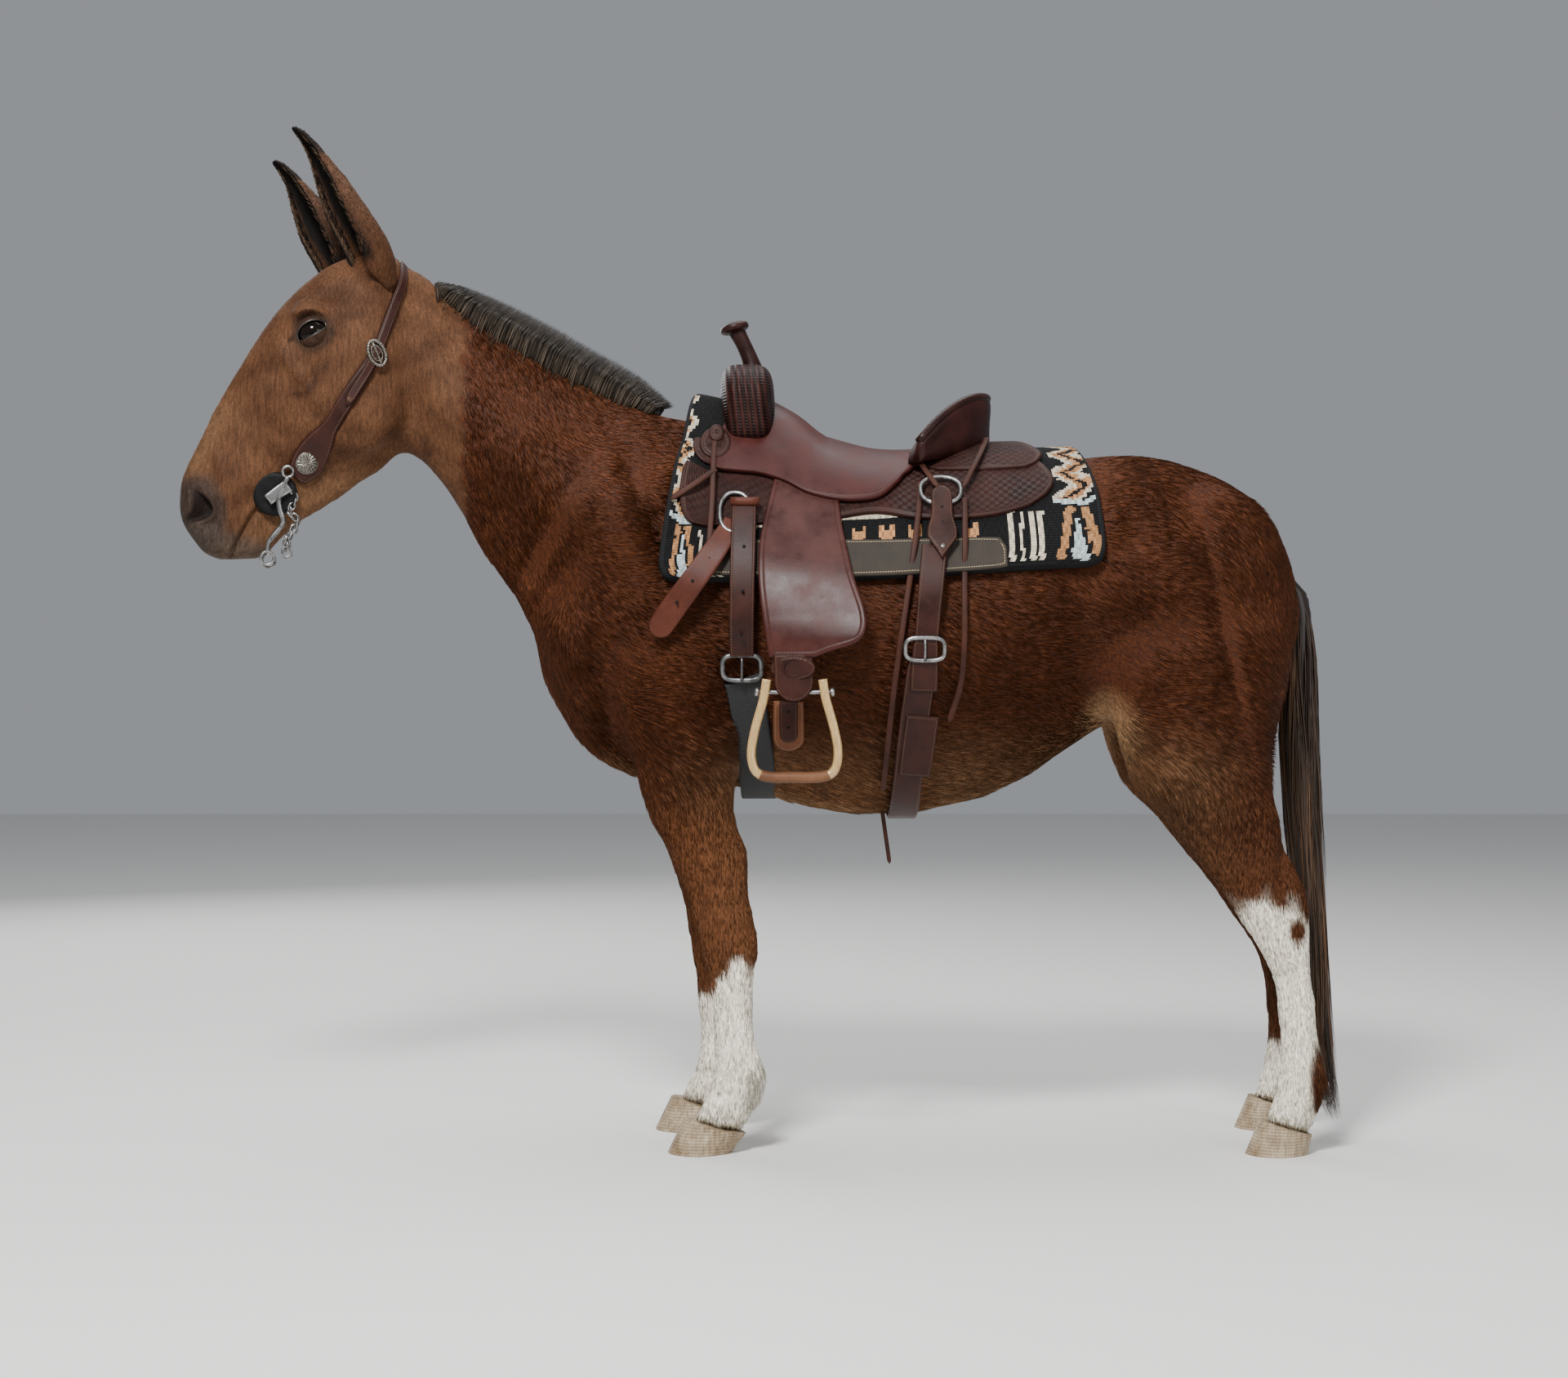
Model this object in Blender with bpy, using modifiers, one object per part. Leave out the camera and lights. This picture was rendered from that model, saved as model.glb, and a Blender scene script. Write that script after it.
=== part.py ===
"""A saddled riding mule that stands at rest, life size, in metres with +Z up.

The mule faces -X and its left side faces -Y. The floor is z = 0, and the origin is
on the floor below the middle of the animal. The flesh is one lofted body that is
parted by thin cuts, and the tack is shaped over it, layer on layer.
"""
import math
import random

import bmesh
import bpy
import numpy as np
from mathutils import Matrix, Vector
from mathutils.bvhtree import BVHTree

# Driving sizes
GAP = 0.0003
TACK_GAP = 0.0005
HEAD_YAW = math.radians(10.0)
POLL_X = -0.70
RING_SIDES = 28
FLAT_ANGLE = math.radians(0.5)
WELD = 0.000001
BODY_VOXEL = 0.009
TRUNK_SMOOTH_STEPS = 34
BODY_SMOOTH_STEPS = 6
CORE_Z = 1.03

# Torso: x, top z, bottom z, half width above, at and below the middle
TORSO = (
    (-0.446, 1.02, 0.93, 0.04, 0.05, 0.04),
    (-0.425, 1.13, 0.87, 0.08, 0.12, 0.10),
    (-0.36, 1.25, 0.765, 0.12, 0.175, 0.15),
    (-0.28, 1.34, 0.712, 0.14, 0.208, 0.18),
    (-0.17, 1.418, 0.692, 0.145, 0.228, 0.205),
    (-0.05, 1.398, 0.686, 0.170, 0.244, 0.225),
    (0.08, 1.352, 0.648, 0.21, 0.262, 0.245),
    (0.24, 1.313, 0.632, 0.245, 0.285, 0.265),
    (0.384, 1.332, 0.656, 0.255, 0.295, 0.270),
    (0.476, 1.335, 0.688, 0.255, 0.292, 0.255),
    (0.56, 1.338, 0.738, 0.245, 0.280, 0.230),
    (0.638, 1.343, 0.790, 0.240, 0.268, 0.210),
    (0.71, 1.350, 0.825, 0.235, 0.262, 0.205),
    (0.814, 1.330, 0.835, 0.215, 0.255, 0.215),
    (0.907, 1.294, 0.850, 0.175, 0.228, 0.205),
    (0.973, 1.243, 0.875, 0.135, 0.185, 0.180),
    (1.020, 1.170, 0.930, 0.085, 0.130, 0.130),
    (1.046, 1.090, 0.990, 0.030, 0.055, 0.055),
)

# Neck: crest x and z, gullet x and z, half width near the crest, at the middle, below
NECK = (
    (-0.730, 1.712, -0.715, 1.350, 0.055, 0.068, 0.060),
    (-0.665, 1.714, -0.655, 1.300, 0.050, 0.074, 0.062),
    (-0.610, 1.666, -0.600, 1.215, 0.044, 0.084, 0.066),
    (-0.500, 1.592, -0.572, 1.158, 0.044, 0.100, 0.074),
    (-0.394, 1.528, -0.528, 1.098, 0.050, 0.120, 0.086),
    (-0.293, 1.472, -0.485, 1.036, 0.064, 0.150, 0.105),
    (-0.190, 1.424, -0.440, 0.965, 0.090, 0.180, 0.130),
    (-0.080, 1.390, -0.380, 0.900, 0.110, 0.190, 0.140),
)

# Head: face x and z, jaw x and z, half width above, at and below the middle
HEAD = (
    (-0.705, 1.732, -0.700, 1.350, 0.060, 0.078, 0.050),
    (-0.770, 1.742, -0.722, 1.328, 0.078, 0.092, 0.056),
    (-0.835, 1.722, -0.752, 1.300, 0.094, 0.098, 0.056),
    (-0.885, 1.688, -0.785, 1.280, 0.104, 0.096, 0.054),
    (-0.928, 1.648, -0.820, 1.252, 0.102, 0.090, 0.050),
    (-0.970, 1.597, -0.858, 1.226, 0.086, 0.082, 0.046),
    (-1.014, 1.529, -0.895, 1.203, 0.068, 0.072, 0.042),
    (-1.048, 1.472, -0.925, 1.178, 0.056, 0.064, 0.038),
    (-1.076, 1.424, -0.950, 1.156, 0.050, 0.058, 0.036),
    (-1.106, 1.357, -0.975, 1.140, 0.048, 0.056, 0.038),
    (-1.132, 1.304, -1.000, 1.131, 0.050, 0.058, 0.042),
    (-1.141, 1.250, -1.020, 1.128, 0.050, 0.060, 0.046),
    (-1.134, 1.206, -1.040, 1.127, 0.042, 0.054, 0.044),
    (-1.112, 1.170, -1.064, 1.133, 0.020, 0.026, 0.024),
)

# Legs: x, z, half depth, distance from the middle plane, half width
FORELEG = (
    (-0.175, 1.000, 0.110, 0.150, 0.070),
    (-0.165, 0.860, 0.120, 0.160, 0.082),
    (-0.150, 0.740, 0.104, 0.152, 0.078),
    (-0.137, 0.640, 0.087, 0.142, 0.068),
    (-0.108, 0.580, 0.084, 0.136, 0.060),
    (-0.092, 0.510, 0.070, 0.132, 0.052),
    (-0.078, 0.455, 0.064, 0.130, 0.048),
    (-0.068, 0.410, 0.063, 0.129, 0.049),
    (-0.064, 0.356, 0.055, 0.128, 0.043),
    (-0.061, 0.305, 0.047, 0.127, 0.036),
    (-0.057, 0.225, 0.044, 0.126, 0.034),
    (-0.050, 0.175, 0.048, 0.126, 0.037),
    (-0.049, 0.137, 0.055, 0.126, 0.042),
    (-0.060, 0.100, 0.058, 0.127, 0.042),
    (-0.080, 0.066, 0.060, 0.128, 0.043),
    (-0.098, 0.035, 0.058, 0.128, 0.044),
)
HINDLEG = (
    (0.850, 1.080, 0.150, 0.120, 0.100),
    (0.840, 0.950, 0.160, 0.138, 0.108),
    (0.820, 0.830, 0.160, 0.146, 0.102),
    (0.824, 0.755, 0.150, 0.149, 0.094),
    (0.836, 0.695, 0.136, 0.150, 0.086),
    (0.877, 0.628, 0.114, 0.149, 0.074),
    (0.905, 0.576, 0.104, 0.147, 0.062),
    (0.935, 0.525, 0.094, 0.145, 0.053),
    (0.960, 0.480, 0.086, 0.144, 0.048),
    (0.974, 0.437, 0.073, 0.144, 0.046),
    (0.987, 0.400, 0.058, 0.144, 0.041),
    (1.002, 0.350, 0.045, 0.144, 0.035),
    (1.012, 0.299, 0.041, 0.144, 0.033),
    (1.020, 0.215, 0.042, 0.144, 0.034),
    (1.024, 0.150, 0.048, 0.144, 0.040),
    (1.018, 0.110, 0.050, 0.144, 0.042),
    (1.006, 0.075, 0.052, 0.144, 0.041),
    (0.990, 0.035, 0.054, 0.144, 0.043),
)
# The right legs stand a little forward or back of the left ones
RIGHT_SHIFT = {"fore": -0.036, "hind": 0.030}

# Muscles and bones: centre x, y, z, radii x, y, z, pitch in degrees
MUSCLES = (
    (-0.245, 0.122, 1.120, 0.110, 0.074, 0.230, 30),
    (-0.335, 0.118, 0.990, 0.090, 0.080, 0.090, 0),
    (-0.115, 0.165, 0.960, 0.130, 0.070, 0.180, -20),
    (-0.160, 0.175, 0.860, 0.100, 0.064, 0.140, 0),
    (0.700, 0.132, 1.180, 0.130, 0.098, 0.130, 0),
    (0.860, 0.124, 1.080, 0.140, 0.105, 0.200, 12),
    (0.765, 0.155, 0.900, 0.120, 0.085, 0.160, -14),
    (0.915, 0.122, 0.930, 0.100, 0.095, 0.180, 8),
    (-0.165, 0.022, 1.370, 0.130, 0.050, 0.045, 14),
)
HEAD_MUSCLES = (
    (-0.790, 0.062, 1.430, 0.085, 0.032, 0.105, 25),
    (-0.880, 0.080, 1.592, 0.050, 0.019, 0.036, 30),
    (-0.905, 0.070, 1.475, 0.090, 0.014, 0.022, 55),
    (-1.098, 0.040, 1.232, 0.034, 0.022, 0.048, 10),
    (-0.990, 0.018, 1.165, 0.034, 0.030, 0.034, 0),
    (-0.752, 0.055, 1.690, 0.040, 0.034, 0.044, 0),
    (-1.066, 0.022, 1.160, 0.036, 0.030, 0.028, 0),
)

# Cuts between the parts of the body: x and z of a point, direction of the normal
HEAD_CUT = ((-0.672, 1.50), math.radians(-4))
NECK_CUT = ((-0.325, 1.215), math.radians(-29))
FORELEG_BOX = ((-0.292, -0.040), 0.735, 0.035, math.radians(20))
HINDLEG_BOX = ((0.635, 1.080), 0.800, 0.0, 0.0)

# Hooves: toe x, heel x, coronet front x and z, coronet back x and z, half width
FORE_HOOF = (-0.184, -0.062, -0.152, 0.066, -0.034, 0.036, 0.056)
HIND_HOOF = (0.916, 1.036, 0.944, 0.066, 1.044, 0.036, 0.052)

EYE_RADIUS = 0.0235
EYE_PLACE = (-0.881, 0.0790, 1.567)
LID_THICKNESS = 0.0040

# Nostril and mouth: centres, radii and the route of the lips on the straight head
NOSTRIL = ((-1.092, 0.054, 1.228), (0.014, 0.022, 0.027), -14)
EYE_OPENING = ((0.027, 0.030, 0.0150), -12)
MOUTH = ((-0.988, 1.226), (-1.005, 1.196), (-1.021, 1.168), (-1.034, 1.140), (-1.040, 1.112))
MOUTH_GROOVE = 0.0035

# Ears: base, tip, facing direction, all on the straight head; radius along the ear
EAR_LEFT = ((-0.757, -0.060, 1.698), (-0.920, -0.078, 1.956), (-0.94, -0.34, 0.05))
EAR_RIGHT = ((-0.812, 0.060, 1.696), (-0.960, 0.084, 1.922), (-0.92, -0.38, 0.05))
EAR_RADII = (
    (0.0, 0.036), (0.10, 0.0430), (0.20, 0.0450), (0.33, 0.0455), (0.46, 0.0450), (0.56, 0.041),
    (0.65, 0.034), (0.76, 0.0245), (0.85, 0.0180), (0.93, 0.0130), (1.0, 0.0030),
)
EAR_BEND = (
    (0.0, 0.0), (0.2, 0.003), (0.46, 0.0075), (0.65, 0.002), (0.82, -0.006), (0.93, -0.004), (1.0, 0.0),
)
EAR_THICKNESS = 0.0045

# Mane: x, root z, top z along the crest
MANE = (
    (-0.632, 1.650, 1.680),
    (-0.568, 1.615, 1.664),
    (-0.500, 1.575, 1.636),
    (-0.426, 1.530, 1.600),
    (-0.340, 1.480, 1.552),
    (-0.246, 1.430, 1.498),
    (-0.180, 1.400, 1.440),
)
MANE_HALF_WIDTH = (0.015, 0.006)
MANE_CORE = 0.45
MANE_LOCKS = 28
MANE_LEAN = 0.042
MANE_LOCK_SPREAD = 0.005
MANE_LOCK_WIDTH = 0.048
MANE_LOCK_THICKNESS = 0.011

# Tail: x, z, half depth, half width
TAIL = (
    (1.025, 1.140, 0.026, 0.030),
    (1.048, 1.060, 0.030, 0.036),
    (1.047, 0.950, 0.036, 0.042),
    (1.046, 0.800, 0.037, 0.048),
    (1.053, 0.650, 0.034, 0.050),
    (1.066, 0.500, 0.029, 0.050),
    (1.072, 0.350, 0.031, 0.050),
    (1.080, 0.200, 0.032, 0.046),
    (1.096, 0.090, 0.026, 0.036),
    (1.120, 0.035, 0.010, 0.014),
)
TAIL_CORE = 0.5
TAIL_CORE_END = 0.60
TAIL_LOCKS = 21
TAIL_LOCK_LENGTH = (0.30, 0.58)
TAIL_LOCK_WIDTH = 0.040
TAIL_LOCK_THICKNESS = 0.013
TAIL_LOCK_ROOTS = (1.105, 0.62)
LOCK_SEED = 7

# Blanket, skirt and flaps: the left outline as x and z, from the ridge round to the ridge
BLANKET = ((-0.138, 0), (-0.185, 1.330), (-0.197, 1.150), (-0.192, 1.100), (-0.165, 1.083),
           (0.170, 1.086), (0.560, 1.108), (0.620, 1.112), (0.638, 1.140), (0.632, 1.250), (0.598, 0))
SKIRT = ((-0.118, 0), (-0.145, 1.340), (-0.158, 1.235), (-0.140, 1.196), (-0.090, 1.188),
         (0.120, 1.200), (0.210, 1.214), (0.300, 1.200), (0.430, 1.206), (0.520, 1.232),
         (0.548, 1.262), (0.535, 1.310), (0.490, 1.340), (0.470, 0))
REAR_JOCKEY = ((0.425, 0), (0.330, 1.342), (0.286, 1.306), (0.400, 1.300), (0.500, 1.304),
               (0.528, 1.328), (0.510, 1.350), (0.480, 0))
SEAT_FLAP = ((-0.020, 0), (-0.085, 1.372), (-0.100, 1.318), (-0.030, 1.308), (0.020, 1.290), (0.070, 1.262),
             (0.135, 1.246), (0.200, 1.256), (0.245, 1.290), (0.262, 1.322), (0.320, 0))
# The slot between the skirts along the ridge, under the seat
GULLET = ((0.000, 0.0, 1.400), (0.120, 0.108, 0.150))
BLANKET_THICKNESS = 0.022
SKIRT_THICKNESS = 0.009
FLAP_THICKNESS = 0.005
SUNK = 0.006

# Seat: x, ridge z, half width and z of the lower edge
SEAT = (
    (0.000, 1.450, 0.060, 1.360),
    (0.040, 1.431, 0.085, 1.350),
    (0.100, 1.390, 0.115, 1.335),
    (0.160, 1.362, 0.140, 1.325),
    (0.230, 1.352, 0.160, 1.318),
    (0.290, 1.357, 0.158, 1.322),
    (0.345, 1.375, 0.148, 1.322),
)
SWELL = ((-0.031, 0.0, 1.445), (0.052, 0.138, 0.073))
HORN_NECK = ((-0.022, 1.500), (-0.030, 1.530), (-0.040, 1.556), (-0.050, 1.580))
HORN_NECK_RADIUS = 0.0165
HORN_CAP = ((-0.056, 0.0, 1.592), (0.027, 0.029, 0.0125), 14)
CANTLE = ((0.335, 1.350), (0.362, 1.415), (0.392, 1.448), (0.428, 1.455), (0.446, 1.440), (0.440, 1.350))
CANTLE_HALF_WIDTH = 0.165
CANTLE_SWEEP = 0.125

# Straps: x, z, width, distance off the flank; each runs from its top to its end
FENDER = ((0.080, 1.255, 0.120, 0.036), (0.070, 1.190, 0.150, 0.038), (0.078, 1.100, 0.172, 0.043),
          (0.094, 1.020, 0.182, 0.052), (0.092, 0.975, 0.165, 0.060), (0.056, 0.940, 0.080, 0.066))
HOBBLE = ((0.054, 0.9390, 0.074, 0.0665), (0.055, 0.908, 0.076, 0.074), (0.056, 0.8862, 0.072, 0.080))
LATIGO = ((-0.040, 1.186, 0.047, 0.036), (-0.040, 1.080, 0.047, 0.034), (-0.041, 0.955, 0.050, 0.014))
OFF_BILLET = ((-0.078, 1.160, 0.034, 0.040), (-0.120, 1.100, 0.042, 0.040), (-0.160, 1.044, 0.042, 0.032),
              (-0.196, 0.994, 0.036, 0.024))
REAR_BILLET = ((0.318, 1.245, 0.034, 0.038), (0.310, 1.140, 0.044, 0.036), (0.303, 1.040, 0.046, 0.026),
               (0.300, 0.990, 0.046, 0.012))
FRONT_RING = (-0.068, 1.213, 0.030, 0.0042)
REAR_RING = (0.330, 1.258, 0.030, 0.0045)
BUCKLE_LIFT = 0.013
RING_LIFT = 0.047
CINCH_BUCKLE = (-0.040, 0.924, 0.036, 0.024, 0.0050)
REAR_BUCKLE = (0.298, 0.958, 0.034, 0.020, 0.0045)

# Cinches: x at the buckle and under the belly, top z, half width, thickness
FRONT_CINCH = (-0.038, -0.002, 0.892, 0.035, 0.007)
REAR_CINCH = (0.292, 0.258, 0.930, 0.034, 0.006)

# Stirrup: outline of the bent wood from one side of the bolt round to the other
STIRRUP = (
    (0.010, 0.902), (0.004, 0.865), (-0.010, 0.815), (-0.018, 0.770), (-0.012, 0.738), (0.010, 0.727),
    (0.058, 0.726), (0.106, 0.727), (0.128, 0.738), (0.134, 0.770), (0.126, 0.815), (0.112, 0.865),
    (0.106, 0.902),
)
STIRRUP_DEPTH = (0.030, 0.052)
STIRRUP_WOOD = 0.012
STIRRUP_BOLT_Z = 0.879

# Headstall on the straight head: x, z, width, distance off the cheek
CROWN_X = -0.710
CROWN_WIDTH = 0.020
CHEEK = ((-0.724, 1.640, 0.020, 0.001), (-0.740, 1.580, 0.021, 0.001), (-0.762, 1.527, 0.024, 0.001),
         (-0.790, 1.477, 0.031, 0.001), (-0.822, 1.429, 0.031, 0.001), (-0.845, 1.387, 0.032, 0.001),
         (-0.870, 1.357, 0.054, 0.001), (-0.892, 1.322, 0.064, 0.001), (-0.898, 1.290, 0.032, 0.001))
CONCHO = (-0.892, 1.322, 0.022, 0.0075)
BIT_GUARD = (-0.957, 1.259, 0.040, 0.007)
SHANK = (
    (-0.932, 1.290), (-0.944, 1.262), (-0.950, 1.226), (-0.948, 1.200), (-0.971, 1.166), (-0.974, 1.142),
)
SHANK_RADIUS = 0.0055
SHANK_LIFT = 0.0185

# Target triangles of the parts of the body
TRIANGLES = {
    "torso": 1300,
    "neck": 480,
    "head": 940,
    "foreleg": 390,
    "hindleg": 430,
}

COLOURS = {
    "coat": ((0.110, 0.035, 0.016), 0.75, 0.0),
    "horn": ((0.42, 0.33, 0.20), 0.55, 0.0),
    "eye": ((0.012, 0.007, 0.005), 0.10, 0.0),
    "hair": ((0.045, 0.025, 0.018), 0.60, 0.0),
    "wool": ((0.50, 0.42, 0.32), 0.95, 0.0),
    "dark_leather": ((0.045, 0.020, 0.014), 0.50, 0.0),
    "red_leather": ((0.130, 0.042, 0.026), 0.42, 0.0),
    "black_webbing": ((0.010, 0.010, 0.011), 0.85, 0.0),
    "pale_wood": ((0.60, 0.43, 0.22), 0.45, 0.0),
    "steel": ((0.55, 0.55, 0.56), 0.30, 1.0),
    "rubber": ((0.012, 0.012, 0.012), 0.55, 0.0),
}


def clear_scene():
    """Start from an empty scene."""
    for obj in list(bpy.data.objects):
        bpy.data.objects.remove(obj)


def new_collection(name):
    """A collection linked to the scene."""
    group = bpy.data.collections.new(name)
    bpy.context.scene.collection.children.link(group)
    return group


def material(name):
    """The plain finish of that name."""
    found = bpy.data.materials.get(name)
    if found:
        return found
    colour, roughness, metallic = COLOURS[name]
    made = bpy.data.materials.new(name)
    made.use_nodes = True
    shader = made.node_tree.nodes["Principled BSDF"]
    shader.inputs["Base Color"].default_value = (*colour, 1.0)
    shader.inputs["Roughness"].default_value = roughness
    shader.inputs["Metallic"].default_value = metallic
    return made


def object_from(bm, name, group, finish):
    """Turn a bmesh into an object of triangles that point out."""
    bmesh.ops.triangulate(bm, faces=bm.faces[:])
    bmesh.ops.recalc_face_normals(bm, faces=bm.faces[:])
    mesh = bpy.data.meshes.new(name)
    bm.to_mesh(mesh)
    bm.free()
    mesh.materials.append(material(finish))
    obj = bpy.data.objects.new(name, mesh)
    group.objects.link(obj)
    return obj


def settle(obj):
    """Replace an object's mesh with what its modifiers make of it."""
    graph = bpy.context.evaluated_depsgraph_get()
    mesh = bpy.data.meshes.new_from_object(obj.evaluated_get(graph))
    obj.modifiers.clear()
    obj.data = mesh
    return obj


def drop(obj):
    """Remove an object that has done its work."""
    bpy.data.objects.remove(obj)


def is_closed(mesh):
    """Whether a mesh has faces and each of its edges has two of them."""
    bm = bmesh.new()
    bm.from_mesh(mesh)
    closed = len(bm.faces) > 0 and all(len(edge.link_faces) == 2 for edge in bm.edges)
    bm.free()
    return closed


def combine(obj, other, operation, solvers=("EXACT", "MANIFOLD")):
    """Cut or join an object with another, and apply it."""
    before = obj.data
    for solver in solvers:
        obj.data = before
        modifier = obj.modifiers.new("boolean", "BOOLEAN")
        modifier.operation = operation
        modifier.object = other
        modifier.solver = solver
        settle(obj)
        if is_closed(obj.data):
            break
    return obj


def largest_surface(obj):
    """Keep the largest closed surface of a mesh, with its flat stretches in few faces."""
    bm = bmesh.new()
    bm.from_mesh(obj.data)
    left = set(bm.faces)
    shells = []
    while left:
        shell = {left.pop()}
        front = list(shell)
        while front:
            face = front.pop()
            for edge in face.edges:
                for other in edge.link_faces:
                    if other in left:
                        left.discard(other)
                        shell.add(other)
                        front.append(other)
        shells.append(shell)
    shells.sort(key=lambda faces: sum(face.calc_area() for face in faces))
    for shell in shells[:-1]:
        bmesh.ops.delete(bm, geom=list(shell), context="FACES")
    bmesh.ops.dissolve_limit(bm, angle_limit=FLAT_ANGLE, verts=bm.verts[:], edges=bm.edges[:])
    bmesh.ops.remove_doubles(bm, verts=bm.verts[:], dist=WELD)
    bmesh.ops.triangulate(bm, faces=bm.faces[:])
    bm.to_mesh(obj.data)
    bm.free()
    return obj


def grown(obj, group, distance=GAP):
    """A copy of a solid whose faces have moved out by a small distance."""
    bm = bmesh.new()
    bm.from_mesh(obj.data)
    bmesh.ops.triangulate(bm, faces=bm.faces[:])
    bm.normal_update()
    moves = [v.normal * distance * min(v.calc_shell_factor(), 3.0) for v in bm.verts]
    for vert, move in zip(bm.verts, moves):
        vert.co += move
    return object_from(bm, obj.name + "_grown", group, "coat")


def seat_on(obj, supports, cutters):
    """Trim a solid to lie on its supports, one gap away from them."""
    for support in supports:
        cutter = grown(support, cutters, TACK_GAP)
        combine(obj, cutter, "DIFFERENCE", ("MANIFOLD", "EXACT"))
        drop(cutter)
    return largest_surface(obj)


def resample(rows, count):
    """Rows read evenly from a smooth curve through the given rows."""
    rows = np.asarray(rows, float)
    slopes = np.gradient(rows, axis=0)
    where = np.linspace(0, len(rows) - 1, count)
    low = np.minimum(where.astype(int), len(rows) - 2)
    t = (where - low)[:, None]
    start = rows[low] * (2 * t**3 - 3 * t**2 + 1) + slopes[low] * (t**3 - 2 * t**2 + t)
    end = rows[low + 1] * (3 * t**2 - 2 * t**3) + slopes[low + 1] * (t**3 - t**2)
    return start + end


def blend(one, two, part):
    """Pass smoothly from one value to another while part goes from 0 to 1."""
    part = min(max(part, 0.0), 1.0)
    return one + (two - one) * part * part * (3 - 2 * part)


def section(first, last, widths, sides=RING_SIDES):
    """A closed ring between two points, with its half widths along Y."""
    upper, middle, lower = widths
    ring = []
    for step in range(sides):
        angle = 2 * math.pi * step / sides
        along = (1 - math.cos(angle)) / 2
        half = blend(upper, middle, (along - 0.15) / 0.35)
        if along > 0.5:
            half = blend(middle, lower, (along - 0.5) / 0.35)
        ring.append(first.lerp(last, along) + Vector((0, half * math.sin(angle), 0)))
    return ring


def loft_into(bm, rings):
    """Skin a row of rings and close both ends."""
    loops = [[bm.verts.new(point) for point in ring] for ring in rings]
    for one, two in zip(loops, loops[1:]):
        count = len(one)
        for index in range(count):
            after = (index + 1) % count
            bm.faces.new((one[index], one[after], two[after], two[index]))
    bm.faces.new(loops[0])
    bm.faces.new(loops[-1])


def loft(name, rings, group, finish):
    """One closed solid through a row of rings."""
    bm = bmesh.new()
    loft_into(bm, rings)
    return object_from(bm, name, group, finish)


def ellipsoid_into(bm, centre, radii, pitch=0.0, segments=24):
    """Add an ellipsoid turned about the Y axis."""
    made = bmesh.ops.create_uvsphere(bm, u_segments=segments, v_segments=segments // 2, radius=1.0)
    turn = Matrix.Rotation(math.radians(pitch), 4, "Y")
    place = Matrix.Translation(centre) @ turn @ Matrix.Diagonal((*radii, 1.0))
    bmesh.ops.transform(bm, matrix=place, verts=made["verts"])


def ellipsoid(name, centre, radii, group, finish, pitch=0.0, segments=24):
    """An ellipsoid as an object of its own."""
    bm = bmesh.new()
    ellipsoid_into(bm, centre, radii, pitch, segments)
    return object_from(bm, name, group, finish)


def turned_head(point):
    """Where a point of the straight head goes when the head turns to the left."""
    turn = Matrix.Rotation(HEAD_YAW, 3, "Z")
    pivot = Vector((POLL_X, 0, 0))
    return turn @ (Vector(point) - pivot) + pivot


def turn_with_head(obj):
    """Turn an object that was made on the straight head."""
    for vert in obj.data.vertices:
        vert.co = turned_head(vert.co)
    return obj


def leg_rows(rows, side, shift):
    """Leg stations of one side, with the foot moved along by the shift."""
    hip = rows[0][1]
    moved = []
    for x, z, depth, y, width in rows:
        moved.append((x + shift * min(1.0, (hip - z) / (0.7 * hip)), z, depth, side * y, width))
    return moved


def leg_rings(rows, count):
    """Level rings down a leg."""
    rings = []
    for x, z, depth, y, width in resample(rows, count):
        front = Vector((x - depth, y, z))
        rings.append(section(front, front + Vector((2 * depth, 0, 0)), (width, width, width * 0.9), 20))
    return rings


def upright_rings(rows, count):
    """Rings between an upper and a lower line in the middle plane."""
    return [
        section(Vector((x1, 0, z1)), Vector((x2, 0, z2)), widths)
        for x1, z1, x2, z2, *widths in resample(rows, count)
    ]


def remeshed(obj, steps):
    """Melt overlapping closed shapes into one smooth skin."""
    remesh = obj.modifiers.new("remesh", "REMESH")
    remesh.mode = "VOXEL"
    remesh.voxel_size = BODY_VOXEL
    smooth = obj.modifiers.new("smooth", "SMOOTH")
    smooth.factor = 0.5
    smooth.iterations = steps
    return settle(obj)


def trunk_form(group):
    """Torso and neck with their muscles, well smoothed."""
    bm = bmesh.new()
    loft_into(bm, upright_rings([(x, top, x, low, *w) for x, top, low, *w in TORSO], 60))
    loft_into(bm, upright_rings(NECK, 30))
    for x, y, z, rx, ry, rz, pitch in MUSCLES:
        for side in (-1, 1):
            ellipsoid_into(bm, (x, side * y, z), (rx, ry, rz), pitch)
    return remeshed(object_from(bm, "trunk_form", group, "coat"), TRUNK_SMOOTH_STEPS)


def head_form(group):
    """The head, made straight and then turned a little to its left."""
    bm = bmesh.new()
    loft_into(bm, upright_rings(HEAD, 50))
    for x, y, z, rx, ry, rz, pitch in HEAD_MUSCLES:
        for side in (-1, 1):
            ellipsoid_into(bm, (x, side * y, z), (rx, ry, rz), pitch)
    return turn_with_head(object_from(bm, "head_form", group, "coat"))


def whole_body(group):
    """The flesh as one smooth closed surface."""
    bm = bmesh.new()
    for rows, shift in ((FORELEG, RIGHT_SHIFT["fore"]), (HINDLEG, RIGHT_SHIFT["hind"])):
        loft_into(bm, leg_rings(leg_rows(rows, -1, 0.0), 60))
        loft_into(bm, leg_rings(leg_rows(rows, 1, shift), 60))
    for form in (trunk_form(group), head_form(group)):
        bm.from_mesh(form.data)
        drop(form)
    return remeshed(object_from(bm, "body", group, "coat"), BODY_SMOOTH_STEPS)


def copy_of(obj, name, group):
    """A copy with a mesh of its own."""
    made = bpy.data.objects.new(name, obj.data.copy())
    group.objects.link(made)
    return made


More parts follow.
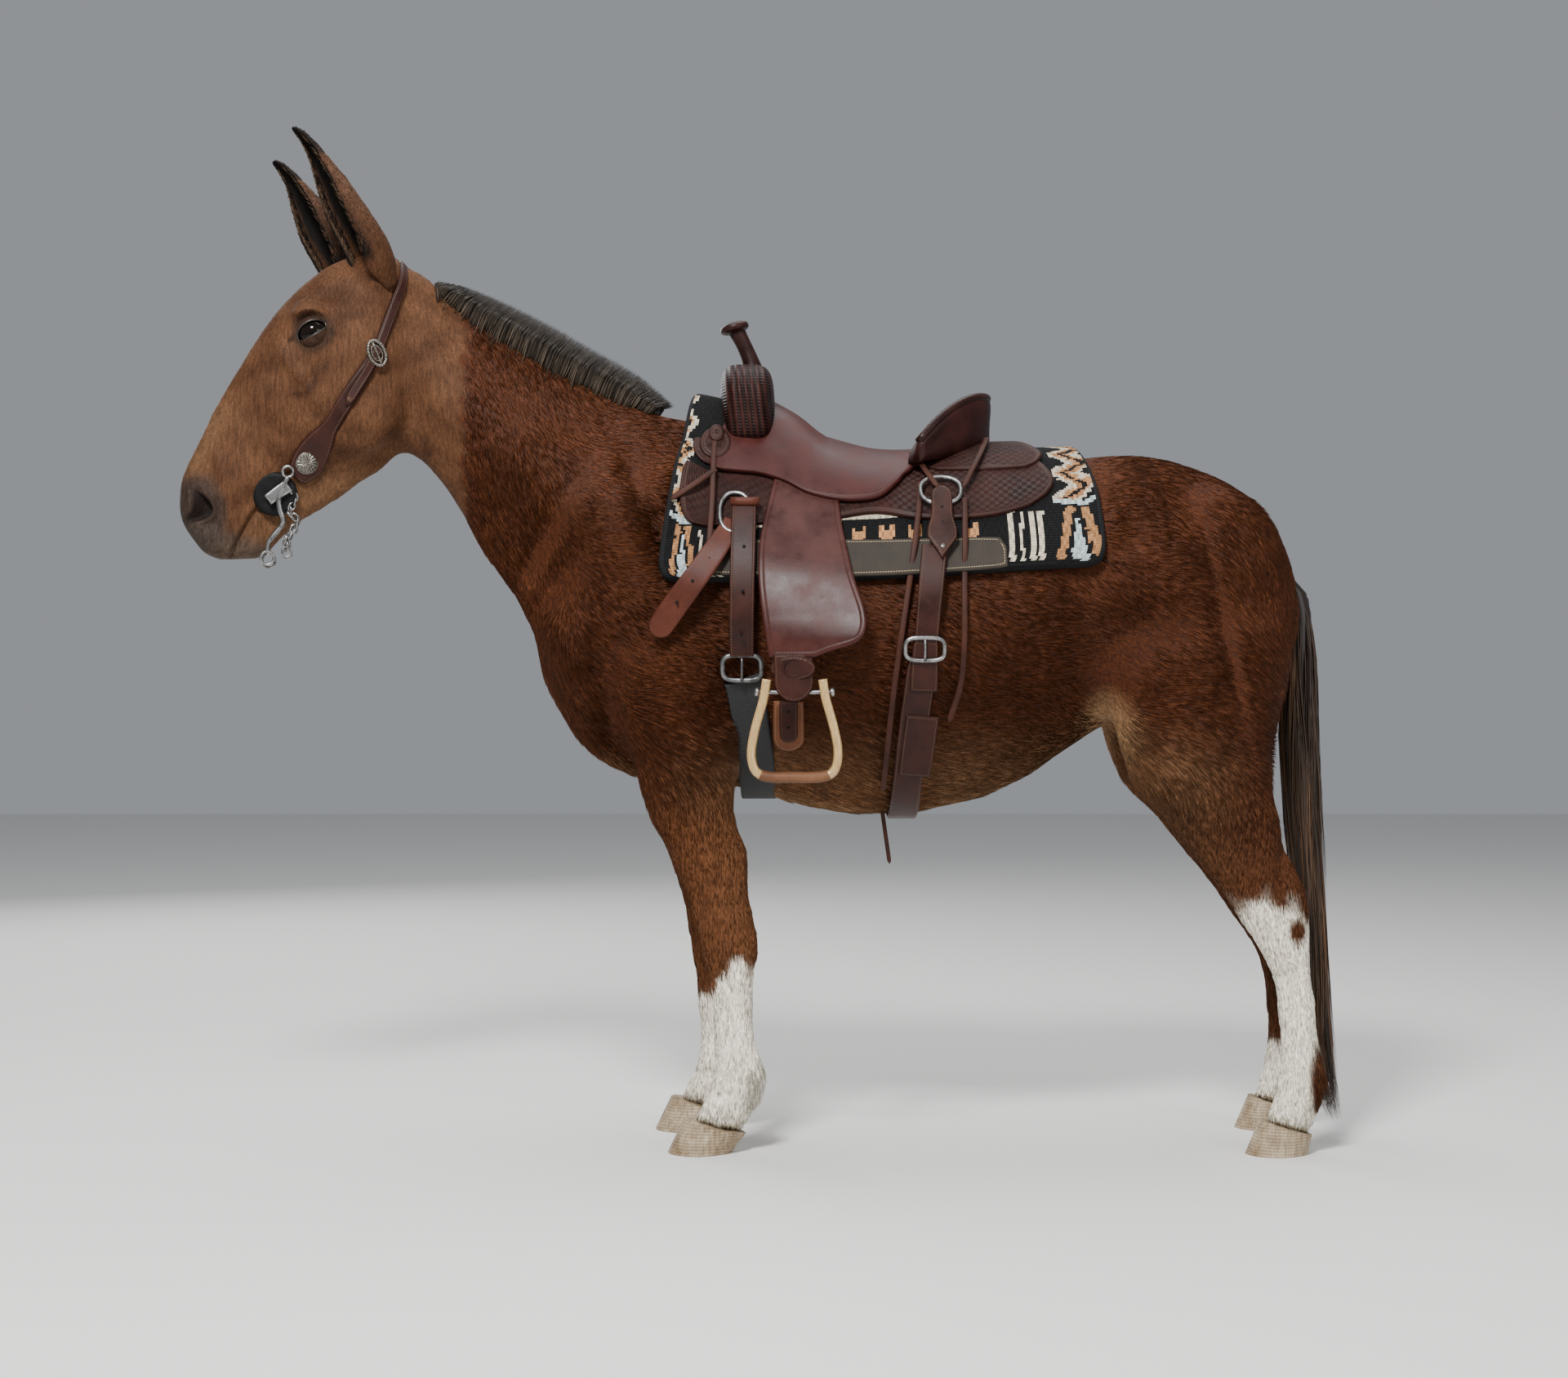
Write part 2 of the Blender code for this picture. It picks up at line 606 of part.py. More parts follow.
def sliced(obj, planes):
    """Keep what lies behind each plane and close the cuts."""
    bm = bmesh.new()
    bm.from_mesh(obj.data)
    for point, normal in planes:
        geometry = bm.verts[:] + bm.edges[:] + bm.faces[:]
        bmesh.ops.bisect_plane(
            bm, geom=geometry, dist=1e-7, plane_co=point, plane_no=normal, clear_outer=True
        )
        rim = [edge for edge in bm.edges if edge.is_boundary]
        bmesh.ops.triangle_fill(bm, use_beauty=True, use_dissolve=False, edges=rim)
    bmesh.ops.recalc_face_normals(bm, faces=bm.faces[:])
    bm.to_mesh(obj.data)
    bm.free()
    return obj


def thinned(obj, triangles):
    """Bring a mesh down to about that many triangles."""
    bm = bmesh.new()
    bm.from_mesh(obj.data)
    bmesh.ops.triangulate(bm, faces=bm.faces[:])
    bm.to_mesh(obj.data)
    bm.free()
    modifier = obj.modifiers.new("decimate", "DECIMATE")
    modifier.ratio = min(1.0, triangles / len(obj.data.polygons))
    return settle(obj)


def plane_at(cut, side, margin):
    """A cut as a point and a normal; side 1 keeps what is nearer the tail."""
    (x, z), tilt = cut
    normal = Vector((-math.cos(tilt), 0, -math.sin(tilt))) * side
    return Vector((x, 0, z)) - normal * margin, normal


def leg_planes(box, side, margin):
    """The planes round one leg; a positive margin shrinks the space."""
    (front, back), top, inner, lean = box
    behind = Vector((math.cos(lean), 0, math.sin(lean)))
    return [
        (Vector((front + margin, 0, 0)), Vector((-1, 0, 0))),
        (Vector((back, 0, top)) - behind * margin, behind),
        (Vector((0, 0, top - margin)), Vector((0, 0, 1))),
        (Vector((0, side * (inner + margin), 0)), Vector((0, -side, 0))),
    ]


def box_cutter(name, low, high, group):
    """A plain block between two corners."""
    bm = bmesh.new()
    bmesh.ops.create_cube(bm, size=1.0)
    size = Vector(high) - Vector(low)
    middle = (Vector(high) + Vector(low)) / 2
    bmesh.ops.transform(
        bm, matrix=Matrix.Translation(middle) @ Matrix.Diagonal((*size, 1.0)), verts=bm.verts[:]
    )
    return object_from(bm, name, group, "coat")


def part_of_body(body, name, planes, triangles, group):
    """One part of the flesh: cut roughly, thinned, then cut to its exact faces."""
    loose = 0.02
    obj = copy_of(body, name, group)
    sliced(obj, [(point + normal * loose, normal) for point, normal in planes])
    thinned(obj, triangles)
    sliced(obj, planes)
    return largest_surface(obj)


def hoof_sizes(kind, side):
    """The sizes of one hoof, moved with its leg."""
    toe, heel, front_x, front_z, back_x, back_z, width = FORE_HOOF if kind == "fore" else HIND_HOOF
    shift = RIGHT_SHIFT[kind] if side > 0 else 0.0
    y = side * (FORELEG if kind == "fore" else HINDLEG)[-1][3]
    return toe + shift, heel + shift, front_x + shift, front_z, back_x + shift, back_z, width, y


def coronet_plane(kind, side, margin):
    """The slanted plane between hoof and leg, keeping what is above."""
    _, _, front_x, front_z, back_x, back_z, _, _ = hoof_sizes(kind, side)
    along = Vector((back_x - front_x, 0, back_z - front_z)).normalized()
    normal = Vector((along.z, 0, -along.x))
    return Vector((front_x, 0, front_z)) - normal * margin, normal


def hoof(kind, side, name, group):
    """A hoof from its sole up to the coronet."""
    toe, heel, front_x, front_z, back_x, back_z, width, y = hoof_sizes(kind, side)
    rings = []
    for part in (0.0, 1.0):
        front = Vector((toe, y, 0)).lerp(Vector((front_x, y, front_z)), part)
        back = Vector((heel, y, 0)).lerp(Vector((back_x, y, back_z)), part)
        half = width * (1 - 0.13 * part)
        rings.append(section(front, back, (half, half, half * 0.86), 16))
    return loft(name, rings, group, "horn")


def torso(body, group, cutters):
    """The trunk between the neck cut and the tops of the legs."""
    obj = part_of_body(body, "torso", [plane_at(NECK_CUT, 1, GAP / 2)], TRIANGLES["torso"], group)
    for box in (FORELEG_BOX, HINDLEG_BOX):
        for side in (-1, 1):
            cutter = box_cutter("leg_space", (-0.5, -0.5, -0.2), (1.4, 0.5, 1.0), cutters)
            sliced(cutter, leg_planes(box, side, -GAP / 2))
            combine(obj, cutter, "DIFFERENCE")
            drop(cutter)
    return largest_surface(obj)


def flesh(group, cutters):
    """All parts of the body, each a node of its own."""
    body = whole_body(cutters)
    parts = {"torso": torso(body, group, cutters)}
    neck_planes = [plane_at(HEAD_CUT, 1, GAP / 2), plane_at(NECK_CUT, -1, GAP / 2)]
    parts["neck"] = part_of_body(body, "neck", neck_planes, TRIANGLES["neck"], group)
    head_planes = [plane_at(HEAD_CUT, -1, GAP / 2)]
    parts["head"] = part_of_body(body, "head", head_planes, TRIANGLES["head"], group)
    for kind, box in (("fore", FORELEG_BOX), ("hind", HINDLEG_BOX)):
        for side, word in ((-1, "left"), (1, "right")):
            planes = leg_planes(box, side, GAP / 2)
            planes.append(coronet_plane(kind, side, GAP))
            name = f"{kind}leg_{word}"
            parts[name] = part_of_body(body, name, planes, TRIANGLES[kind + "leg"], group)
            parts[f"{kind}_hoof_{word}"] = hoof(kind, side, f"{kind}_hoof_{word}", group)
    drop(body)
    return parts


def probe(tree, x, z, side, turn=Vector):
    """The outermost point of a flank or cheek in line with x and z, and its normal."""
    start = turn((x, side * 1.0, z))
    way = (turn((x, 0.0, z)) - start).normalized()
    point, normal, _, _ = tree.ray_cast(start, way)
    return point, normal


def soft_probe(tree, x, z, side, turn=Vector, reach=0.014):
    """The mean of a few probes round x and z, so that a strap lies smoothly."""
    points = []
    normals = []
    for dx, dz in ((0, 0), (reach, 0), (-reach, 0), (0, reach), (0, -reach)):
        point, normal = probe(tree, x + dx, z + dz, side, turn)
        if point is None:
            continue
        points.append(point)
        normals.append(normal)
    middle = sum(points, Vector()) / len(points)
    return middle, sum(normals, Vector()).normalized()


def ribbon(name, points, normals, widths, thickness, group, finish):
    """A flat strap of even thickness through points, lying across their normals."""
    rings = []
    count = len(points)
    for index, (point, normal, width) in enumerate(zip(points, normals, widths)):
        along = points[min(index + 1, count - 1)] - points[max(index - 1, 0)]
        across = along.cross(normal).normalized() * width / 2
        lift = across.cross(along).normalized() * thickness
        if lift.dot(normal) < 0:
            lift = -lift
        rings.append([point - across, point + across, point + across + lift, point - across + lift])
    return loft(name, rings, group, finish)


def side_strap(name, tree, rows, side, thickness, group, finish, count, turn=Vector):
    """A strap over the flank or cheek along rows of x, z, width and distance."""
    points = []
    normals = []
    widths = []
    for x, z, width, distance in resample(rows, count):
        point, normal = soft_probe(tree, x, z, side, turn)
        points.append(point + normal * distance)
        normals.append(normal)
        widths.append(width)
    return ribbon(name, points, normals, widths, thickness, group, finish)


class Barrel:
    """How far the trunk reaches from a level line through it, at each x and angle."""

    def __init__(self, tree, first=-0.26, last=0.72):
        self.first = first
        self.step = 0.02
        self.turn = math.radians(4)
        self.reach = []
        for i in range(int(round((last - first) / self.step)) + 1):
            row = []
            for j in range(int(round(math.pi / self.turn)) + 1):
                way = self.way(j * self.turn, -1)
                centre = Vector((first + i * self.step, 0, CORE_Z))
                point, _, _, _ = tree.ray_cast(centre + way, -way)
                row.append((point - centre).length)
            self.reach.append(row)
        self.reach = np.array(self.reach)
        for _ in range(3):
            padded = np.pad(self.reach, 1, mode="edge")
            around = padded[:-2, 1:-1] + padded[2:, 1:-1] + padded[1:-1, :-2] + padded[1:-1, 2:]
            self.reach = 0.5 * self.reach + 0.125 * around

    @staticmethod
    def way(angle, side):
        return Vector((0, side * math.sin(angle), math.cos(angle)))

    def radius(self, x, angle):
        i = min(max((x - self.first) / self.step, 0), len(self.reach) - 1.001)
        j = min(max(angle / self.turn, 0), len(self.reach[0]) - 1.001)
        low_i, low_j = int(i), int(j)
        part_i, part_j = i - low_i, j - low_j
        near = self.reach[low_i][low_j] * (1 - part_j) + self.reach[low_i][low_j + 1] * part_j
        far = self.reach[low_i + 1][low_j] * (1 - part_j) + self.reach[low_i + 1][low_j + 1] * part_j
        return near * (1 - part_i) + far * part_i

    def point(self, x, angle, distance):
        """The place at a distance off the trunk; the angle is from straight up, left negative."""
        side = -1 if angle < 0 else 1
        angle = abs(angle)
        small = math.radians(3)
        here = self.way(angle, side) * self.radius(x, angle)
        ahead = self.way(angle + small, side) * self.radius(x, angle + small)
        behind = self.way(angle - small, side) * self.radius(x, abs(angle - small))
        slope = (ahead - behind).normalized()
        out = Vector((0, slope.z, -slope.y)) * -side
        if angle == 0:
            out = Vector((0, 0, 1))
        return Vector((x, 0, CORE_Z)) + here + out * distance

    def angle_at(self, x, z, distance):
        """The angle down the flank where a layer at that distance has height z."""
        low, high = 0.0, math.pi
        for _ in range(40):
            middle = (low + high) / 2
            if self.point(x, middle, distance).z > z:
                low = middle
            else:
                high = middle
        return (low + high) / 2


def wrapped(name, barrel, outline, low, high, group, finish, step=0.10, turn=math.radians(13)):
    """A curved plate over the trunk with its outline in x and angle, between two distances."""
    bm = bmesh.new()
    bm.faces.new([bm.verts.new((x, angle, 0)) for x, angle in outline])
    xs = [x for x, _ in outline]
    angles = [angle for _, angle in outline]
    for axis, first, last, pitch in ((0, min(xs), max(xs), step), (1, min(angles), max(angles), turn)):
        count = max(1, int(math.ceil((last - first) / pitch)))
        for index in range(1, count):
            point = Vector((0, 0, 0))
            point[axis] = first + (last - first) * index / count
            normal = Vector((0, 0, 0))
            normal[axis] = 1
            geometry = bm.verts[:] + bm.edges[:] + bm.faces[:]
            bmesh.ops.bisect_plane(bm, geom=geometry, dist=1e-5, plane_co=point, plane_no=normal)
    bmesh.ops.triangulate(bm, faces=bm.faces[:])
    flat = [vert.co.copy() for vert in bm.verts]
    outer = {}
    bm.verts.index_update()
    rim = [(edge.verts[0], edge.verts[1]) for edge in bm.edges if edge.is_boundary]
    faces = [tuple(face.verts) for face in bm.faces]
    for vert in bm.verts[:]:
        place = flat[vert.index]
        outer[vert] = bm.verts.new(barrel.point(place.x, place.y, high))
        vert.co = barrel.point(place.x, place.y, low)
    for face in faces:
        bm.faces.new([outer[vert] for vert in reversed(face)])
    for one, two in rim:
        bm.faces.new((one, two, outer[two], outer[one]))
    return object_from(bm, name, group, finish)


def both_sides(barrel, half, distance):
    """A left outline in x and z as a whole outline in x and angle."""
    left = []
    for x, z in half:
        left.append((x, -barrel.angle_at(x, z, distance) if z else 0.0))
    right = [(x, -angle) for x, angle in reversed(left[1:-1])]
    return left + right


def torus(name, centre, normal, radius, wire, group, finish):
    """A round ring that lies flat across its normal."""
    bm = bmesh.new()
    turn = Vector((0, 0, 1)).rotation_difference(normal).to_matrix()
    rings = []
    steps, sides = 12, 4
    for step in range(steps):
        angle = 2 * math.pi * step / steps
        spoke = Vector((math.cos(angle), math.sin(angle), 0))
        ring = []
        for part in range(sides):
            around = 2 * math.pi * part / sides
            lift = Vector((0, 0, wire * math.sin(around)))
            ring.append(centre + turn @ (spoke * (radius + wire * math.cos(around)) + lift))
        rings.append([bm.verts.new(point) for point in ring])
    for one, two in zip(rings, rings[1:] + rings[:1]):
        for part in range(sides):
            after = (part + 1) % sides
            bm.faces.new((one[part], one[after], two[after], two[part]))
    return object_from(bm, name, group, finish)


def frame_buckle(name, centre, normal, half_x, half_z, wire, group, finish):
    """A rectangular buckle frame with round wire, lying across its normal."""
    bm = bmesh.new()
    across = Vector((1, 0, 0)) - normal * normal.x
    across.normalize()
    up = normal.cross(across)
    if up.z < 0:
        up = -up
    corners = []
    soft = 0.30
    for sx, sz, order in ((-1, -1, 0), (1, -1, 1), (1, 1, 0), (-1, 1, 1)):
        pair = [(sx, sz * (1 - soft)), (sx * (1 - soft), sz)]
        if order:
            pair.reverse()
        corners.extend(pair)
    rings = []
    middle = [across * (a * half_x) + up * (b * half_z) for a, b in corners]
    for place in middle:
        spoke = place.normalized()
        ring = []
        for part in range(6):
            around = 2 * math.pi * part / 6
            way = spoke * math.cos(around) + normal * math.sin(around)
            ring.append(bm.verts.new(centre + place + way * wire))
        rings.append(ring)
    for one, two in zip(rings, rings[1:] + rings[:1]):
        for part in range(6):
            bm.faces.new((one[part], one[(part + 1) % 6], two[(part + 1) % 6], two[part]))
    return object_from(bm, name, group, finish)


def tube(name, points, radii, group, finish, sides=10):
    """A round bar through points."""
    rings = []
    for index, (point, radius) in enumerate(zip(points, radii)):
        along = (points[min(index + 1, len(points) - 1)] - points[max(index - 1, 0)]).normalized()
        aside = Vector((0, 1, 0)) if abs(along.y) < 0.8 else Vector((1, 0, 0))
        across = along.cross(aside).normalized()
        other = along.cross(across)
        ring = []
        for side in range(sides):
            angle = 2 * math.pi * side / sides
            ring.append(point + (across * math.cos(angle) + other * math.sin(angle)) * radius)
        rings.append(ring)
    return loft(name, rings, group, finish)


def ear(name, base, tip, facing, group):
    """A long cupped ear: a rolled leaf that opens along its front edge."""
    base, tip, facing = Vector(base), Vector(tip), Vector(facing)
    along = (tip - base).normalized()
    front = (facing - along * facing.dot(along)).normalized()
    across = along.cross(front)
    bm = bmesh.new()
    rows = []
    columns = 6
    for step in range(9):
        part = step / 8
        radius = float(np.interp(part, *zip(*EAR_RADII)))
        spread = math.radians(float(np.interp(part, (0, 0.2, 0.5, 1), (150, 118, 95, 70))))
        centre = base.lerp(tip, part) + front * float(np.interp(part, *zip(*EAR_BEND)))
        row = []
        for k in range(columns + 1):
            angle = spread * (2 * k / columns - 1)
            way = across * math.sin(angle) - front * math.cos(angle)
            row.append(bm.verts.new(centre + way * radius))
        rows.append(row)
    for one, two in zip(rows, rows[1:]):
        for k in range(columns):
            bm.faces.new((one[k], one[k + 1], two[k + 1], two[k]))
    obj = object_from(bm, name, group, "coat")
    shell = obj.modifiers.new("shell", "SOLIDIFY")
    shell.thickness = EAR_THICKNESS
    shell.offset = 0.0
    return turn_with_head(settle(obj))


def carve_head(head, group, cutters):
    """Lids, eyes, nostrils and the line of the mouth."""
    eyes = []
    for side, word in ((-1, "left"), (1, "right")):
        x, y, z = EYE_PLACE
        place = (x, side * y, z)
        radii = [EYE_RADIUS + LID_THICKNESS] * 3
        lids = turn_with_head(ellipsoid("lids", place, radii, cutters, "coat", 0, 14))
        combine(head, lids, "UNION")
        drop(lids)
        (opening, pitch) = EYE_OPENING
        slit = ellipsoid("slit", (x, side * (y + 0.024), z), opening, cutters, "coat", pitch, 12)
        combine(head, turn_with_head(slit), "DIFFERENCE")
        drop(slit)
        eye = turn_with_head(ellipsoid(f"eye_{word}", place, [EYE_RADIUS] * 3, group, "eye", 0, 12))
        socket = grown(eye, cutters)
        combine(head, socket, "DIFFERENCE")
        drop(socket)
        eyes.append(eye)
        (nx, ny, nz), radii, pitch = NOSTRIL
        hole = turn_with_head(ellipsoid("hole", (nx, side * ny, nz), radii, cutters, "coat", pitch, 10))
        combine(head, hole, "DIFFERENCE")
        drop(hole)
    return eyes


def lip_line(head, cutters):
    """A groove along each side of the mouth."""
    tree = tree_of(head)
    for side in (-1, 1):
        points = []
        for x, z in resample(MOUTH, 6):
            point, normal = probe(tree, x, z, side, turned_head)
            if point is None:
                break
            points.append(point)
        points.append(points[-1] + (points[-1] - points[-2]))
        groove = tube("groove", points, [MOUTH_GROOVE] * len(points), cutters, "coat", 5)
        combine(head, groove, "DIFFERENCE")
        drop(groove)


def tree_of(*objects):
    """A search tree over the faces of objects."""
    verts = []
    faces = []
    for obj in objects:
        first = len(verts)
        verts.extend(vert.co.copy() for vert in obj.data.vertices)
        faces.extend([first + index for index in face.vertices] for face in obj.data.polygons)
    return BVHTree.FromPolygons(verts, faces)


def lock(name, points, outwards, width, thickness, group):
    """A flat lock of hair through points, wide past its root and tapered to its tip."""
    rings = []
    count = len(points)
    for index, point in enumerate(points):
        part = index / (count - 1)
        along = (points[min(index + 1, count - 1)] - points[max(index - 1, 0)]).normalized()
        across = along.cross(outwards).normalized()
        out = across.cross(along)
        taper = 1.03 - part**2.5
        side = across * width / 2 * taper
        face = out * thickness / 2 * taper
        rings.append([point - side, point - face, point + side, point + face])
    return loft(name, rings, group, "hair")


def fused(core, locks):
    """Join a core and a collection of locks into one closed body."""
    before = core.data
    for solver in ("EXACT", "MANIFOLD"):
        core.data = before
        modifier = core.modifiers.new("fuse", "BOOLEAN")
        modifier.operation = "UNION"
        modifier.operand_type = "COLLECTION"
        modifier.collection = locks
        modifier.solver = solver
        settle(core)
        if is_closed(core.data):
            break
    for obj in list(locks.objects):
        drop(obj)
    bpy.data.collections.remove(locks)
    return largest_surface(core)


def mane(parts, group, cutters):
    """The upright mane along the crest: locks on a low core."""
    foot, edge = MANE_HALF_WIDTH
    rings = []
    for x, low, high in resample(MANE, 12):
        root = Vector((x, 0, low - 0.02))
        top = Vector((x, 0, low + (high - low) * MANE_CORE))
        wide, slim = Vector((0, foot, 0)), Vector((0, edge, 0))
        rings.append([root - wide, root + wide, top + slim, top - slim])
    obj = loft("mane", rings, group, "hair")
    locks = new_collection("mane_locks")
    chance = random.Random(LOCK_SEED)
    for index, (x, _, high) in enumerate(resample(MANE, MANE_LOCKS)):
        side = -1 if index % 2 else 1
        lean = MANE_LEAN * chance.uniform(0.8, 1.2) * min(1.0, index / 3)
        root_x = max(x - lean, MANE[0][0] + 0.004)
        root_z = float(np.interp(root_x, [row[0] for row in MANE], [row[1] for row in MANE]))
        root = Vector((root_x, side * 0.004, root_z - 0.006))
        tip = Vector((x, side * MANE_LOCK_SPREAD, high + chance.uniform(-0.007, 0.004)))
        bulge = Vector((-0.010, side * 0.003, 0.004))
        points = [root.lerp(tip, part) + bulge * math.sin(math.pi * part) for part in (0, 0.35, 0.7, 1)]
        width = MANE_LOCK_WIDTH * chance.uniform(0.85, 1.2)
        lock(f"mane_lock_{index}", points, Vector((0, side, 0)), width, MANE_LOCK_THICKNESS, locks)
    return seat_on(fused(obj, locks), [parts["neck"], parts["torso"], parts["head"]], cutters)


def tail(parts, group, cutters):
    """The hanging tail: long locks on a short, slim core."""
    rings = []
    for x, z, depth, width in resample(TAIL, 22):
        if z < TAIL_CORE_END:
            break
        slim = TAIL_CORE if z < TAIL[1][1] else 0.8
        front = Vector((x - depth * slim, 0, z))
        back = front + Vector((2 * depth * slim, 0, 0))
        rings.append(section(front, back, [width * slim * k for k in (1, 1, 0.8)], 8))
    obj = loft("tail", rings, group, "hair")
    locks = new_collection("tail_locks")
    chance = random.Random(LOCK_SEED)
    xs, heights, depths, widths = zip(*reversed(TAIL))
    high, low = TAIL_LOCK_ROOTS
    shortest, longest = TAIL_LOCK_LENGTH
    for index in range(TAIL_LOCKS):
        share = index / (TAIL_LOCKS - 1)
        start = high + (low - high) * share
        end = start - (shortest + (longest - shortest) * share) * chance.uniform(0.92, 1.0)
        end = max(end, TAIL[-1][1] + 0.005 + chance.uniform(0.0, 0.06))
        around = index * math.radians(137.5)
        points = []
        for part in (0, 0.22, 0.55, 0.85, 1):
            z = start + (end - start) * part
            x, depth, width = (float(np.interp(z, heights, column)) for column in (xs, depths, widths))
            reach = blend(0.30, 0.94, part * 2.0)
            swing = around + 0.25 * part
            points.append(Vector((x + depth * reach * math.cos(swing), width * reach * math.sin(swing), z)))
        outwards = Vector((math.cos(around), math.sin(around), 0))
        width = TAIL_LOCK_WIDTH * chance.uniform(0.85, 1.15)
        lock(f"tail_lock_{index}", points, outwards, width, TAIL_LOCK_THICKNESS, locks)
    supports = [parts["torso"], parts["hindleg_left"], parts["hindleg_right"]]
    return seat_on(fused(obj, locks), supports, cutters)


def saddle(barrel, parts, group, cutters):
    """Blanket, skirt and the pieces of the saddle on them."""
    flesh_under = [parts["torso"], parts["neck"]]
    made = {}
    high = BLANKET_THICKNESS
    outline = both_sides(barrel, BLANKET, high)
    made["blanket"] = wrapped("blanket", barrel, outline, -SUNK, high, group, "wool")
    seat_on(made["blanket"], flesh_under, cutters)
    low, high = high - SUNK, high + SKIRT_THICKNESS
    outline = both_sides(barrel, SKIRT, high)
    made["saddle_skirt"] = wrapped("saddle_skirt", barrel, outline, low, high, group, "dark_leather")
    seat_on(made["saddle_skirt"], [made["blanket"]], cutters)
    gullet = ellipsoid("gullet", *GULLET, cutters, "coat", 0, 14)
    combine(made["saddle_skirt"], gullet, "DIFFERENCE", ("MANIFOLD", "EXACT"))
    drop(gullet)
    largest_surface(made["saddle_skirt"])
    low, high = high - SUNK, high + FLAP_THICKNESS
    outline = both_sides(barrel, REAR_JOCKEY, high)
    centre, radii = SWELL
    made["swell"] = ellipsoid("swell", centre, radii, group, "dark_leather", 0, 16)
    seat_on(made["swell"], [made["saddle_skirt"], made["blanket"]] + flesh_under, cutters)
    rings = []
    for share in np.linspace(-1, 1, 11):
        rings.append([Vector((x, -CANTLE_HALF_WIDTH * share, z)) for x, z in cantle_profile(share)])
    made["cantle"] = loft("cantle", rings, group, "dark_leather")
    seat_on(made["cantle"], [made["saddle_skirt"], made["blanket"]] + flesh_under, cutters)
    made["rear_jockey"] = wrapped("rear_jockey", barrel, outline, low, high, group, "dark_leather")
    seat_on(made["rear_jockey"], [made["cantle"], made["saddle_skirt"], made["blanket"]], cutters)
    rows = resample(SEAT, 6)
    rings = []
    for x, ridge, half, edge in rows:
        top = [
            Vector((x, half * math.sin(angle), edge + (ridge - edge) * math.cos(angle) ** 0.8))
            for angle in np.linspace(-math.pi / 2 + 0.02, math.pi / 2 - 0.02, 7)
        ]
        rings.append(top + [Vector((x, half * 0.8, edge - 0.12)), Vector((x, -half * 0.8, edge - 0.12))])
    seat = loft("seat", rings, group, "red_leather")
    flap = wrapped(
        "flap", barrel, both_sides(barrel, SEAT_FLAP, high), low, high, cutters, "red_leather"
    )
    combine(seat, flap, "UNION")
    drop(flap)
    under = [made["saddle_skirt"], made["blanket"], made["swell"], made["cantle"], made["rear_jockey"]]
    made["seat"] = seat_on(seat, under + flesh_under, cutters)
    neck_points = [Vector((x, 0, z)) for x, z in resample(HORN_NECK, 4)]
    horn = tube("horn", neck_points, [HORN_NECK_RADIUS] * 4, group, "dark_leather", 10)
    centre, radii, pitch = HORN_CAP
    cap = ellipsoid("cap", centre, radii, cutters, "dark_leather", pitch, 12)
    combine(horn, cap, "UNION")
    drop(cap)
    made["horn"] = seat_on(horn, [made["swell"]], cutters)
    return made


def cantle_profile(across):
    """The cantle's side outline at a place across it, lower and further forward towards its ends."""
    rise = 1 - abs(across) ** 3.4
    forward = CANTLE_SWEEP * abs(across) ** 1.8
    base_z = CANTLE[0][1] - 0.06
    return [(x - forward, base_z + (z - base_z) * (0.36 + 0.64 * rise)) for x, z in CANTLE]


def side_tack(barrel, parts, made, side, word, group, cutters):
    """Fender, stirrup, straps and rings of one side."""
    tree = tree_of(parts["torso"], parts["foreleg_" + word])
    thin = 0.004
    straps = (
        ("fender", FENDER, 0.005, "red_leather", 12),
        ("hobble", HOBBLE, 0.008, "dark_leather", 4),
        ("latigo", LATIGO, thin, "dark_leather", 9),
        ("off_billet", OFF_BILLET, thin, "red_leather", 7),
        ("rear_billet", REAR_BILLET, thin, "dark_leather", 10),
    )
    for kind, rows, thickness, finish, count in straps:
        made[f"{kind}_{word}"] = side_strap(
            f"{kind}_{word}", tree, rows, side, thickness, group, finish, count
        )
    x, z, _, distance = HOBBLE[-1]
    foot = soft_probe(tree, x, z, side)
    bolt_y = (foot[0] + foot[1] * (distance + 0.004)).y
    made[f"stirrup_{word}"] = stirrup(f"stirrup_{word}", bolt_y, group, cutters)
    for kind, (x, z, radius, wire) in (("front_ring", FRONT_RING), ("rear_ring", REAR_RING)):
        point, normal = soft_probe(tree, x, z, side)
        centre = point + normal * RING_LIFT
        made[f"{kind}_{word}"] = torus(f"{kind}_{word}", centre, normal, radius, wire, group, "steel")
    buckles = (("cinch_buckle", CINCH_BUCKLE), ("rear_buckle", REAR_BUCKLE))
    for kind, (x, z, half_x, half_z, wire) in buckles:
        point, normal = soft_probe(tree, x, z, side)
        centre = point + normal * (wire + BUCKLE_LIFT)
        made[f"{kind}_{word}"] = frame_buckle(
            f"{kind}_{word}", centre, normal, half_x, half_z, wire, group, "steel"
        )
    skirts = ("saddle_skirt", "blanket")
    trims = (
        ("fender", ("seat", *skirts)),
        ("hobble", (f"fender_{word}", f"stirrup_{word}")),
        ("latigo", (f"front_ring_{word}", f"cinch_buckle_{word}", *skirts)),
        ("off_billet", (f"front_ring_{word}", f"latigo_{word}", f"fender_{word}", *skirts)),
        ("rear_billet", (f"rear_ring_{word}", f"rear_buckle_{word}", *skirts)),
    )
    for kind, supports in trims:
        seat_on(made[f"{kind}_{word}"], [made[name] for name in supports], cutters)


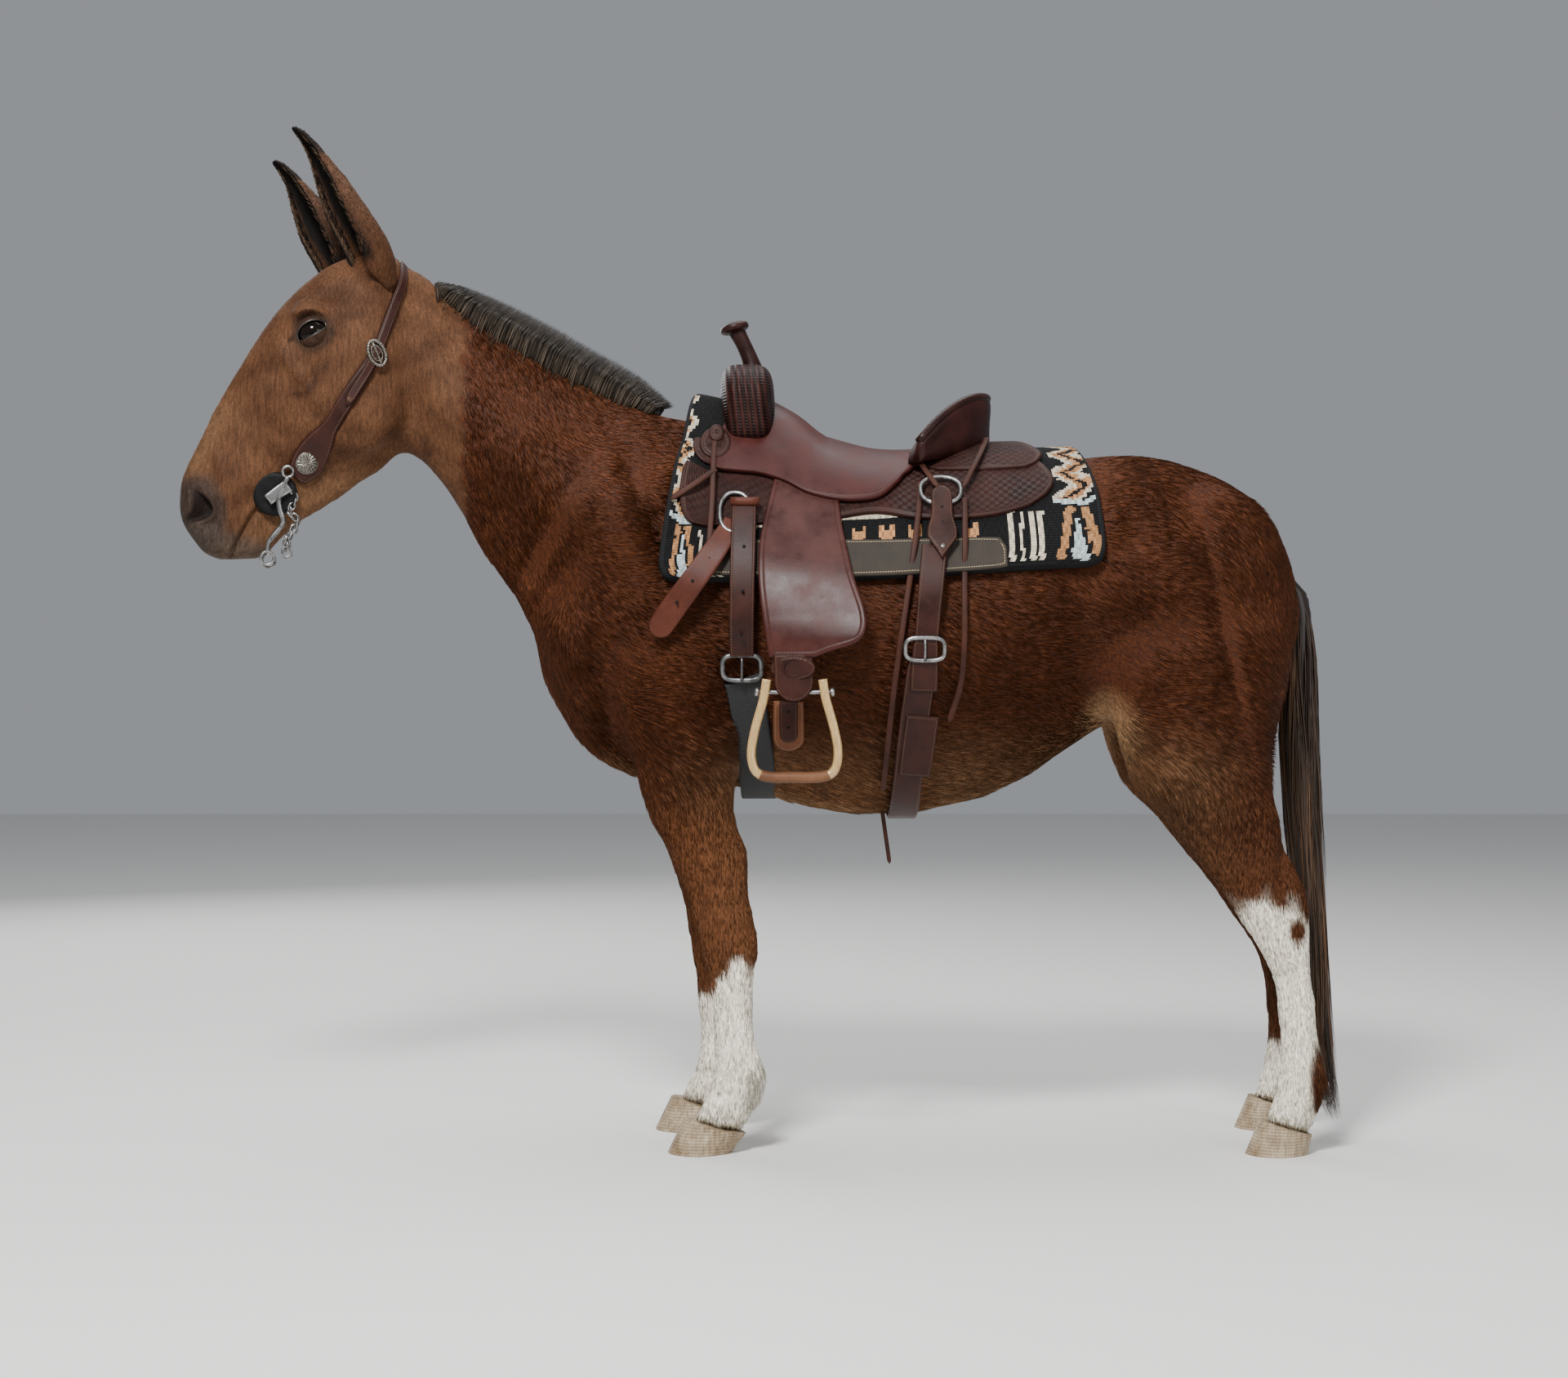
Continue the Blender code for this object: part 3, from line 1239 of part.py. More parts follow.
def stirrup(name, y, group, cutters):
    """A bent wood stirrup with its bolt."""
    narrow, wide = STIRRUP_DEPTH
    rows = resample(STIRRUP, 21)
    low = min(z for _, z in rows)
    high = max(z for _, z in rows)
    rings = []
    for index, (x, z) in enumerate(rows):
        before, after = rows[max(index - 1, 0)], rows[min(index + 1, len(rows) - 1)]
        along = Vector((after[0] - before[0], 0, after[1] - before[1])).normalized()
        out = Vector((along.z, 0, -along.x))
        depth = wide + (narrow - wide) * (z - low) / (high - low)
        centre = Vector((x, y, z))
        half = Vector((0, depth / 2, 0))
        outer = centre + out * STIRRUP_WOOD
        rings.append([centre - half, centre + half, outer + half, outer - half])
    obj = loft(name, rings, group, "pale_wood")
    ends = [Vector((STIRRUP[0][0] - 0.014, y, STIRRUP_BOLT_Z))]
    ends.append(Vector((STIRRUP[-1][0] + 0.014, y, STIRRUP_BOLT_Z)))
    bolt = tube("bolt", ends, [0.006, 0.006], cutters, "steel", 8)
    combine(obj, bolt, "UNION")
    drop(bolt)
    return largest_surface(obj)


def cinches(barrel, parts, made, group, cutters):
    """The girth straps, each in a left, a lower and a right length."""
    under = [parts[name] for name in ("torso", "foreleg_left", "foreleg_right")]
    for kind, (x_top, x_low, top, half, thickness), finish in (
        ("front_cinch", FRONT_CINCH, "black_webbing"),
        ("rear_cinch", REAR_CINCH, "dark_leather"),
    ):
        start = barrel.angle_at(x_top, top, thickness)
        split = math.radians(140)
        gap = GAP / 0.3
        lengths = (
            ("left", -start, -split + gap),
            ("right", start, split - gap),
            ("lower", -split - gap, None),
        )
        for word, first, last in lengths:
            if last is None:
                outline = (x_low, half, split + gap)
                place = wrapped_under(f"{kind}_{word}", barrel, outline, thickness, group, finish)
            else:
                outline = [(x_top - half, first), (x_top + half, first)]
                outline += [(x_low + half, last), (x_low - half, last)]
                place = wrapped(f"{kind}_{word}", barrel, outline, -SUNK, thickness, group, finish)
            made[f"{kind}_{word}"] = seat_on(place, under, cutters)


def wrapped_under(name, barrel, outline, thickness, group, finish):
    """A band that runs under the belly."""
    x, half, split = outline
    rings = []
    for angle in np.linspace(split, 2 * math.pi - split, 9):
        signed = angle if angle <= math.pi else angle - 2 * math.pi
        rings.append(
            [
                barrel.point(x - half, signed, -SUNK),
                barrel.point(x + half, signed, -SUNK),
                barrel.point(x + half, signed, thickness),
                barrel.point(x - half, signed, thickness),
            ]
        )
    return loft(name, rings, group, finish)


def headstall(parts, group, cutters):
    """Crown strap, cheek straps, conchos, bit guards and shanks."""
    tree = tree_of(parts["head"])
    made = {}
    points = []
    normals = []
    start, end = math.radians(62), math.radians(-62)
    centre = Vector((CROWN_X, 0, 1.56))
    for angle in np.linspace(-end, -start, 11):
        way = Vector((0, math.sin(angle), math.cos(angle)))
        origin = turned_head(centre + way)
        goal = turned_head(centre)
        point, _, _, _ = tree.ray_cast(origin, (goal - origin).normalized())
        points.append(point)
        normals.append((origin - goal).normalized())
    points = [point + normal * 0.0015 for point, normal in zip(points, normals)]
    made["headstall_crown"] = ribbon(
        "headstall_crown", points, normals, [CROWN_WIDTH] * 11, 0.004, group, "dark_leather"
    )
    seat_on(made["headstall_crown"], [parts["head"], parts["neck"]], cutters)
    for side, word in ((-1, "left"), (1, "right")):
        name = f"headstall_cheek_{word}"
        strap = side_strap(name, tree, CHEEK, side, 0.005, group, "dark_leather", 12, turned_head)
        x, z, radius, depth = CONCHO
        point, normal = soft_probe(tree, x, z, side, turned_head)
        ends = [point + normal * 0.003, point + normal * (0.006 + depth)]
        disc = tube("disc", ends, [radius, radius * 0.8], cutters, "steel", 10)
        combine(strap, disc, "UNION")
        drop(disc)
        made[name] = seat_on(strap, [parts["head"], parts["neck"], made["headstall_crown"]], cutters)
        x, z, radius, depth = BIT_GUARD
        point, normal = soft_probe(tree, x, z, side, turned_head)
        ends = [point - normal * 0.004, point + normal * (0.005 + depth)]
        guard = tube(f"bit_guard_{word}", ends, [radius, radius], group, "rubber", 14)
        made[f"bit_guard_{word}"] = seat_on(guard, [parts["head"], made[name]], cutters)
        spots = []
        for x, z in resample(SHANK, 8):
            spot = turned_head(Vector((x, 0, z)))
            across = (turned_head(Vector((x, side, z))) - spot).normalized()
            spots.append(spot + across * ((point - spot).dot(across) + SHANK_LIFT))
        shank = tube(f"bit_shank_{word}", spots, [SHANK_RADIUS] * 8, group, "steel", 6)
        seat_on(shank, [made[f"bit_guard_{word}"], made[name], parts["head"]], cutters)
    return made


def main():
    """Build every node."""
    clear_scene()
    group = new_collection("mule")
    cutters = new_collection("cutters")
    parts = flesh(group, cutters)
    trunk = trunk_form(cutters)
    barrel = Barrel(tree_of(trunk))
    drop(trunk)
    lip_line(parts["head"], cutters)
    carve_head(parts["head"], group, cutters)
    largest_surface(parts["head"])
    for word, place in (("left", EAR_LEFT), ("right", EAR_RIGHT)):
        made_ear = ear(f"ear_{word}", *place, group)
        seat_on(made_ear, [parts["head"], parts["neck"]], cutters)
    mane(parts, group, cutters)
    tail(parts, group, cutters)
    made = saddle(barrel, parts, group, cutters)
    for side, word in ((-1, "left"), (1, "right")):
        side_tack(barrel, parts, made, side, word, group, cutters)
    cinches(barrel, parts, made, group, cutters)
    headstall(parts, group, cutters)


if __name__ == "__main__":
    main()
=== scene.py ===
"""The dressed look of the saddled mule: skin, coat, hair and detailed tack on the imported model.

Units are metres, +Z up; the mule faces -X and its left side faces -Y, as in the frame.
"""
import math
import random

import bmesh
import bpy
import numpy as np
from mathutils import Matrix, Vector
from mathutils.bvhtree import BVHTree


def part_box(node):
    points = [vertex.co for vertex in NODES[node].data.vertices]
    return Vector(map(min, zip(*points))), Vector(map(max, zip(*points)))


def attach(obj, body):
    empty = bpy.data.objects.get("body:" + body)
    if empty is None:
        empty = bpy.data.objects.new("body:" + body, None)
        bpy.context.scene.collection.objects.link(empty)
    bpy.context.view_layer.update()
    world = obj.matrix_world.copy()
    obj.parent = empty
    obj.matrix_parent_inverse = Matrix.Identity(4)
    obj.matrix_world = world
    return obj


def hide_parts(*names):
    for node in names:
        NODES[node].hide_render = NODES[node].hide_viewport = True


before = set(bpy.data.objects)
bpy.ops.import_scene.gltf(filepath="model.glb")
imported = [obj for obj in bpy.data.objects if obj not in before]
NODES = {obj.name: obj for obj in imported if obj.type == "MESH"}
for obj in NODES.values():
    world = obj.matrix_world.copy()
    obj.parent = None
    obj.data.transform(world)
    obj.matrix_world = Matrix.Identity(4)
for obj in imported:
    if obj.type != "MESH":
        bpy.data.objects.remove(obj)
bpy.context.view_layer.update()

# The camera that took the photograph: place, drop below level, focal length of a 36 mm sensor
CAMERA_PLACE = (0.0384, -5.0, 0.905)
CAMERA_DROP = math.radians(0.2475)
CAMERA_LENS = 58.6

# The head is made straight in the source and turned about the poll
HEAD_YAW = math.radians(10.0)
POLL = Vector((-0.70, 0.0, 0.0))
FLESH = ("torso", "neck", "head", "foreleg_left", "foreleg_right", "hindleg_left", "hindleg_right")
SIDES = ((-1, "left"), (1, "right"))
EYE_RADIUS = 0.0300
EYE_PLACE = (-0.879, 0.0722, 1.566)
BODY_VOXEL = 0.0105
# Where the clipped hair ends, where the head's own lie and map begin, and the top of the legs
CLIP_X = -0.583
HEAD_BACK = -0.66
LEG_TOP = 0.735
# The patch of the map that each tuft and lock gets
MAP_PATCH = 0.003

# Colours of the coat, linear
DARK_COAT = (0.040, 0.0112, 0.0044)
TIP_COAT = (0.140, 0.043, 0.0130)
CLIPPED_COAT = (0.056, 0.0235, 0.0108)
WHITE_COAT = (0.78, 0.72, 0.60)
PALE_COAT = (0.26, 0.150, 0.075)
FOREARM_COAT = (0.105, 0.036, 0.0125)
GASKIN_COAT = (0.072, 0.026, 0.0100)
FACE_COAT = (0.110, 0.050, 0.024)
BRIDGE_COAT = (0.070, 0.030, 0.014)
# Painted shade for the temple hollow above the eye
TEMPLE_PAINTED_SHADE = (0.042, 0.018, 0.009)
# Painted shade for the head's hollows, creases and the corners of the eyes
PAINTED_FOLD_SHADE = (0.022, 0.0095, 0.0055)
NOSE_SKIN = (0.026, 0.018, 0.0145)
LIP_SKIN = (0.048, 0.036, 0.028)
# The nostrils' own dark skin, deepened by painted shade in their hollows
NOSTRIL_SKIN_AND_SHADE = (0.012, 0.008, 0.007)
EYE_RING = (0.030, 0.017, 0.011)
# Colours of the ears, outside, at the tip, inside and along the rim, and of their hairs
EAR_COAT = (0.085, 0.042, 0.024)
EAR_TIP = (0.016, 0.011, 0.009)
EAR_INSIDE = (0.0040, 0.0028, 0.0022)
EAR_RIM = (0.050, 0.024, 0.013)
EAR_HAIR = (0.075, 0.036, 0.02)
EAR_TIP_HAIR = (0.014, 0.010, 0.008)
EAR_FRINGE = (0.095, 0.060, 0.036)
EAR_INSIDE_HAIR = (0.008, 0.005, 0.004)
# Colours of the lashes, the mane and the tail
LASH_ROOT = (0.012, 0.008, 0.006)
LASH_TIP = (0.02, 0.012, 0.008)
MANE_ROOT = (0.092, 0.067, 0.046)
MANE_TIP = (0.015, 0.011, 0.008)
MANE_CORE = (0.016, 0.011, 0.008)
TAIL_WARM = (0.110, 0.056, 0.026)
TAIL_DARK = (0.050, 0.030, 0.019)
# The tail's core is darker than any hair: painted shade among the strands
TAIL_CORE_SHADE = (0.014, 0.0085, 0.0055)


def smooth(low, high, value):
    """0 below low, 1 above high and an easy change between, for numbers or arrays."""
    part = np.clip((np.asarray(value, float) - low) / (high - low), 0.0, 1.0)
    return part * part * (3 - 2 * part)


def mixed(one, two, part):
    """Colours between two, one for each part."""
    one = np.asarray(one, float)
    two = np.asarray(two, float)
    part = np.asarray(part, float)[..., None]
    return one * (1 - part) + two * part


def turned(point):
    """Where a point of the straight head goes."""
    return Matrix.Rotation(HEAD_YAW, 3, "Z") @ (Vector(point) - POLL) + POLL


def on_side(place, side):
    """Where a place beside the straight head's middle plane goes, on one side."""
    return turned((place[0], side * place[1], place[2]))


def turned_way(way):
    """A direction of the straight head as it lies in the world."""
    return (turned(way) - turned((0, 0, 0))).normalized()


def swung(vectors, angle):
    """An array of vectors turned about the upright axis."""
    cos, sin = math.cos(angle), math.sin(angle)
    x, y = vectors[:, 0], vectors[:, 1]
    return np.stack([x * cos - y * sin, x * sin + y * cos, vectors[:, 2]], axis=1)


def straightened(points):
    """World points as they would lie on the straight head, as an array."""
    return swung(np.asarray(points, float) - np.array(POLL), -HEAD_YAW) + np.array(POLL)


def gap_to(points, centre, radii):
    """How far points are from a centre, each axis measured in its radius."""
    return np.linalg.norm((points - np.array(centre)) / np.array(radii), axis=1)


# Small tools for meshes


def add_object(name, bm, *materials, smooth_shade=True):
    """A new object from a bmesh."""
    mesh = bpy.data.meshes.new(name)
    bm.to_mesh(mesh)
    bm.free()
    return add_mesh(name, mesh, *materials, smooth_shade=smooth_shade)


def add_mesh(name, mesh, *materials, smooth_shade=True):
    """A new object with a mesh, its finishes and smooth shading."""
    for finish in materials:
        mesh.materials.append(finish)
    mesh.polygons.foreach_set("use_smooth", [smooth_shade] * len(mesh.polygons))
    obj = bpy.data.objects.new(name, mesh)
    bpy.context.scene.collection.objects.link(obj)
    return obj


def placed(obj, slot, *replaced):
    """Let a piece ride on the root body, in place of nodes; the slot is not used."""
    if replaced:
        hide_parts(*replaced)
    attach(obj, "root")
    return obj


def apply_modifiers(obj):
    """Replace the mesh by what the modifiers make of it."""
    graph = bpy.context.evaluated_depsgraph_get()
    mesh = bpy.data.meshes.new_from_object(obj.evaluated_get(graph))
    obj.modifiers.clear()
    obj.data = mesh
    return obj


def positions(mesh):
    """The vertices of a mesh as an array."""
    flat = np.empty(len(mesh.vertices) * 3)
    mesh.vertices.foreach_get("co", flat)
    return flat.reshape(-1, 3)


def normals_of(mesh):
    """The vertex normals of a mesh as an array."""
    flat = np.empty(len(mesh.vertices) * 3)
    mesh.vertices.foreach_get("normal", flat)
    return flat.reshape(-1, 3)


def set_positions(mesh, points):
    """Move the vertices of a mesh."""
    mesh.vertices.foreach_set("co", np.asarray(points, float).ravel())
    mesh.update()


def set_colour(mesh, colours):
    """Store a colour for each vertex, or one for all."""
    layer = mesh.attributes.get("tint") or mesh.attributes.new("tint", "FLOAT_COLOR", "POINT")
    rgba = np.ones((len(mesh.vertices), 4))
    rgba[:, :3] = colours
    layer.data.foreach_set("color", rgba.ravel())


def relax(points, edges, steps, strength):
    """Even out a surface; strength is a number for each vertex."""
    one, two = edges[:, 0], edges[:, 1]
    count = np.bincount(one, minlength=len(points)) + np.bincount(two, minlength=len(points))
    count = np.maximum(count, 1)[:, None]
    weight = np.asarray(strength, float)[:, None]
    for _ in range(steps):
        total = np.empty_like(points)
        for axis in range(3):
            total[:, axis] = np.bincount(one, points[two, axis], len(points))
            total[:, axis] += np.bincount(two, points[one, axis], len(points))
        points = points + weight * (total / count - points)
    return points


def edge_array(mesh):
    """The edges of a mesh as pairs of vertex numbers."""
    flat = np.empty(len(mesh.edges) * 2, int)
    mesh.edges.foreach_get("vertices", flat)
    return flat.reshape(-1, 2)


def resample(rows, count):
    """Rows read evenly from a smooth curve through the given rows."""
    rows = np.asarray(rows, float)
    slopes = np.gradient(rows, axis=0)
    where = np.linspace(0, len(rows) - 1, count)
    low = np.minimum(where.astype(int), len(rows) - 2)
    t = (where - low)[:, None]
    start = rows[low] * (2 * t**3 - 3 * t**2 + 1) + slopes[low] * (t**3 - 2 * t**2 + t)
    end = rows[low + 1] * (3 * t**2 - 2 * t**3) + slopes[low + 1] * (t**3 - t**2)
    return start + end


def near_line(points, line):
    """How far each point is from a polyline, and how far along it is, from 0 to 1."""
    line = np.asarray(line, float)
    best = np.full(len(points), 1e9)
    along = np.zeros(len(points))
    for index, (start, end) in enumerate(zip(line, line[1:])):
        way = end - start
        part = np.clip((points - start) @ way / (way @ way), 0, 1)
        gap = np.linalg.norm(points - start - part[:, None] * way, axis=1)
        closer = gap < best
        best[closer] = gap[closer]
        along[closer] = (index + part[closer]) / (len(line) - 1)
    return best, along


# Finishes


def new_material(name):
    """An empty node material with its shader and its tree."""
    made = bpy.data.materials.new(name)
    made.use_nodes = True
    tree = made.node_tree
    return made, tree, tree.nodes["Principled BSDF"]


def node(tree, kind, **values):
    """Add a node and set its options and its unlinked sockets."""
    made = tree.nodes.new(kind)
    for key, value in values.items():
        if hasattr(made, key):
            setattr(made, key, value)
        else:
            made.inputs[key.replace("_", " ")].default_value = value
    return made


def ramp(tree, source, stops):
    """A colour ramp fed by a socket."""
    made = tree.nodes.new("ShaderNodeValToRGB")
    elements = made.color_ramp.elements
    while len(elements) < len(stops):
        elements.new(0.5)
    for element, (place, colour) in zip(elements, stops):
        element.position = place
        element.color = (*colour, 1.0) if len(colour) == 3 else colour
    tree.links.new(source, made.inputs["Fac"])
    return made.outputs["Color"]


def mix_colour(tree, factor, one, two, blend="MIX"):
    """Mix two colours, each a socket or a fixed colour."""
    made = tree.nodes.new("ShaderNodeMix")
    made.data_type = "RGBA"
    made.blend_type = blend
    for socket, value in ((0, factor), (6, one), (7, two)):
        if isinstance(value, bpy.types.NodeSocket):
            tree.links.new(value, made.inputs[socket])
        elif isinstance(value, (int, float)):
            made.inputs[socket].default_value = value
        else:
            made.inputs[socket].default_value = (*value, 1.0)
    return made.outputs[2]


def place_socket(tree, scale=(1, 1, 1), source="Object"):
    """Object coordinates stretched by a scale along each axis."""
    where = tree.nodes.new("ShaderNodeTexCoord")
    mapping = tree.nodes.new("ShaderNodeMapping")
    mapping.inputs["Scale"].default_value = scale
    tree.links.new(where.outputs[source], mapping.inputs["Vector"])
    return mapping.outputs["Vector"]


def noise(tree, vector, scale, detail=3.0, roughness=0.5):
    """A noise texture's value."""
    made = tree.nodes.new("ShaderNodeTexNoise")
    made.inputs["Scale"].default_value = scale
    made.inputs["Detail"].default_value = detail
    made.inputs["Roughness"].default_value = roughness
    tree.links.new(vector, made.inputs["Vector"])
    return made.outputs["Fac"]


def bump(tree, shader, height, strength, distance):
    """Give a shader a bump from a height socket, on top of any it has."""
    made = tree.nodes.new("ShaderNodeBump")
    made.inputs["Strength"].default_value = strength
    made.inputs["Distance"].default_value = distance
    tree.links.new(height, made.inputs["Height"])
    if shader.inputs["Normal"].is_linked:
        before = shader.inputs["Normal"].links[0].from_socket
        tree.links.new(before, made.inputs["Normal"])
    tree.links.new(made.outputs["Normal"], shader.inputs["Normal"])


def tint_socket(tree):
    """The colour stored on the mesh."""
    return node(tree, "ShaderNodeAttribute", attribute_name="tint").outputs["Color"]


def greys(tree, source, low, high):
    """A ramp between two greys, each given as a place and a brightness."""
    return ramp(tree, source, [(place, (grey,) * 3) for place, grey in (low, high)])


def multiplied(tree, colour, *factors):
    """A colour times other colours."""
    for factor in factors:
        colour = mix_colour(tree, 1.0, colour, factor, "MULTIPLY")
    return colour


def set_surface(tree, shader, colour, roughness, specular=None):
    """Give a shader its colour socket, its roughness and its shine."""
    tree.links.new(colour, shader.inputs["Base Color"])
    shader.inputs["Roughness"].default_value = roughness
    if specular is not None:
        shader.inputs["Specular IOR Level"].default_value = specular


def coat_material():
    """Hair of the coat: the stored tint, varied from tuft to tuft."""
    made, tree, shader = new_material("coat_hair")
    vector = place_socket(tree)
    fine = greys(tree, noise(tree, vector, 160.0, 2.0), (0.25, 0.62), (0.75, 1.35))
    broad = greys(tree, noise(tree, vector, 9.0, 3.0), (0.3, 0.86), (0.7, 1.12))
    set_surface(tree, shader, multiplied(tree, tint_socket(tree), fine, broad), 0.55, 0.12)
    return made


def skin_material():
    """The skin with its short flat fur: the stored tint with fine hair as bump."""
    made, tree, shader = new_material("skin_fur")
    hair = noise(tree, place_socket(tree, (1.0, 1.0, 0.35)), 520.0, 2.0, 0.6)
    patch = noise(tree, place_socket(tree), 24.0, 4.0, 0.6)
    streaks = noise(tree, place_socket(tree, (1.0, 1.0, 0.13)), 210.0, 3.0, 0.6)
    fine = greys(tree, hair, (0.3, 0.70), (0.7, 1.25))
    broad = greys(tree, patch, (0.3, 0.84), (0.7, 1.14))
    streaks = greys(tree, streaks, (0.3, 0.66), (0.7, 1.34))
    set_surface(tree, shader, multiplied(tree, tint_socket(tree), fine, broad, streaks), 0.66, 0.08)
    bump(tree, shader, hair, 0.55, 0.0009)
    bump(tree, shader, patch, 0.25, 0.002)
    return made


def eye_material():
    """A wet dark brown eye."""
    made, tree, shader = new_material("eye_wet")
    spots = noise(tree, place_socket(tree), 60.0)
    colour = ramp(tree, spots, [(0.3, (0.002, 0.0014, 0.0012)), (0.8, (0.009, 0.005, 0.003))])
    set_surface(tree, shader, colour, 0.05, 0.22)
    return made


def lid_material():
    """Dark, damp skin of the lids."""
    made, tree, shader = new_material("lid_skin")
    grain = noise(tree, place_socket(tree), 420.0, 3.0)
    colour = ramp(tree, grain, [(0.3, (0.016, 0.012, 0.010)), (0.75, (0.050, 0.036, 0.030))])
    set_surface(tree, shader, colour, 0.38)
    bump(tree, shader, grain, 0.4, 0.0006)
    return made


def hoof_material():
    """Pale horn with growth rings and fine upright lines."""
    made, tree, shader = new_material("hoof_horn")
    rings = node(
        tree, "ShaderNodeTexWave", wave_type="BANDS", bands_direction="Z",
        Scale=55.0, Distortion=1.6, Detail=2.0,
    )
    tree.links.new(place_socket(tree), rings.inputs["Vector"])
    lines = noise(tree, place_socket(tree, (1, 1, 0.05)), 260.0, 3.0)
    soil = noise(tree, place_socket(tree), 22.0, 5.0, 0.65)
    colour = ramp(tree, lines, [(0.25, (0.24, 0.17, 0.10)), (0.75, (0.52, 0.42, 0.28))])
    darker = greys(tree, rings.outputs["Fac"], (0.0, 0.78), (1.0, 1.08))
    stains = ramp(tree, soil, [(0.35, (0.55, 0.48, 0.40)), (0.62, (1.0, 1.0, 1.0))])
    set_surface(tree, shader, multiplied(tree, colour, darker, stains), 0.5)
    bump(tree, shader, rings.outputs["Fac"], 0.35, 0.0012)
    bump(tree, shader, lines, 0.3, 0.0005)
    return made


def hair_material(name):
    """Coarse long hair coloured by its stored tint."""
    made, tree, shader = new_material(name)
    set_surface(tree, shader, tint_socket(tree), 0.42, 0.4)
    return made


def maths(tree, operation, one, two=0.0, three=0.0):
    """A maths node on sockets or numbers."""
    made = tree.nodes.new("ShaderNodeMath")
    made.operation = operation
    for socket, value in zip(made.inputs, (one, two, three)):
        if isinstance(value, bpy.types.NodeSocket):
            tree.links.new(value, socket)
        else:
            socket.default_value = value
    return made.outputs["Value"]


def flat_sockets(tree):
    """Across, along and distance to the rim, as stored on a sheet."""
    layer = node(tree, "ShaderNodeAttribute", attribute_name="flat")
    split = tree.nodes.new("ShaderNodeSeparateXYZ")
    tree.links.new(layer.outputs["Vector"], split.inputs["Vector"])
    return tuple(split.outputs)


def band(tree, value, centre, half):
    """1 within half of the centre, falling to 0 at its edge."""
    gap = maths(tree, "ABSOLUTE", maths(tree, "SUBTRACT", value, centre))
    inside = maths(tree, "SUBTRACT", 1.0, maths(tree, "DIVIDE", gap, half))
    return maths(tree, "SMOOTH_MIN", maths(tree, "MAXIMUM", inside, 0.0), 1.0, 0.1)


def wave(tree, value, pitch, phase=0.0):
    """A wave from 0 to 1 along a value."""
    turn = maths(tree, "MULTIPLY_ADD", value, 2 * math.pi / pitch, phase)
    return maths(tree, "MULTIPLY_ADD", maths(tree, "SINE", turn), 0.5, 0.5)


def basket(tree, across, along, cell):
    """Height of a stamped basket weave of square cells."""
    one = maths(tree, "FLOOR", maths(tree, "DIVIDE", across, cell))
    two = maths(tree, "FLOOR", maths(tree, "DIVIDE", along, cell))
    odd = maths(tree, "PINGPONG", maths(tree, "ADD", one, two), 1.0)
    first = maths(tree, "MULTIPLY", wave(tree, across, cell / 3), odd)
    second = maths(tree, "MULTIPLY", wave(tree, along, cell / 3), maths(tree, "SUBTRACT", 1.0, odd))
    return maths(tree, "ADD", first, second)


def leather_material(name, low, high, roughness, stitch=None, weave=0.0, margin=0.007):
    """Leather with grain and worn places; sheets may have a stitch line and a stamped weave with painted
    shade in its pressed lines and a painted highlight on its raised parts.
    """
    made, tree, shader = new_material(name)
    place = place_socket(tree)
    across, along, rim = flat_sockets(tree)
    worn = noise(tree, place, 17.0, 5.0, 0.62)
    grain = noise(tree, place, 620.0, 3.0, 0.6)
    colour = ramp(tree, worn, [(0.30, low), (0.72, high)])
    colour = multiplied(tree, colour, greys(tree, grain, (0.3, 0.80), (0.7, 1.15)))
    height = maths(tree, "MULTIPLY", grain, 0.25)
    if weave:
        stamp = basket(tree, across, along, weave)
        inside = maths(tree, "GREATER_THAN", rim, margin + 0.004)
        height = maths(tree, "ADD", height, maths(tree, "MULTIPLY", stamp, inside))
        # Painted shade in the weave's pressed lines and painted highlight on its raised parts
        shade = mix_colour(tree, inside, (1.0, 1.0, 1.0), greys(tree, stamp, (0.0, 0.35), (0.8, 1.45)))
        colour = multiplied(tree, colour, shade)
    if stitch:
        line = band(tree, rim, margin, 0.0010)
        dash = maths(tree, "GREATER_THAN", wave(tree, maths(tree, "ADD", across, along), 0.0052), 0.32)
        thread = maths(tree, "MULTIPLY", line, dash)
        colour = mix_colour(tree, thread, colour, stitch)
        groove = band(tree, rim, margin, 0.0022)
        height = maths(tree, "SUBTRACT", height, maths(tree, "MULTIPLY", groove, 0.7))
        height = maths(tree, "ADD", height, maths(tree, "MULTIPLY", thread, 0.8))
    set_surface(tree, shader, colour, roughness, 0.18)
    rough = greys(tree, worn, (0.3, roughness - 0.08), (0.7, roughness + 0.12))
    tree.links.new(rough, shader.inputs["Roughness"])
    bump(tree, shader, height, 0.65, 0.0014)
    return made


def ridged_material():
    """Dark tooled leather in upright ridges with small studs between, with painted shade in the grooves and a
    painted highlight on the crests.
    """
    made, tree, shader = new_material("ridged_leather")
    place = place_socket(tree)
    split = tree.nodes.new("ShaderNodeSeparateXYZ")
    tree.links.new(place, split.inputs["Vector"])
    lean = maths(tree, "MULTIPLY_ADD", split.outputs["Z"], 0.12, split.outputs["X"])
    ridge = wave(tree, lean, 0.0125)
    bead = maths(tree, "MULTIPLY", wave(tree, lean, 0.0125, math.pi), wave(tree, split.outputs["Z"], 0.006))
    worn = noise(tree, place, 40.0, 4.0)
    colour = ramp(tree, worn, [(0.3, (0.0090, 0.0026, 0.0020)), (0.75, (0.028, 0.0080, 0.0058))])
    # Painted shade in the grooves and painted highlight on the crests
    shade = greys(tree, ridge, (0.0, 0.40), (1.0, 1.45))
    set_surface(tree, shader, multiplied(tree, colour, shade), 0.48, 0.12)
    bump(tree, shader, maths(tree, "MULTIPLY_ADD", bead, 0.5, ridge), 0.8, 0.0030)
    return made


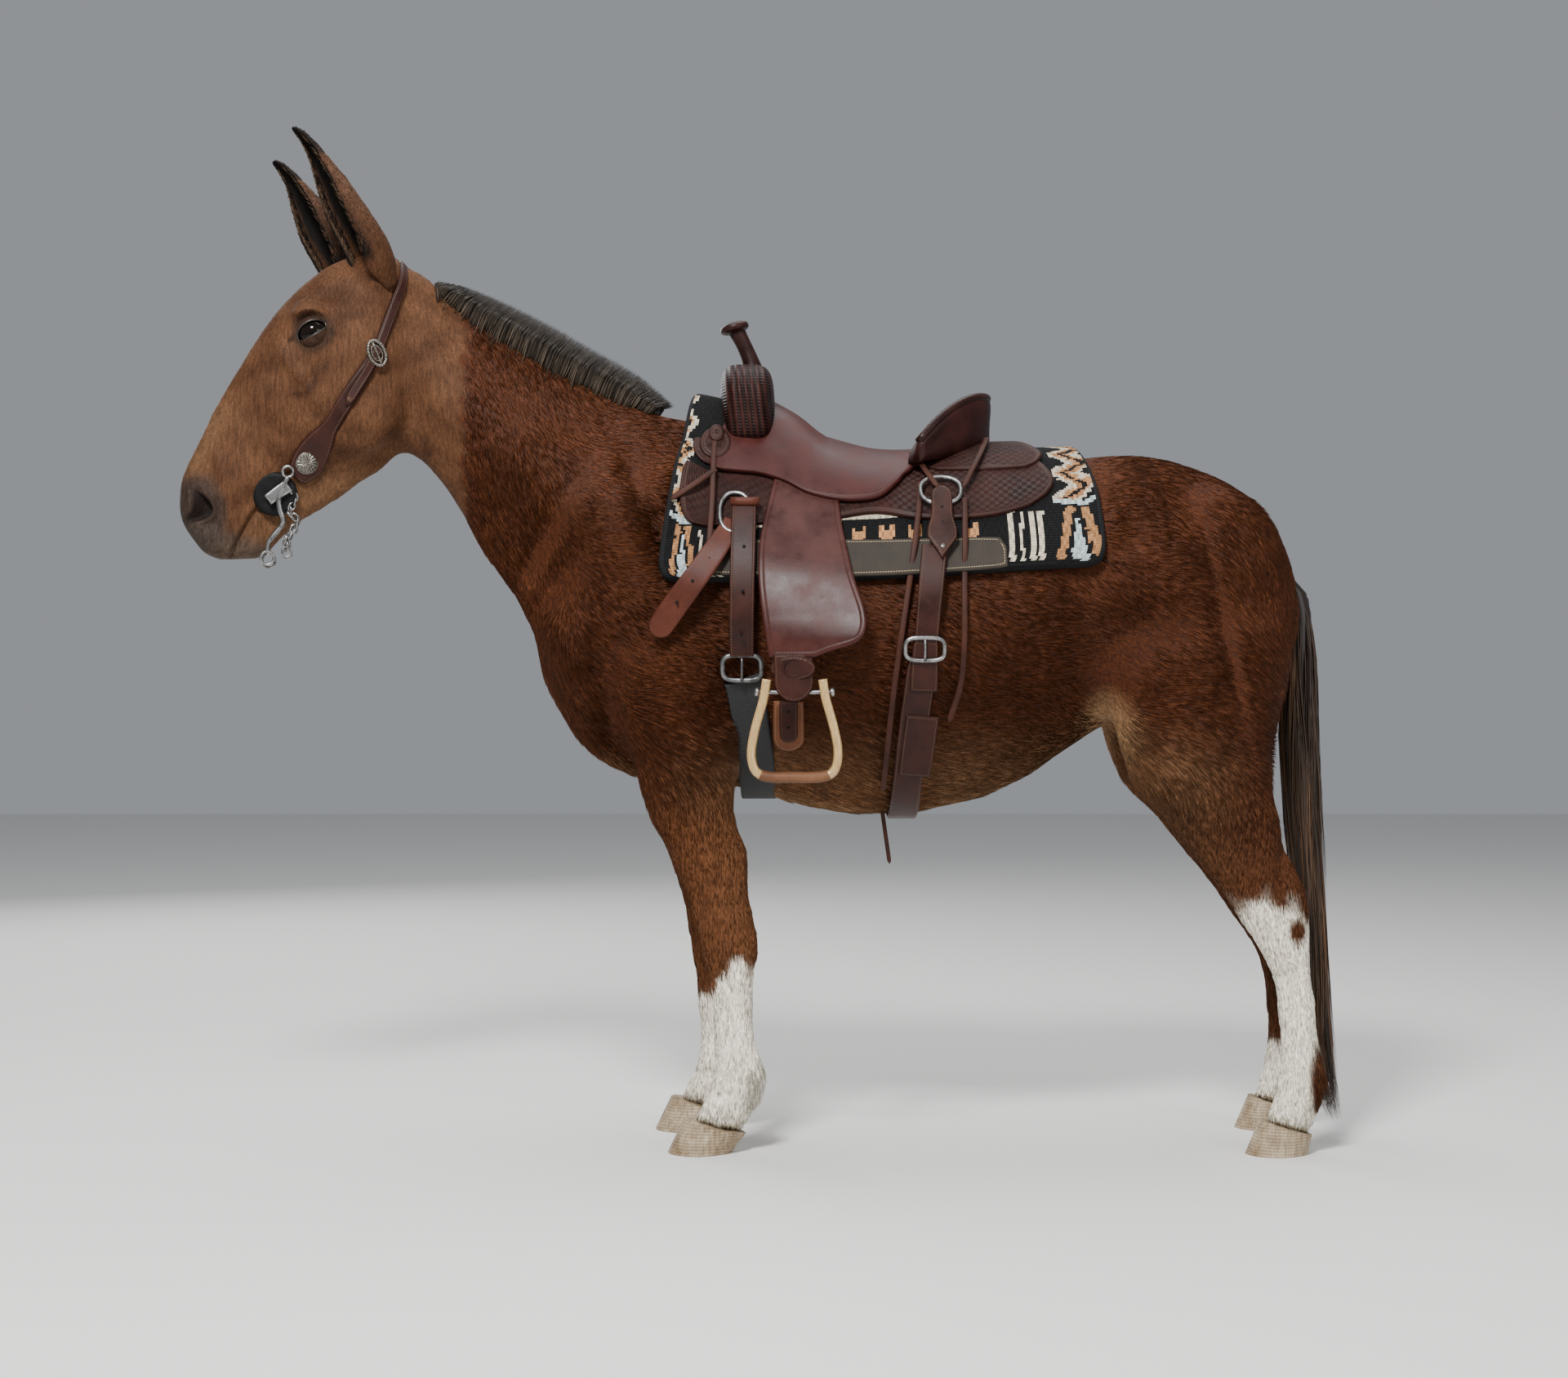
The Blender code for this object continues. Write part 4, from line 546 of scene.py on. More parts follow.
def wool_material():
    """Woven wool: the stored pattern with the ribs of its knots."""
    made, tree, shader = new_material("woven_wool")
    across, along, _ = flat_sockets(tree)
    fuzz = noise(tree, place_socket(tree), 420.0, 4.0, 0.65)
    shade = greys(tree, fuzz, (0.25, 0.55), (0.75, 1.30))
    set_surface(tree, shader, multiplied(tree, tint_socket(tree), shade), 0.92, 0.15)
    ribs = maths(tree, "MULTIPLY_ADD", wave(tree, across, 0.0055), 0.4, wave(tree, along, 0.0055))
    bump(tree, shader, maths(tree, "MULTIPLY_ADD", fuzz, 0.8, ribs), 0.8, 0.0016)
    return made


def webbing_material():
    """Black woven webbing with a fine weave."""
    made, tree, shader = new_material("black_weave")
    across, along, _ = flat_sockets(tree)
    grain = noise(tree, place_socket(tree), 300.0, 3.0)
    colour = ramp(tree, grain, [(0.3, (0.0030, 0.0030, 0.0034)), (0.8, (0.012, 0.012, 0.013))])
    set_surface(tree, shader, colour, 0.75)
    threads = maths(tree, "MULTIPLY", wave(tree, across, 0.004), wave(tree, along, 0.004))
    bump(tree, shader, threads, 0.6, 0.0010)
    return made


def metal_material(name, low, high, roughness, scale=70.0):
    """Polished metal with a little dirt and fine scratches."""
    made, tree, shader = new_material(name)
    dirt = noise(tree, place_socket(tree), scale, 5.0, 0.6)
    scratch = noise(tree, place_socket(tree, (1, 1, 8)), 900.0, 2.0)
    set_surface(tree, shader, ramp(tree, dirt, [(0.32, low), (0.62, high)]), roughness)
    rough = greys(tree, dirt, (0.3, roughness + 0.2), (0.6, roughness))
    tree.links.new(rough, shader.inputs["Roughness"])
    shader.inputs["Metallic"].default_value = 0.95
    bump(tree, shader, scratch, 0.15, 0.0003)
    return made


def wood_material():
    """Pale varnished wood in thin bent layers."""
    made, tree, shader = new_material("bent_wood")
    across, _, _ = flat_sockets(tree)
    grain = noise(tree, place_socket(tree, (30, 4, 4)), 20.0, 4.0)
    layers = wave(tree, across, 0.0031)
    colour = ramp(tree, grain, [(0.3, (0.34, 0.205, 0.080)), (0.7, (0.52, 0.36, 0.155))])
    shade = ramp(tree, layers, [(0.0, (0.72, 0.62, 0.5)), (0.3, (1.0,) * 3)])
    set_surface(tree, shader, multiplied(tree, colour, shade), 0.28)
    shader.inputs["Coat Weight"].default_value = 0.4
    return made


def rubber_material():
    """Matt black rubber with dust."""
    made, tree, shader = new_material("black_rubber")
    dust = noise(tree, place_socket(tree), 60.0, 4.0)
    colour = ramp(tree, dust, [(0.4, (0.003, 0.003, 0.003)), (0.8, (0.009, 0.008, 0.008))])
    set_surface(tree, shader, colour, 0.62, 0.15)
    return made


# Leathers: dark and light of their worn places, roughness, stitch colour, weave cell, rim to stitch
LEATHERS = {
    "tooled": ((0.0100, 0.0026, 0.0018), (0.034, 0.0090, 0.0060), 0.50, (0.085, 0.048, 0.030), 0.0090, 0.008),
    "tooled_plain": ((0.0110, 0.0026, 0.0020), (0.036, 0.0080, 0.0058), 0.46, None, 0.0, 0.008),
    "polished": ((0.0090, 0.0026, 0.0020), (0.028, 0.0080, 0.0055), 0.36, None, 0.0, 0.008),
    "seat": ((0.0240, 0.0048, 0.0040), (0.054, 0.0110, 0.0085), 0.42, (0.085, 0.045, 0.028), 0.0, 0.009),
    "fender": ((0.0260, 0.0062, 0.0048), (0.056, 0.0140, 0.0105), 0.38, (0.050, 0.022, 0.014), 0.0, 0.010),
    "strap": ((0.0140, 0.0034, 0.0022), (0.038, 0.0100, 0.0062), 0.44, (0.110, 0.060, 0.034), 0.0, 0.0040),
    "billet": ((0.040, 0.0090, 0.0050), (0.088, 0.023, 0.0115), 0.48, None, 0.0, 0.0042),
    "tan": ((0.085, 0.028, 0.012), (0.150, 0.056, 0.024), 0.50, (0.24, 0.15, 0.085), 0.0, 0.0042),
    "tan_tread": ((0.085, 0.034, 0.015), (0.170, 0.078, 0.038), 0.55, None, 0.0, 0.004),
    "string": ((0.018, 0.0052, 0.0032), (0.056, 0.0175, 0.0095), 0.56, None, 0.0, 0.004),
    # The holes' finish is near black: painted shade for the depth of a hole
    "hole": ((0.002, 0.0012, 0.0010), (0.004, 0.0026, 0.0024), 0.7, None, 0.0, 0.004),
    "wear": ((0.021, 0.0165, 0.0125), (0.044, 0.0345, 0.0265), 0.70, (0.42, 0.33, 0.19), 0.0, 0.0055),
}
# Metals: material name, dark and bright of the dirt, roughness, scale of the dirt
METALS = {
    "steel": ("steel_bright", (0.08, 0.078, 0.075), (0.34, 0.335, 0.33), 0.27),
    "dark_steel": ("steel_dark", (0.06, 0.06, 0.06), (0.20, 0.20, 0.20), 0.34),
    "silver": ("silver_engraved", (0.020, 0.018, 0.015), (0.26, 0.235, 0.20), 0.32, 420.0),
}
MATERIALS = {}


def make_materials():
    """All finishes by name."""
    MATERIALS["skin"] = skin_material()
    MATERIALS["coat"] = coat_material()
    MATERIALS["eye"] = eye_material()
    MATERIALS["lid"] = lid_material()
    MATERIALS["hoof"] = hoof_material()
    MATERIALS["hair"] = hair_material("long_hair")
    for name, values in LEATHERS.items():
        MATERIALS[name] = leather_material(f"leather_{name}", *values)
    MATERIALS["ridged"] = ridged_material()
    MATERIALS["wool"] = wool_material()
    MATERIALS["webbing"] = webbing_material()
    for name, values in METALS.items():
        MATERIALS[name] = metal_material(*values)
    MATERIALS["wood"] = wood_material()
    MATERIALS["rubber"] = rubber_material()


# The skin


def joined_flesh():
    """All flesh nodes as one mesh."""
    bm = bmesh.new()
    for name in FLESH:
        bm.from_mesh(NODES[name].data)
    return bm


def socks(points):
    """How white the hair of the lower legs is, from 0 to 1."""
    x, y, z = points[:, 0], points[:, 1], points[:, 2]
    ripple = 0.012 * np.sin(x * 90 + y * 60) + 0.008 * np.sin(z * 140 + x * 55)
    front = smooth(-0.075, -0.130, x - 0.12 * (z - 0.3))
    fore_left = smooth(0.372, 0.345, z + ripple + 0.09 * front)
    fore_right = smooth(0.300, 0.275, z + ripple)
    hind_left = smooth(0.500, 0.455, z + ripple + 0.02 * smooth(0.98, 1.02, x))
    hind_right = smooth(0.180, 0.150, z + ripple)
    fore = np.where(y < 0, fore_left, fore_right)
    hind = np.where(y < 0, hind_left, hind_right)
    white = np.where(x < 0.4, fore, hind)
    spots = (
        ((1.010, -0.175, 0.428), (0.020, 0.05, 0.026)),
        ((1.052, -0.144, 0.150), (0.026, 0.05, 0.070)),
        ((0.985, -0.185, 0.005), (0.014, 0.05, 0.040)),
    )
    for centre, radii in spots:
        white = white * smooth(0.75, 1.15, gap_to(points, centre, radii))
    return white


def coat_tint(points, tips=False):
    """The colour of the coat at points: clipped head, dark body, pale belly and white socks, with painted
    shade in the temple hollow and along the head's creases.
    """
    x, y, z = points[:, 0], points[:, 1], points[:, 2]
    ripple = 0.5 + 0.5 * np.sin(x * 47 + 3 * np.sin(z * 23)) * np.sin(z * 39 + 2 * np.sin(y * 31))
    colour = mixed(DARK_COAT, TIP_COAT, (0.70 if tips else 0.12) * (0.6 + 0.4 * ripple))
    low = smooth(0.86, 0.66, z) * smooth(-0.25, 0.0, x) * smooth(0.95, 0.75, x)
    colour = mixed(colour, PALE_COAT, 0.42 * low)
    flank = gap_to(points[:, [0, 2]], (0.645, 0.80), (0.060, 0.085))
    colour = mixed(colour, PALE_COAT, 0.75 * smooth(1.2, 0.4, flank))
    upper_leg = smooth(0.78, 0.60, z)
    forearm = np.where(x < 0.3, upper_leg, 0)
    colour = mixed(colour, FOREARM_COAT, 0.75 * forearm)
    gaskin = np.where(x > 0.6, upper_leg, 0)
    colour = mixed(colour, GASKIN_COAT, 0.7 * gaskin)
    inner = smooth(0.10, 0.055, np.abs(y)) * smooth(0.80, 0.70, z) * smooth(0.2, 0.35, z)
    colour = mixed(colour, PALE_COAT, 0.45 * inner)
    edge = CLIP_X + 0.004 * np.sin(z * 160) + 0.003 * np.sin(z * 61)
    clipped = smooth(edge + 0.008, edge - 0.008, x)
    head = mixed(CLIPPED_COAT, FACE_COAT, 0.55 * ripple)
    local = straightened(points)
    lx, ly, lz = local[:, 0], local[:, 1], local[:, 2]
    bridge = smooth(0.05, 0.0, np.abs(ly)) * smooth(-0.80, -0.92, lx)
    head = mixed(head, BRIDGE_COAT, 0.45 * bridge)
    # Painted shade in the temple hollow above the eye
    temple = gap_to(local[:, [0, 2]], (-0.825, 1.640), (0.05, 0.03))
    head = mixed(head, TEMPLE_PAINTED_SHADE, 0.60 * smooth(1.3, 0.2, temple))
    under = smooth(0.05, 0.02, np.abs(ly)) * smooth(1.33, 1.22, lz + 0.55 * (lx + 0.75))
    head = mixed(head, PALE_COAT, 0.18 * under)
    colour = mixed(colour, head, clipped)
    # Painted shade: dark strokes along the hollows and creases of the head and at the eye corners
    for line, width, strength in HEAD_PAINTED_SHADE:
        gap, part = near_line(local[:, [0, 2]], resample(line, 10))
        shade = strength * np.exp(-(gap / width) ** 2) * smooth(0, 0.2, part) * smooth(1, 0.8, part)
        colour = mixed(colour, PAINTED_FOLD_SHADE, shade * clipped * smooth(0.02, 0.04, np.abs(ly)))
    nose = gap_to(local, (-1.100, 0, 1.216), (0.062, 0.13, 0.082))
    colour = mixed(colour, NOSE_SKIN, 0.88 * smooth(1.20, 0.78, nose))
    lips = smooth(1.205, 1.170, lz + 0.30 * (lx + 1.05)) * smooth(-0.945, -0.98, lx)
    colour = mixed(colour, LIP_SKIN, 0.75 * lips)
    colour = mixed(colour, WHITE_COAT, socks(points))
    return colour


def refine(obj, picks):
    """Split the faces whose centres lie in each of the balls, one time for each ball."""
    bm = bmesh.new()
    bm.from_mesh(obj.data)
    for centre, radius in picks:
        middle = Vector(centre)
        faces = [face for face in bm.faces if (face.calc_center_median() - middle).length < radius]
        edges = {edge for face in faces for edge in face.edges}
        bmesh.ops.subdivide_edges(bm, edges=list(edges), cuts=1, use_grid_fill=True)
    bm.to_mesh(obj.data)
    bm.free()


def raised(points, normals, places, amount, radii, pitch=0.0):
    """Raise or sink soft ellipsoids on both sides of the straight middle plane."""
    cos, sin = math.cos(pitch), math.sin(pitch)
    total = np.zeros(len(points))
    for centre in places:
        local = points - np.array(centre)
        x = local[:, 0] * cos + local[:, 2] * sin
        z = -local[:, 0] * sin + local[:, 2] * cos
        gap = (x / radii[0]) ** 2 + (local[:, 1] / radii[1]) ** 2 + (z / radii[2]) ** 2
        total += np.exp(-gap)
    return points + normals * (amount * total)[:, None]


def both(x, y, z):
    """A place and its mirror image."""
    return ((x, -y, z), (x, y, z))


HEAD_FORMS = (
    # centre, amount, radii, pitch
    ((-0.905, 0.095, 1.480), 0.006, (0.105, 0.05, 0.012), math.radians(-55)),
    ((-0.780, 0.080, 1.420), 0.007, (0.060, 0.06, 0.085), 0.3),
    ((-0.848, 0.080, 1.640), -0.009, (0.030, 0.04, 0.014), 0.6),
    ((-0.888, 0.090, 1.611), 0.006, (0.032, 0.04, 0.010), 0.30),
    ((-0.980, 0.070, 1.380), -0.005, (0.045, 0.05, 0.060), 0.0),
    ((-0.930, 0.075, 1.330), 0.003, (0.050, 0.04, 0.014), -0.9),
    ((-1.050, 0.055, 1.300), 0.003, (0.012, 0.03, 0.055), 0.45),
    ((-1.030, 0.045, 1.180), 0.004, (0.020, 0.03, 0.018), 0.0),
    ((-0.700, 0.070, 1.480), -0.007, (0.018, 0.05, 0.120), 0.15),
    ((-0.720, 0.060, 1.350), -0.005, (0.030, 0.05, 0.030), 0.0),
)
BODY_FORMS = (
    ((-0.255, 0.160, 1.200), 0.010, (0.030, 0.09, 0.170), math.radians(24)),
    ((-0.190, 0.170, 1.180), -0.007, (0.030, 0.09, 0.140), math.radians(24)),
    ((-0.380, 0.150, 0.960), 0.012, (0.055, 0.08, 0.060), 0.0),
    ((-0.300, 0.160, 0.840), -0.008, (0.030, 0.10, 0.060), 0.0),
    ((-0.120, 0.220, 0.900), 0.010, (0.080, 0.09, 0.075), 0.3),
    ((-0.075, 0.220, 0.800), 0.008, (0.035, 0.09, 0.030), 0.0),
    ((-0.430, 0.110, 1.170), -0.009, (0.030, 0.08, 0.160), math.radians(-30)),
    ((-0.470, 0.110, 1.330), 0.006, (0.060, 0.07, 0.120), math.radians(-30)),
    ((0.640, 0.270, 1.190), 0.009, (0.040, 0.07, 0.035), 0.0),
    ((0.600, 0.260, 1.060), -0.012, (0.065, 0.09, 0.110), 0.0),
    ((0.690, 0.230, 0.810), 0.009, (0.050, 0.08, 0.055), 0.0),
    ((0.860, 0.200, 0.980), -0.006, (0.018, 0.09, 0.190), math.radians(12)),
    ((0.930, 0.190, 0.940), 0.006, (0.035, 0.09, 0.150), math.radians(8)),
    ((0.780, 0.220, 1.150), 0.007, (0.090, 0.09, 0.110), 0.0),
)
LEG_FORMS = (
    # x, side distance, z relative to the left leg; radii; the right legs are shifted
    ("fore", (-0.110, 0.175, 0.420), 0.004, (0.020, 0.02, 0.030)),
    ("fore", (-0.030, 0.130, 0.385), 0.006, (0.012, 0.03, 0.022)),
    ("fore", (-0.062, 0.160, 0.290), -0.004, (0.008, 0.03, 0.080)),
    ("fore", (-0.062, 0.095, 0.290), -0.004, (0.008, 0.03, 0.080)),
    ("fore", (-0.020, 0.126, 0.160), 0.006, (0.014, 0.04, 0.022)),
    ("fore", (-0.075, 0.130, 0.115), -0.003, (0.030, 0.05, 0.010)),
    ("hind", (1.040, 0.144, 0.520), 0.007, (0.016, 0.03, 0.018)),
    ("hind", (0.985, 0.170, 0.560), -0.010, (0.016, 0.04, 0.055)),
    ("hind", (0.985, 0.120, 0.560), -0.010, (0.016, 0.04, 0.055)),
    ("hind", (1.012, 0.175, 0.290), -0.004, (0.008, 0.03, 0.090)),
    ("hind", (1.055, 0.144, 0.150), 0.006, (0.014, 0.04, 0.022)),
)
RIGHT_SHIFT = {"fore": -0.036, "hind": 0.030}

# Veins and folds of the head, on the straight head as x and z, with width and height
HEAD_LINES = (
    (((-0.935, 1.452), (-0.955, 1.405), (-0.985, 1.352), (-1.000, 1.318)), 0.0040, 0.0022),
    (((-0.955, 1.405), (-0.995, 1.382), (-1.030, 1.350)), 0.0034, 0.0016),
    (((-0.918, 1.596), (-0.898, 1.606), (-0.872, 1.606), (-0.852, 1.594)), 0.0035, 0.0028),
    (((-0.916, 1.607), (-0.894, 1.618), (-0.862, 1.616), (-0.842, 1.600)), 0.0035, -0.0022),
    (((-0.914, 1.620), (-0.888, 1.632), (-0.856, 1.628)), 0.0035, 0.0022),
    (((-0.918, 1.552), (-0.892, 1.540), (-0.862, 1.545)), 0.0040, -0.0020),
    (((-0.862, 1.520), (-0.888, 1.478), (-0.902, 1.450)), 0.0050, -0.0026),
    (((-0.930, 1.452), (-0.915, 1.448), (-0.902, 1.456)), 0.0030, 0.0020),
    (((-0.960, 1.300), (-0.905, 1.262), (-0.850, 1.262)), 0.0050, 0.0016),
    (((-1.062, 1.255), (-1.058, 1.222), (-1.072, 1.192)), 0.0045, -0.0028),
)
HEAD_PAINTED_SHADE = (
    # painted shade along the head's hollows and creases and at the eye corners: path on the straight head as
    # x and z, width, strength
    (((-0.932, 1.548), (-0.918, 1.555), (-0.904, 1.560), (-0.890, 1.562)), 0.0060, 0.95),
    (((-0.868, 1.575), (-0.852, 1.572), (-0.842, 1.566), (-0.834, 1.560)), 0.0060, 0.85),
    (((-0.925, 1.580), (-0.900, 1.594), (-0.870, 1.594), (-0.845, 1.580)), 0.0070, 0.70),
    (((-0.860, 1.570), (-0.835, 1.592), (-0.800, 1.603), (-0.770, 1.600)), 0.0152, 0.53),
    (((-0.925, 1.555), (-0.948, 1.520), (-0.965, 1.480), (-0.978, 1.430)), 0.0240, 0.26),
    (((-0.850, 1.520), (-0.868, 1.490), (-0.882, 1.462), (-0.890, 1.440)), 0.0112, 0.46),
    (((-0.922, 1.452), (-0.905, 1.446), (-0.893, 1.452)), 0.0056, 0.53),
    (((-0.925, 1.618), (-0.890, 1.640), (-0.850, 1.650), (-0.815, 1.645)), 0.0128, 0.25),
    (((-0.800, 1.690), (-0.780, 1.650), (-0.765, 1.620)), 0.0192, 0.25),
    (((-0.655, 1.330), (-0.664, 1.352), (-0.668, 1.385)), 0.0112, 0.53),
    (((-1.005, 1.360), (-1.020, 1.320), (-1.030, 1.280)), 0.0176, 0.19),
    (((-1.045, 1.258), (-1.050, 1.225), (-1.040, 1.190)), 0.0080, 0.22),
)
NOSTRIL_PLACE = (-1.090, 0.054, 1.228)
MOUTH_LINE = (
    (-0.984, 1.230), (-0.997, 1.212), (-1.006, 1.194), (-1.021, 1.168), (-1.032, 1.146), (-1.046, 1.128),
)


def eye_frame(side):
    """The middle of an eye and its axes: along the lids, up and outward, in the world."""
    middle = on_side(EYE_PLACE, side)
    outward = turned((EYE_PLACE[0] - 0.25, side * 1.0 + side * EYE_PLACE[1], EYE_PLACE[2] + 0.10)) - middle
    outward.normalize()
    front = (turned((-2.0, 0, EYE_PLACE[2] - 0.42)) - turned((EYE_PLACE[0], 0, EYE_PLACE[2]))).normalized()
    along = (front - outward * front.dot(outward)).normalized()
    up = outward.cross(along) * side
    if up.z < 0:
        up = -up
    return middle, along, up, outward


# The opening of the lids, how it slants, how far the lids stand off the ball, and their parts
LID_HALF = 0.0300
LID_TOP = 0.0172
LID_BOTTOM = 0.0128
LID_SLANT = 0.10
LID_LIFT = 0.0022
LID_STEPS = 56
LASHES = 46


def lid_edge(angle):
    """Half opening of the lids along and up, at an angle round the eye."""
    along = LID_HALF * math.cos(angle)
    rise = math.sin(angle)
    up = (LID_TOP if rise > 0 else LID_BOTTOM) * math.copysign(abs(rise) ** 0.85, rise)
    return along, up - LID_SLANT * along


def shaped_eye(points, side):
    """Sink the skin inside the lids, and swell it into lids round the ball."""
    middle, along, up, outward = (np.array(v) for v in eye_frame(side))
    local = points - middle
    u, v, w = local @ along, local @ up, local @ outward
    v = v + LID_SLANT * u
    height = np.where(v > 0, LID_TOP, LID_BOTTOM)
    inside = np.sqrt((u / LID_HALF) ** 2 + (v / height) ** 2)
    near = (w > -0.03) & (inside < 4)
    span = np.sqrt(u**2 + v**2)
    dome = np.sqrt(np.maximum((EYE_RADIUS + 0.0032) ** 2 - np.minimum(span, EYE_RADIUS) ** 2, 0))
    cover = smooth(0.0415, 0.0285, span) * near
    target = middle + np.outer(u, along) + np.outer(v - LID_SLANT * u, up)
    target = target + np.outer(np.maximum(dome, 0.004), outward)
    points = points + (target - points) * (cover * smooth(-0.01, 0.0, w))[:, None]
    sunk = smooth(1.04, 0.90, inside) * near * (w > -0.005)
    return points - np.outer(sunk * 0.016, outward)


def nostril(points, side):
    """Sink a comma-shaped nostril with a raised rim."""
    centre = np.array(on_side(NOSTRIL_PLACE, side))
    way = np.array(turned_way((-0.55, side, 0.05)))
    up = np.array((0.26, 0, 0.965))
    up = up - way * (up @ way)
    up /= np.linalg.norm(up)
    across = np.cross(up, way)
    local = points - centre
    u, v, w = local @ across, local @ up, local @ way
    u = u - 22.0 * np.clip(v, -0.03, 0.03) ** 2 * np.sign(across[0] * -1)
    gap = np.sqrt((u / 0.0185) ** 2 + (v / 0.0340) ** 2)
    near = np.abs(w) < 0.035
    depth = smooth(1.0, 0.35, gap) * 0.020 * near
    rim = np.exp(-((gap - 1.32) / 0.26) ** 2) * 0.0040 * near
    return points + np.outer(rim - depth, way), smooth(1.15, 0.75, gap) * near


def smooth_flesh():
    """All flesh as one even surface, smoothest on the trunk."""
    obj = add_object("skin", joined_flesh(), MATERIALS["skin"])
    remesh = obj.modifiers.new("remesh", "REMESH")
    remesh.mode = "VOXEL"
    remesh.voxel_size = BODY_VOXEL
    apply_modifiers(obj)
    mesh = obj.data
    points = positions(mesh)
    trunk = smooth(0.62, 0.85, points[:, 2]) * smooth(-0.70, -0.60, points[:, 0])
    points = relax(points, edge_array(mesh), 26, 0.08 + 0.47 * trunk)
    points = relax(points, edge_array(mesh), 5, np.full(len(points), 0.5))
    set_positions(mesh, points)
    return obj


def refine_head(obj):
    """Finer faces on the head, and finer still at the eyes and the nose."""
    eyes = [turned((EYE_PLACE[0], side * 0.09, EYE_PLACE[2])) for side, _ in SIDES]
    head, nose = turned((-0.93, 0, 1.45)), turned((-1.07, 0, 1.20))
    picks = [(head, 0.36)]
    picks += [(eye, 0.062) for eye in eyes]
    picks += [(nose, 0.115)]
    picks += [(eye, 0.042) for eye in eyes]
    refine(obj, picks)


def skin_depth(points):
    """How deep the skin lies under the coat: less on the head, the lower legs and the soles."""
    depth = 0.0045 - 0.0030 * smooth(-0.55, -0.65, points[:, 0])
    depth = depth - 0.0025 * smooth(0.5, 0.3, points[:, 2])
    return depth * smooth(0.0, 0.08, points[:, 2])


def skin_tint(points, dark):
    """The colour of the skin, with dark rings round the eyes, and nostrils dark from their own skin and from
    painted shade in the hollow.
    """
    colour = mixed(coat_tint(points), NOSTRIL_SKIN_AND_SHADE, 0.9 * dark)
    for side, _ in SIDES:
        ring = np.linalg.norm(points - np.array(eye_frame(side)[0]), axis=1)
        colour = mixed(colour, EYE_RING, 0.80 * smooth(0.049, 0.034, ring))
    return colour


def skin():
    """The whole body as one smooth skin with its folds."""
    obj = smooth_flesh()
    refine_head(obj)
    mesh = obj.data
    points = relax(positions(mesh), edge_array(mesh), 3, np.full(len(mesh.vertices), 0.5))
    normals = normals_of(mesh)
    points = points - normals * skin_depth(points)[:, None]
    points = sculpted(points, normals)
    set_positions(mesh, points)
    points = relax(points, edge_array(mesh), 1, np.full(len(points), 0.3))
    dark = np.zeros(len(points))
    for side, _ in SIDES:
        points = shaped_eye(points, side)
        points, hollow = nostril(points, side)
        dark = np.maximum(dark, hollow)
    set_positions(mesh, points)
    set_colour(mesh, skin_tint(points, dark))
    return placed(obj, "coat", *FLESH)


def sculpted(points, normals):
    """Muscles, bones, veins and folds as soft changes of the skin."""
    head = points[:, 0] < -0.60
    local = straightened(points)
    moved = local.copy()
    way = swung(normals, -HEAD_YAW)
    for (x, y, z), amount, radii, pitch in HEAD_FORMS:
        moved = raised(moved, way, both(x, y, z), amount, radii, pitch)
    for line, width, height in HEAD_LINES:
        gap, part = near_line(moved[:, [0, 2]], resample(line, 12))
        lateral = smooth(0.02, 0.045, np.abs(moved[:, 1]))
        rise = height * np.exp(-(gap / width) ** 2) * lateral
        rise = rise * smooth(0, 0.15, part) * smooth(1, 0.8, part)
        moved = moved + way * rise[:, None]
    gap, _ = near_line(moved[:, [0, 2]], resample(MOUTH_LINE, 16))
    lateral = smooth(0.004, 0.02, np.abs(moved[:, 1]))
    moved = moved - way * (0.0075 * np.exp(-(gap / 0.0045) ** 2) * lateral)[:, None]
    moved = moved + way * (0.0020 * np.exp(-((gap - 0.012) / 0.006) ** 2) * lateral)[:, None]
    points = points + swung(moved - local, HEAD_YAW) * head[:, None]
    for (x, y, z), amount, radii, pitch in BODY_FORMS:
        points = raised(points, normals, both(x, y, z), amount, radii, pitch)
    for kind, (x, y, z), amount, radii in LEG_FORMS:
        legs = ((x, -y, z), (x + RIGHT_SHIFT[kind], y, z))
        points = raised(points, normals, legs, amount, radii)
    return points


# Eyes and lids


def on_lid(eye, angle):
    """A place on the edge of the lids at an angle round the eye."""
    middle, along, up, outward = eye
    u, v = lid_edge(angle)
    depth = math.sqrt(max((EYE_RADIUS + LID_LIFT) ** 2 - u * u - v * v, 0.00001))
    return middle + along * u + up * v + outward * depth


def eyes_and_lids():
    """Wet balls in their sockets with a rim of lid round each."""
    for side, word in SIDES:
        eye = eye_frame(side)
        middle, along, up, _ = eye
        bm = bmesh.new()
        bmesh.ops.create_uvsphere(bm, u_segments=40, v_segments=24, radius=EYE_RADIUS - 0.0006)
        bmesh.ops.translate(bm, verts=bm.verts[:], vec=middle)
        placed(add_object(f"eyeball_{word}", bm, MATERIALS["eye"]), "eye", f"eye_{word}")
        rings = []
        for step in range(LID_STEPS):
            angle = 2 * math.pi * step / LID_STEPS
            centre = on_lid(eye, angle)
            spoke = (centre - middle).normalized()
            aside = (along * (-math.sin(angle)) + up * math.cos(angle) * 0.5).normalized()
            over = spoke.cross(aside).normalized()
            thick = 0.0019 if math.sin(angle) > 0 else 0.0012
            turns = np.linspace(0, 2 * math.pi, 9)[:-1]
            rings.append([centre + (spoke * math.cos(a) + over * 1.2 * math.sin(a)) * thick for a in turns])
        placed(add_object(f"lids_{word}", closed_tube(rings), MATERIALS["lid"]), "coat")
        lashes(eye, word)


def closed_tube(rings):
    """A bmesh of rings joined in a loop."""
    bm = bmesh.new()
    loops = [[bm.verts.new(point) for point in ring] for ring in rings]
    for one, two in zip(loops, loops[1:] + loops[:1]):
        for k in range(len(one)):
            after = (k + 1) % len(one)
            bm.faces.new((one[k], one[after], two[after], two[k]))
    bmesh.ops.recalc_face_normals(bm, faces=bm.faces[:])
    return bm


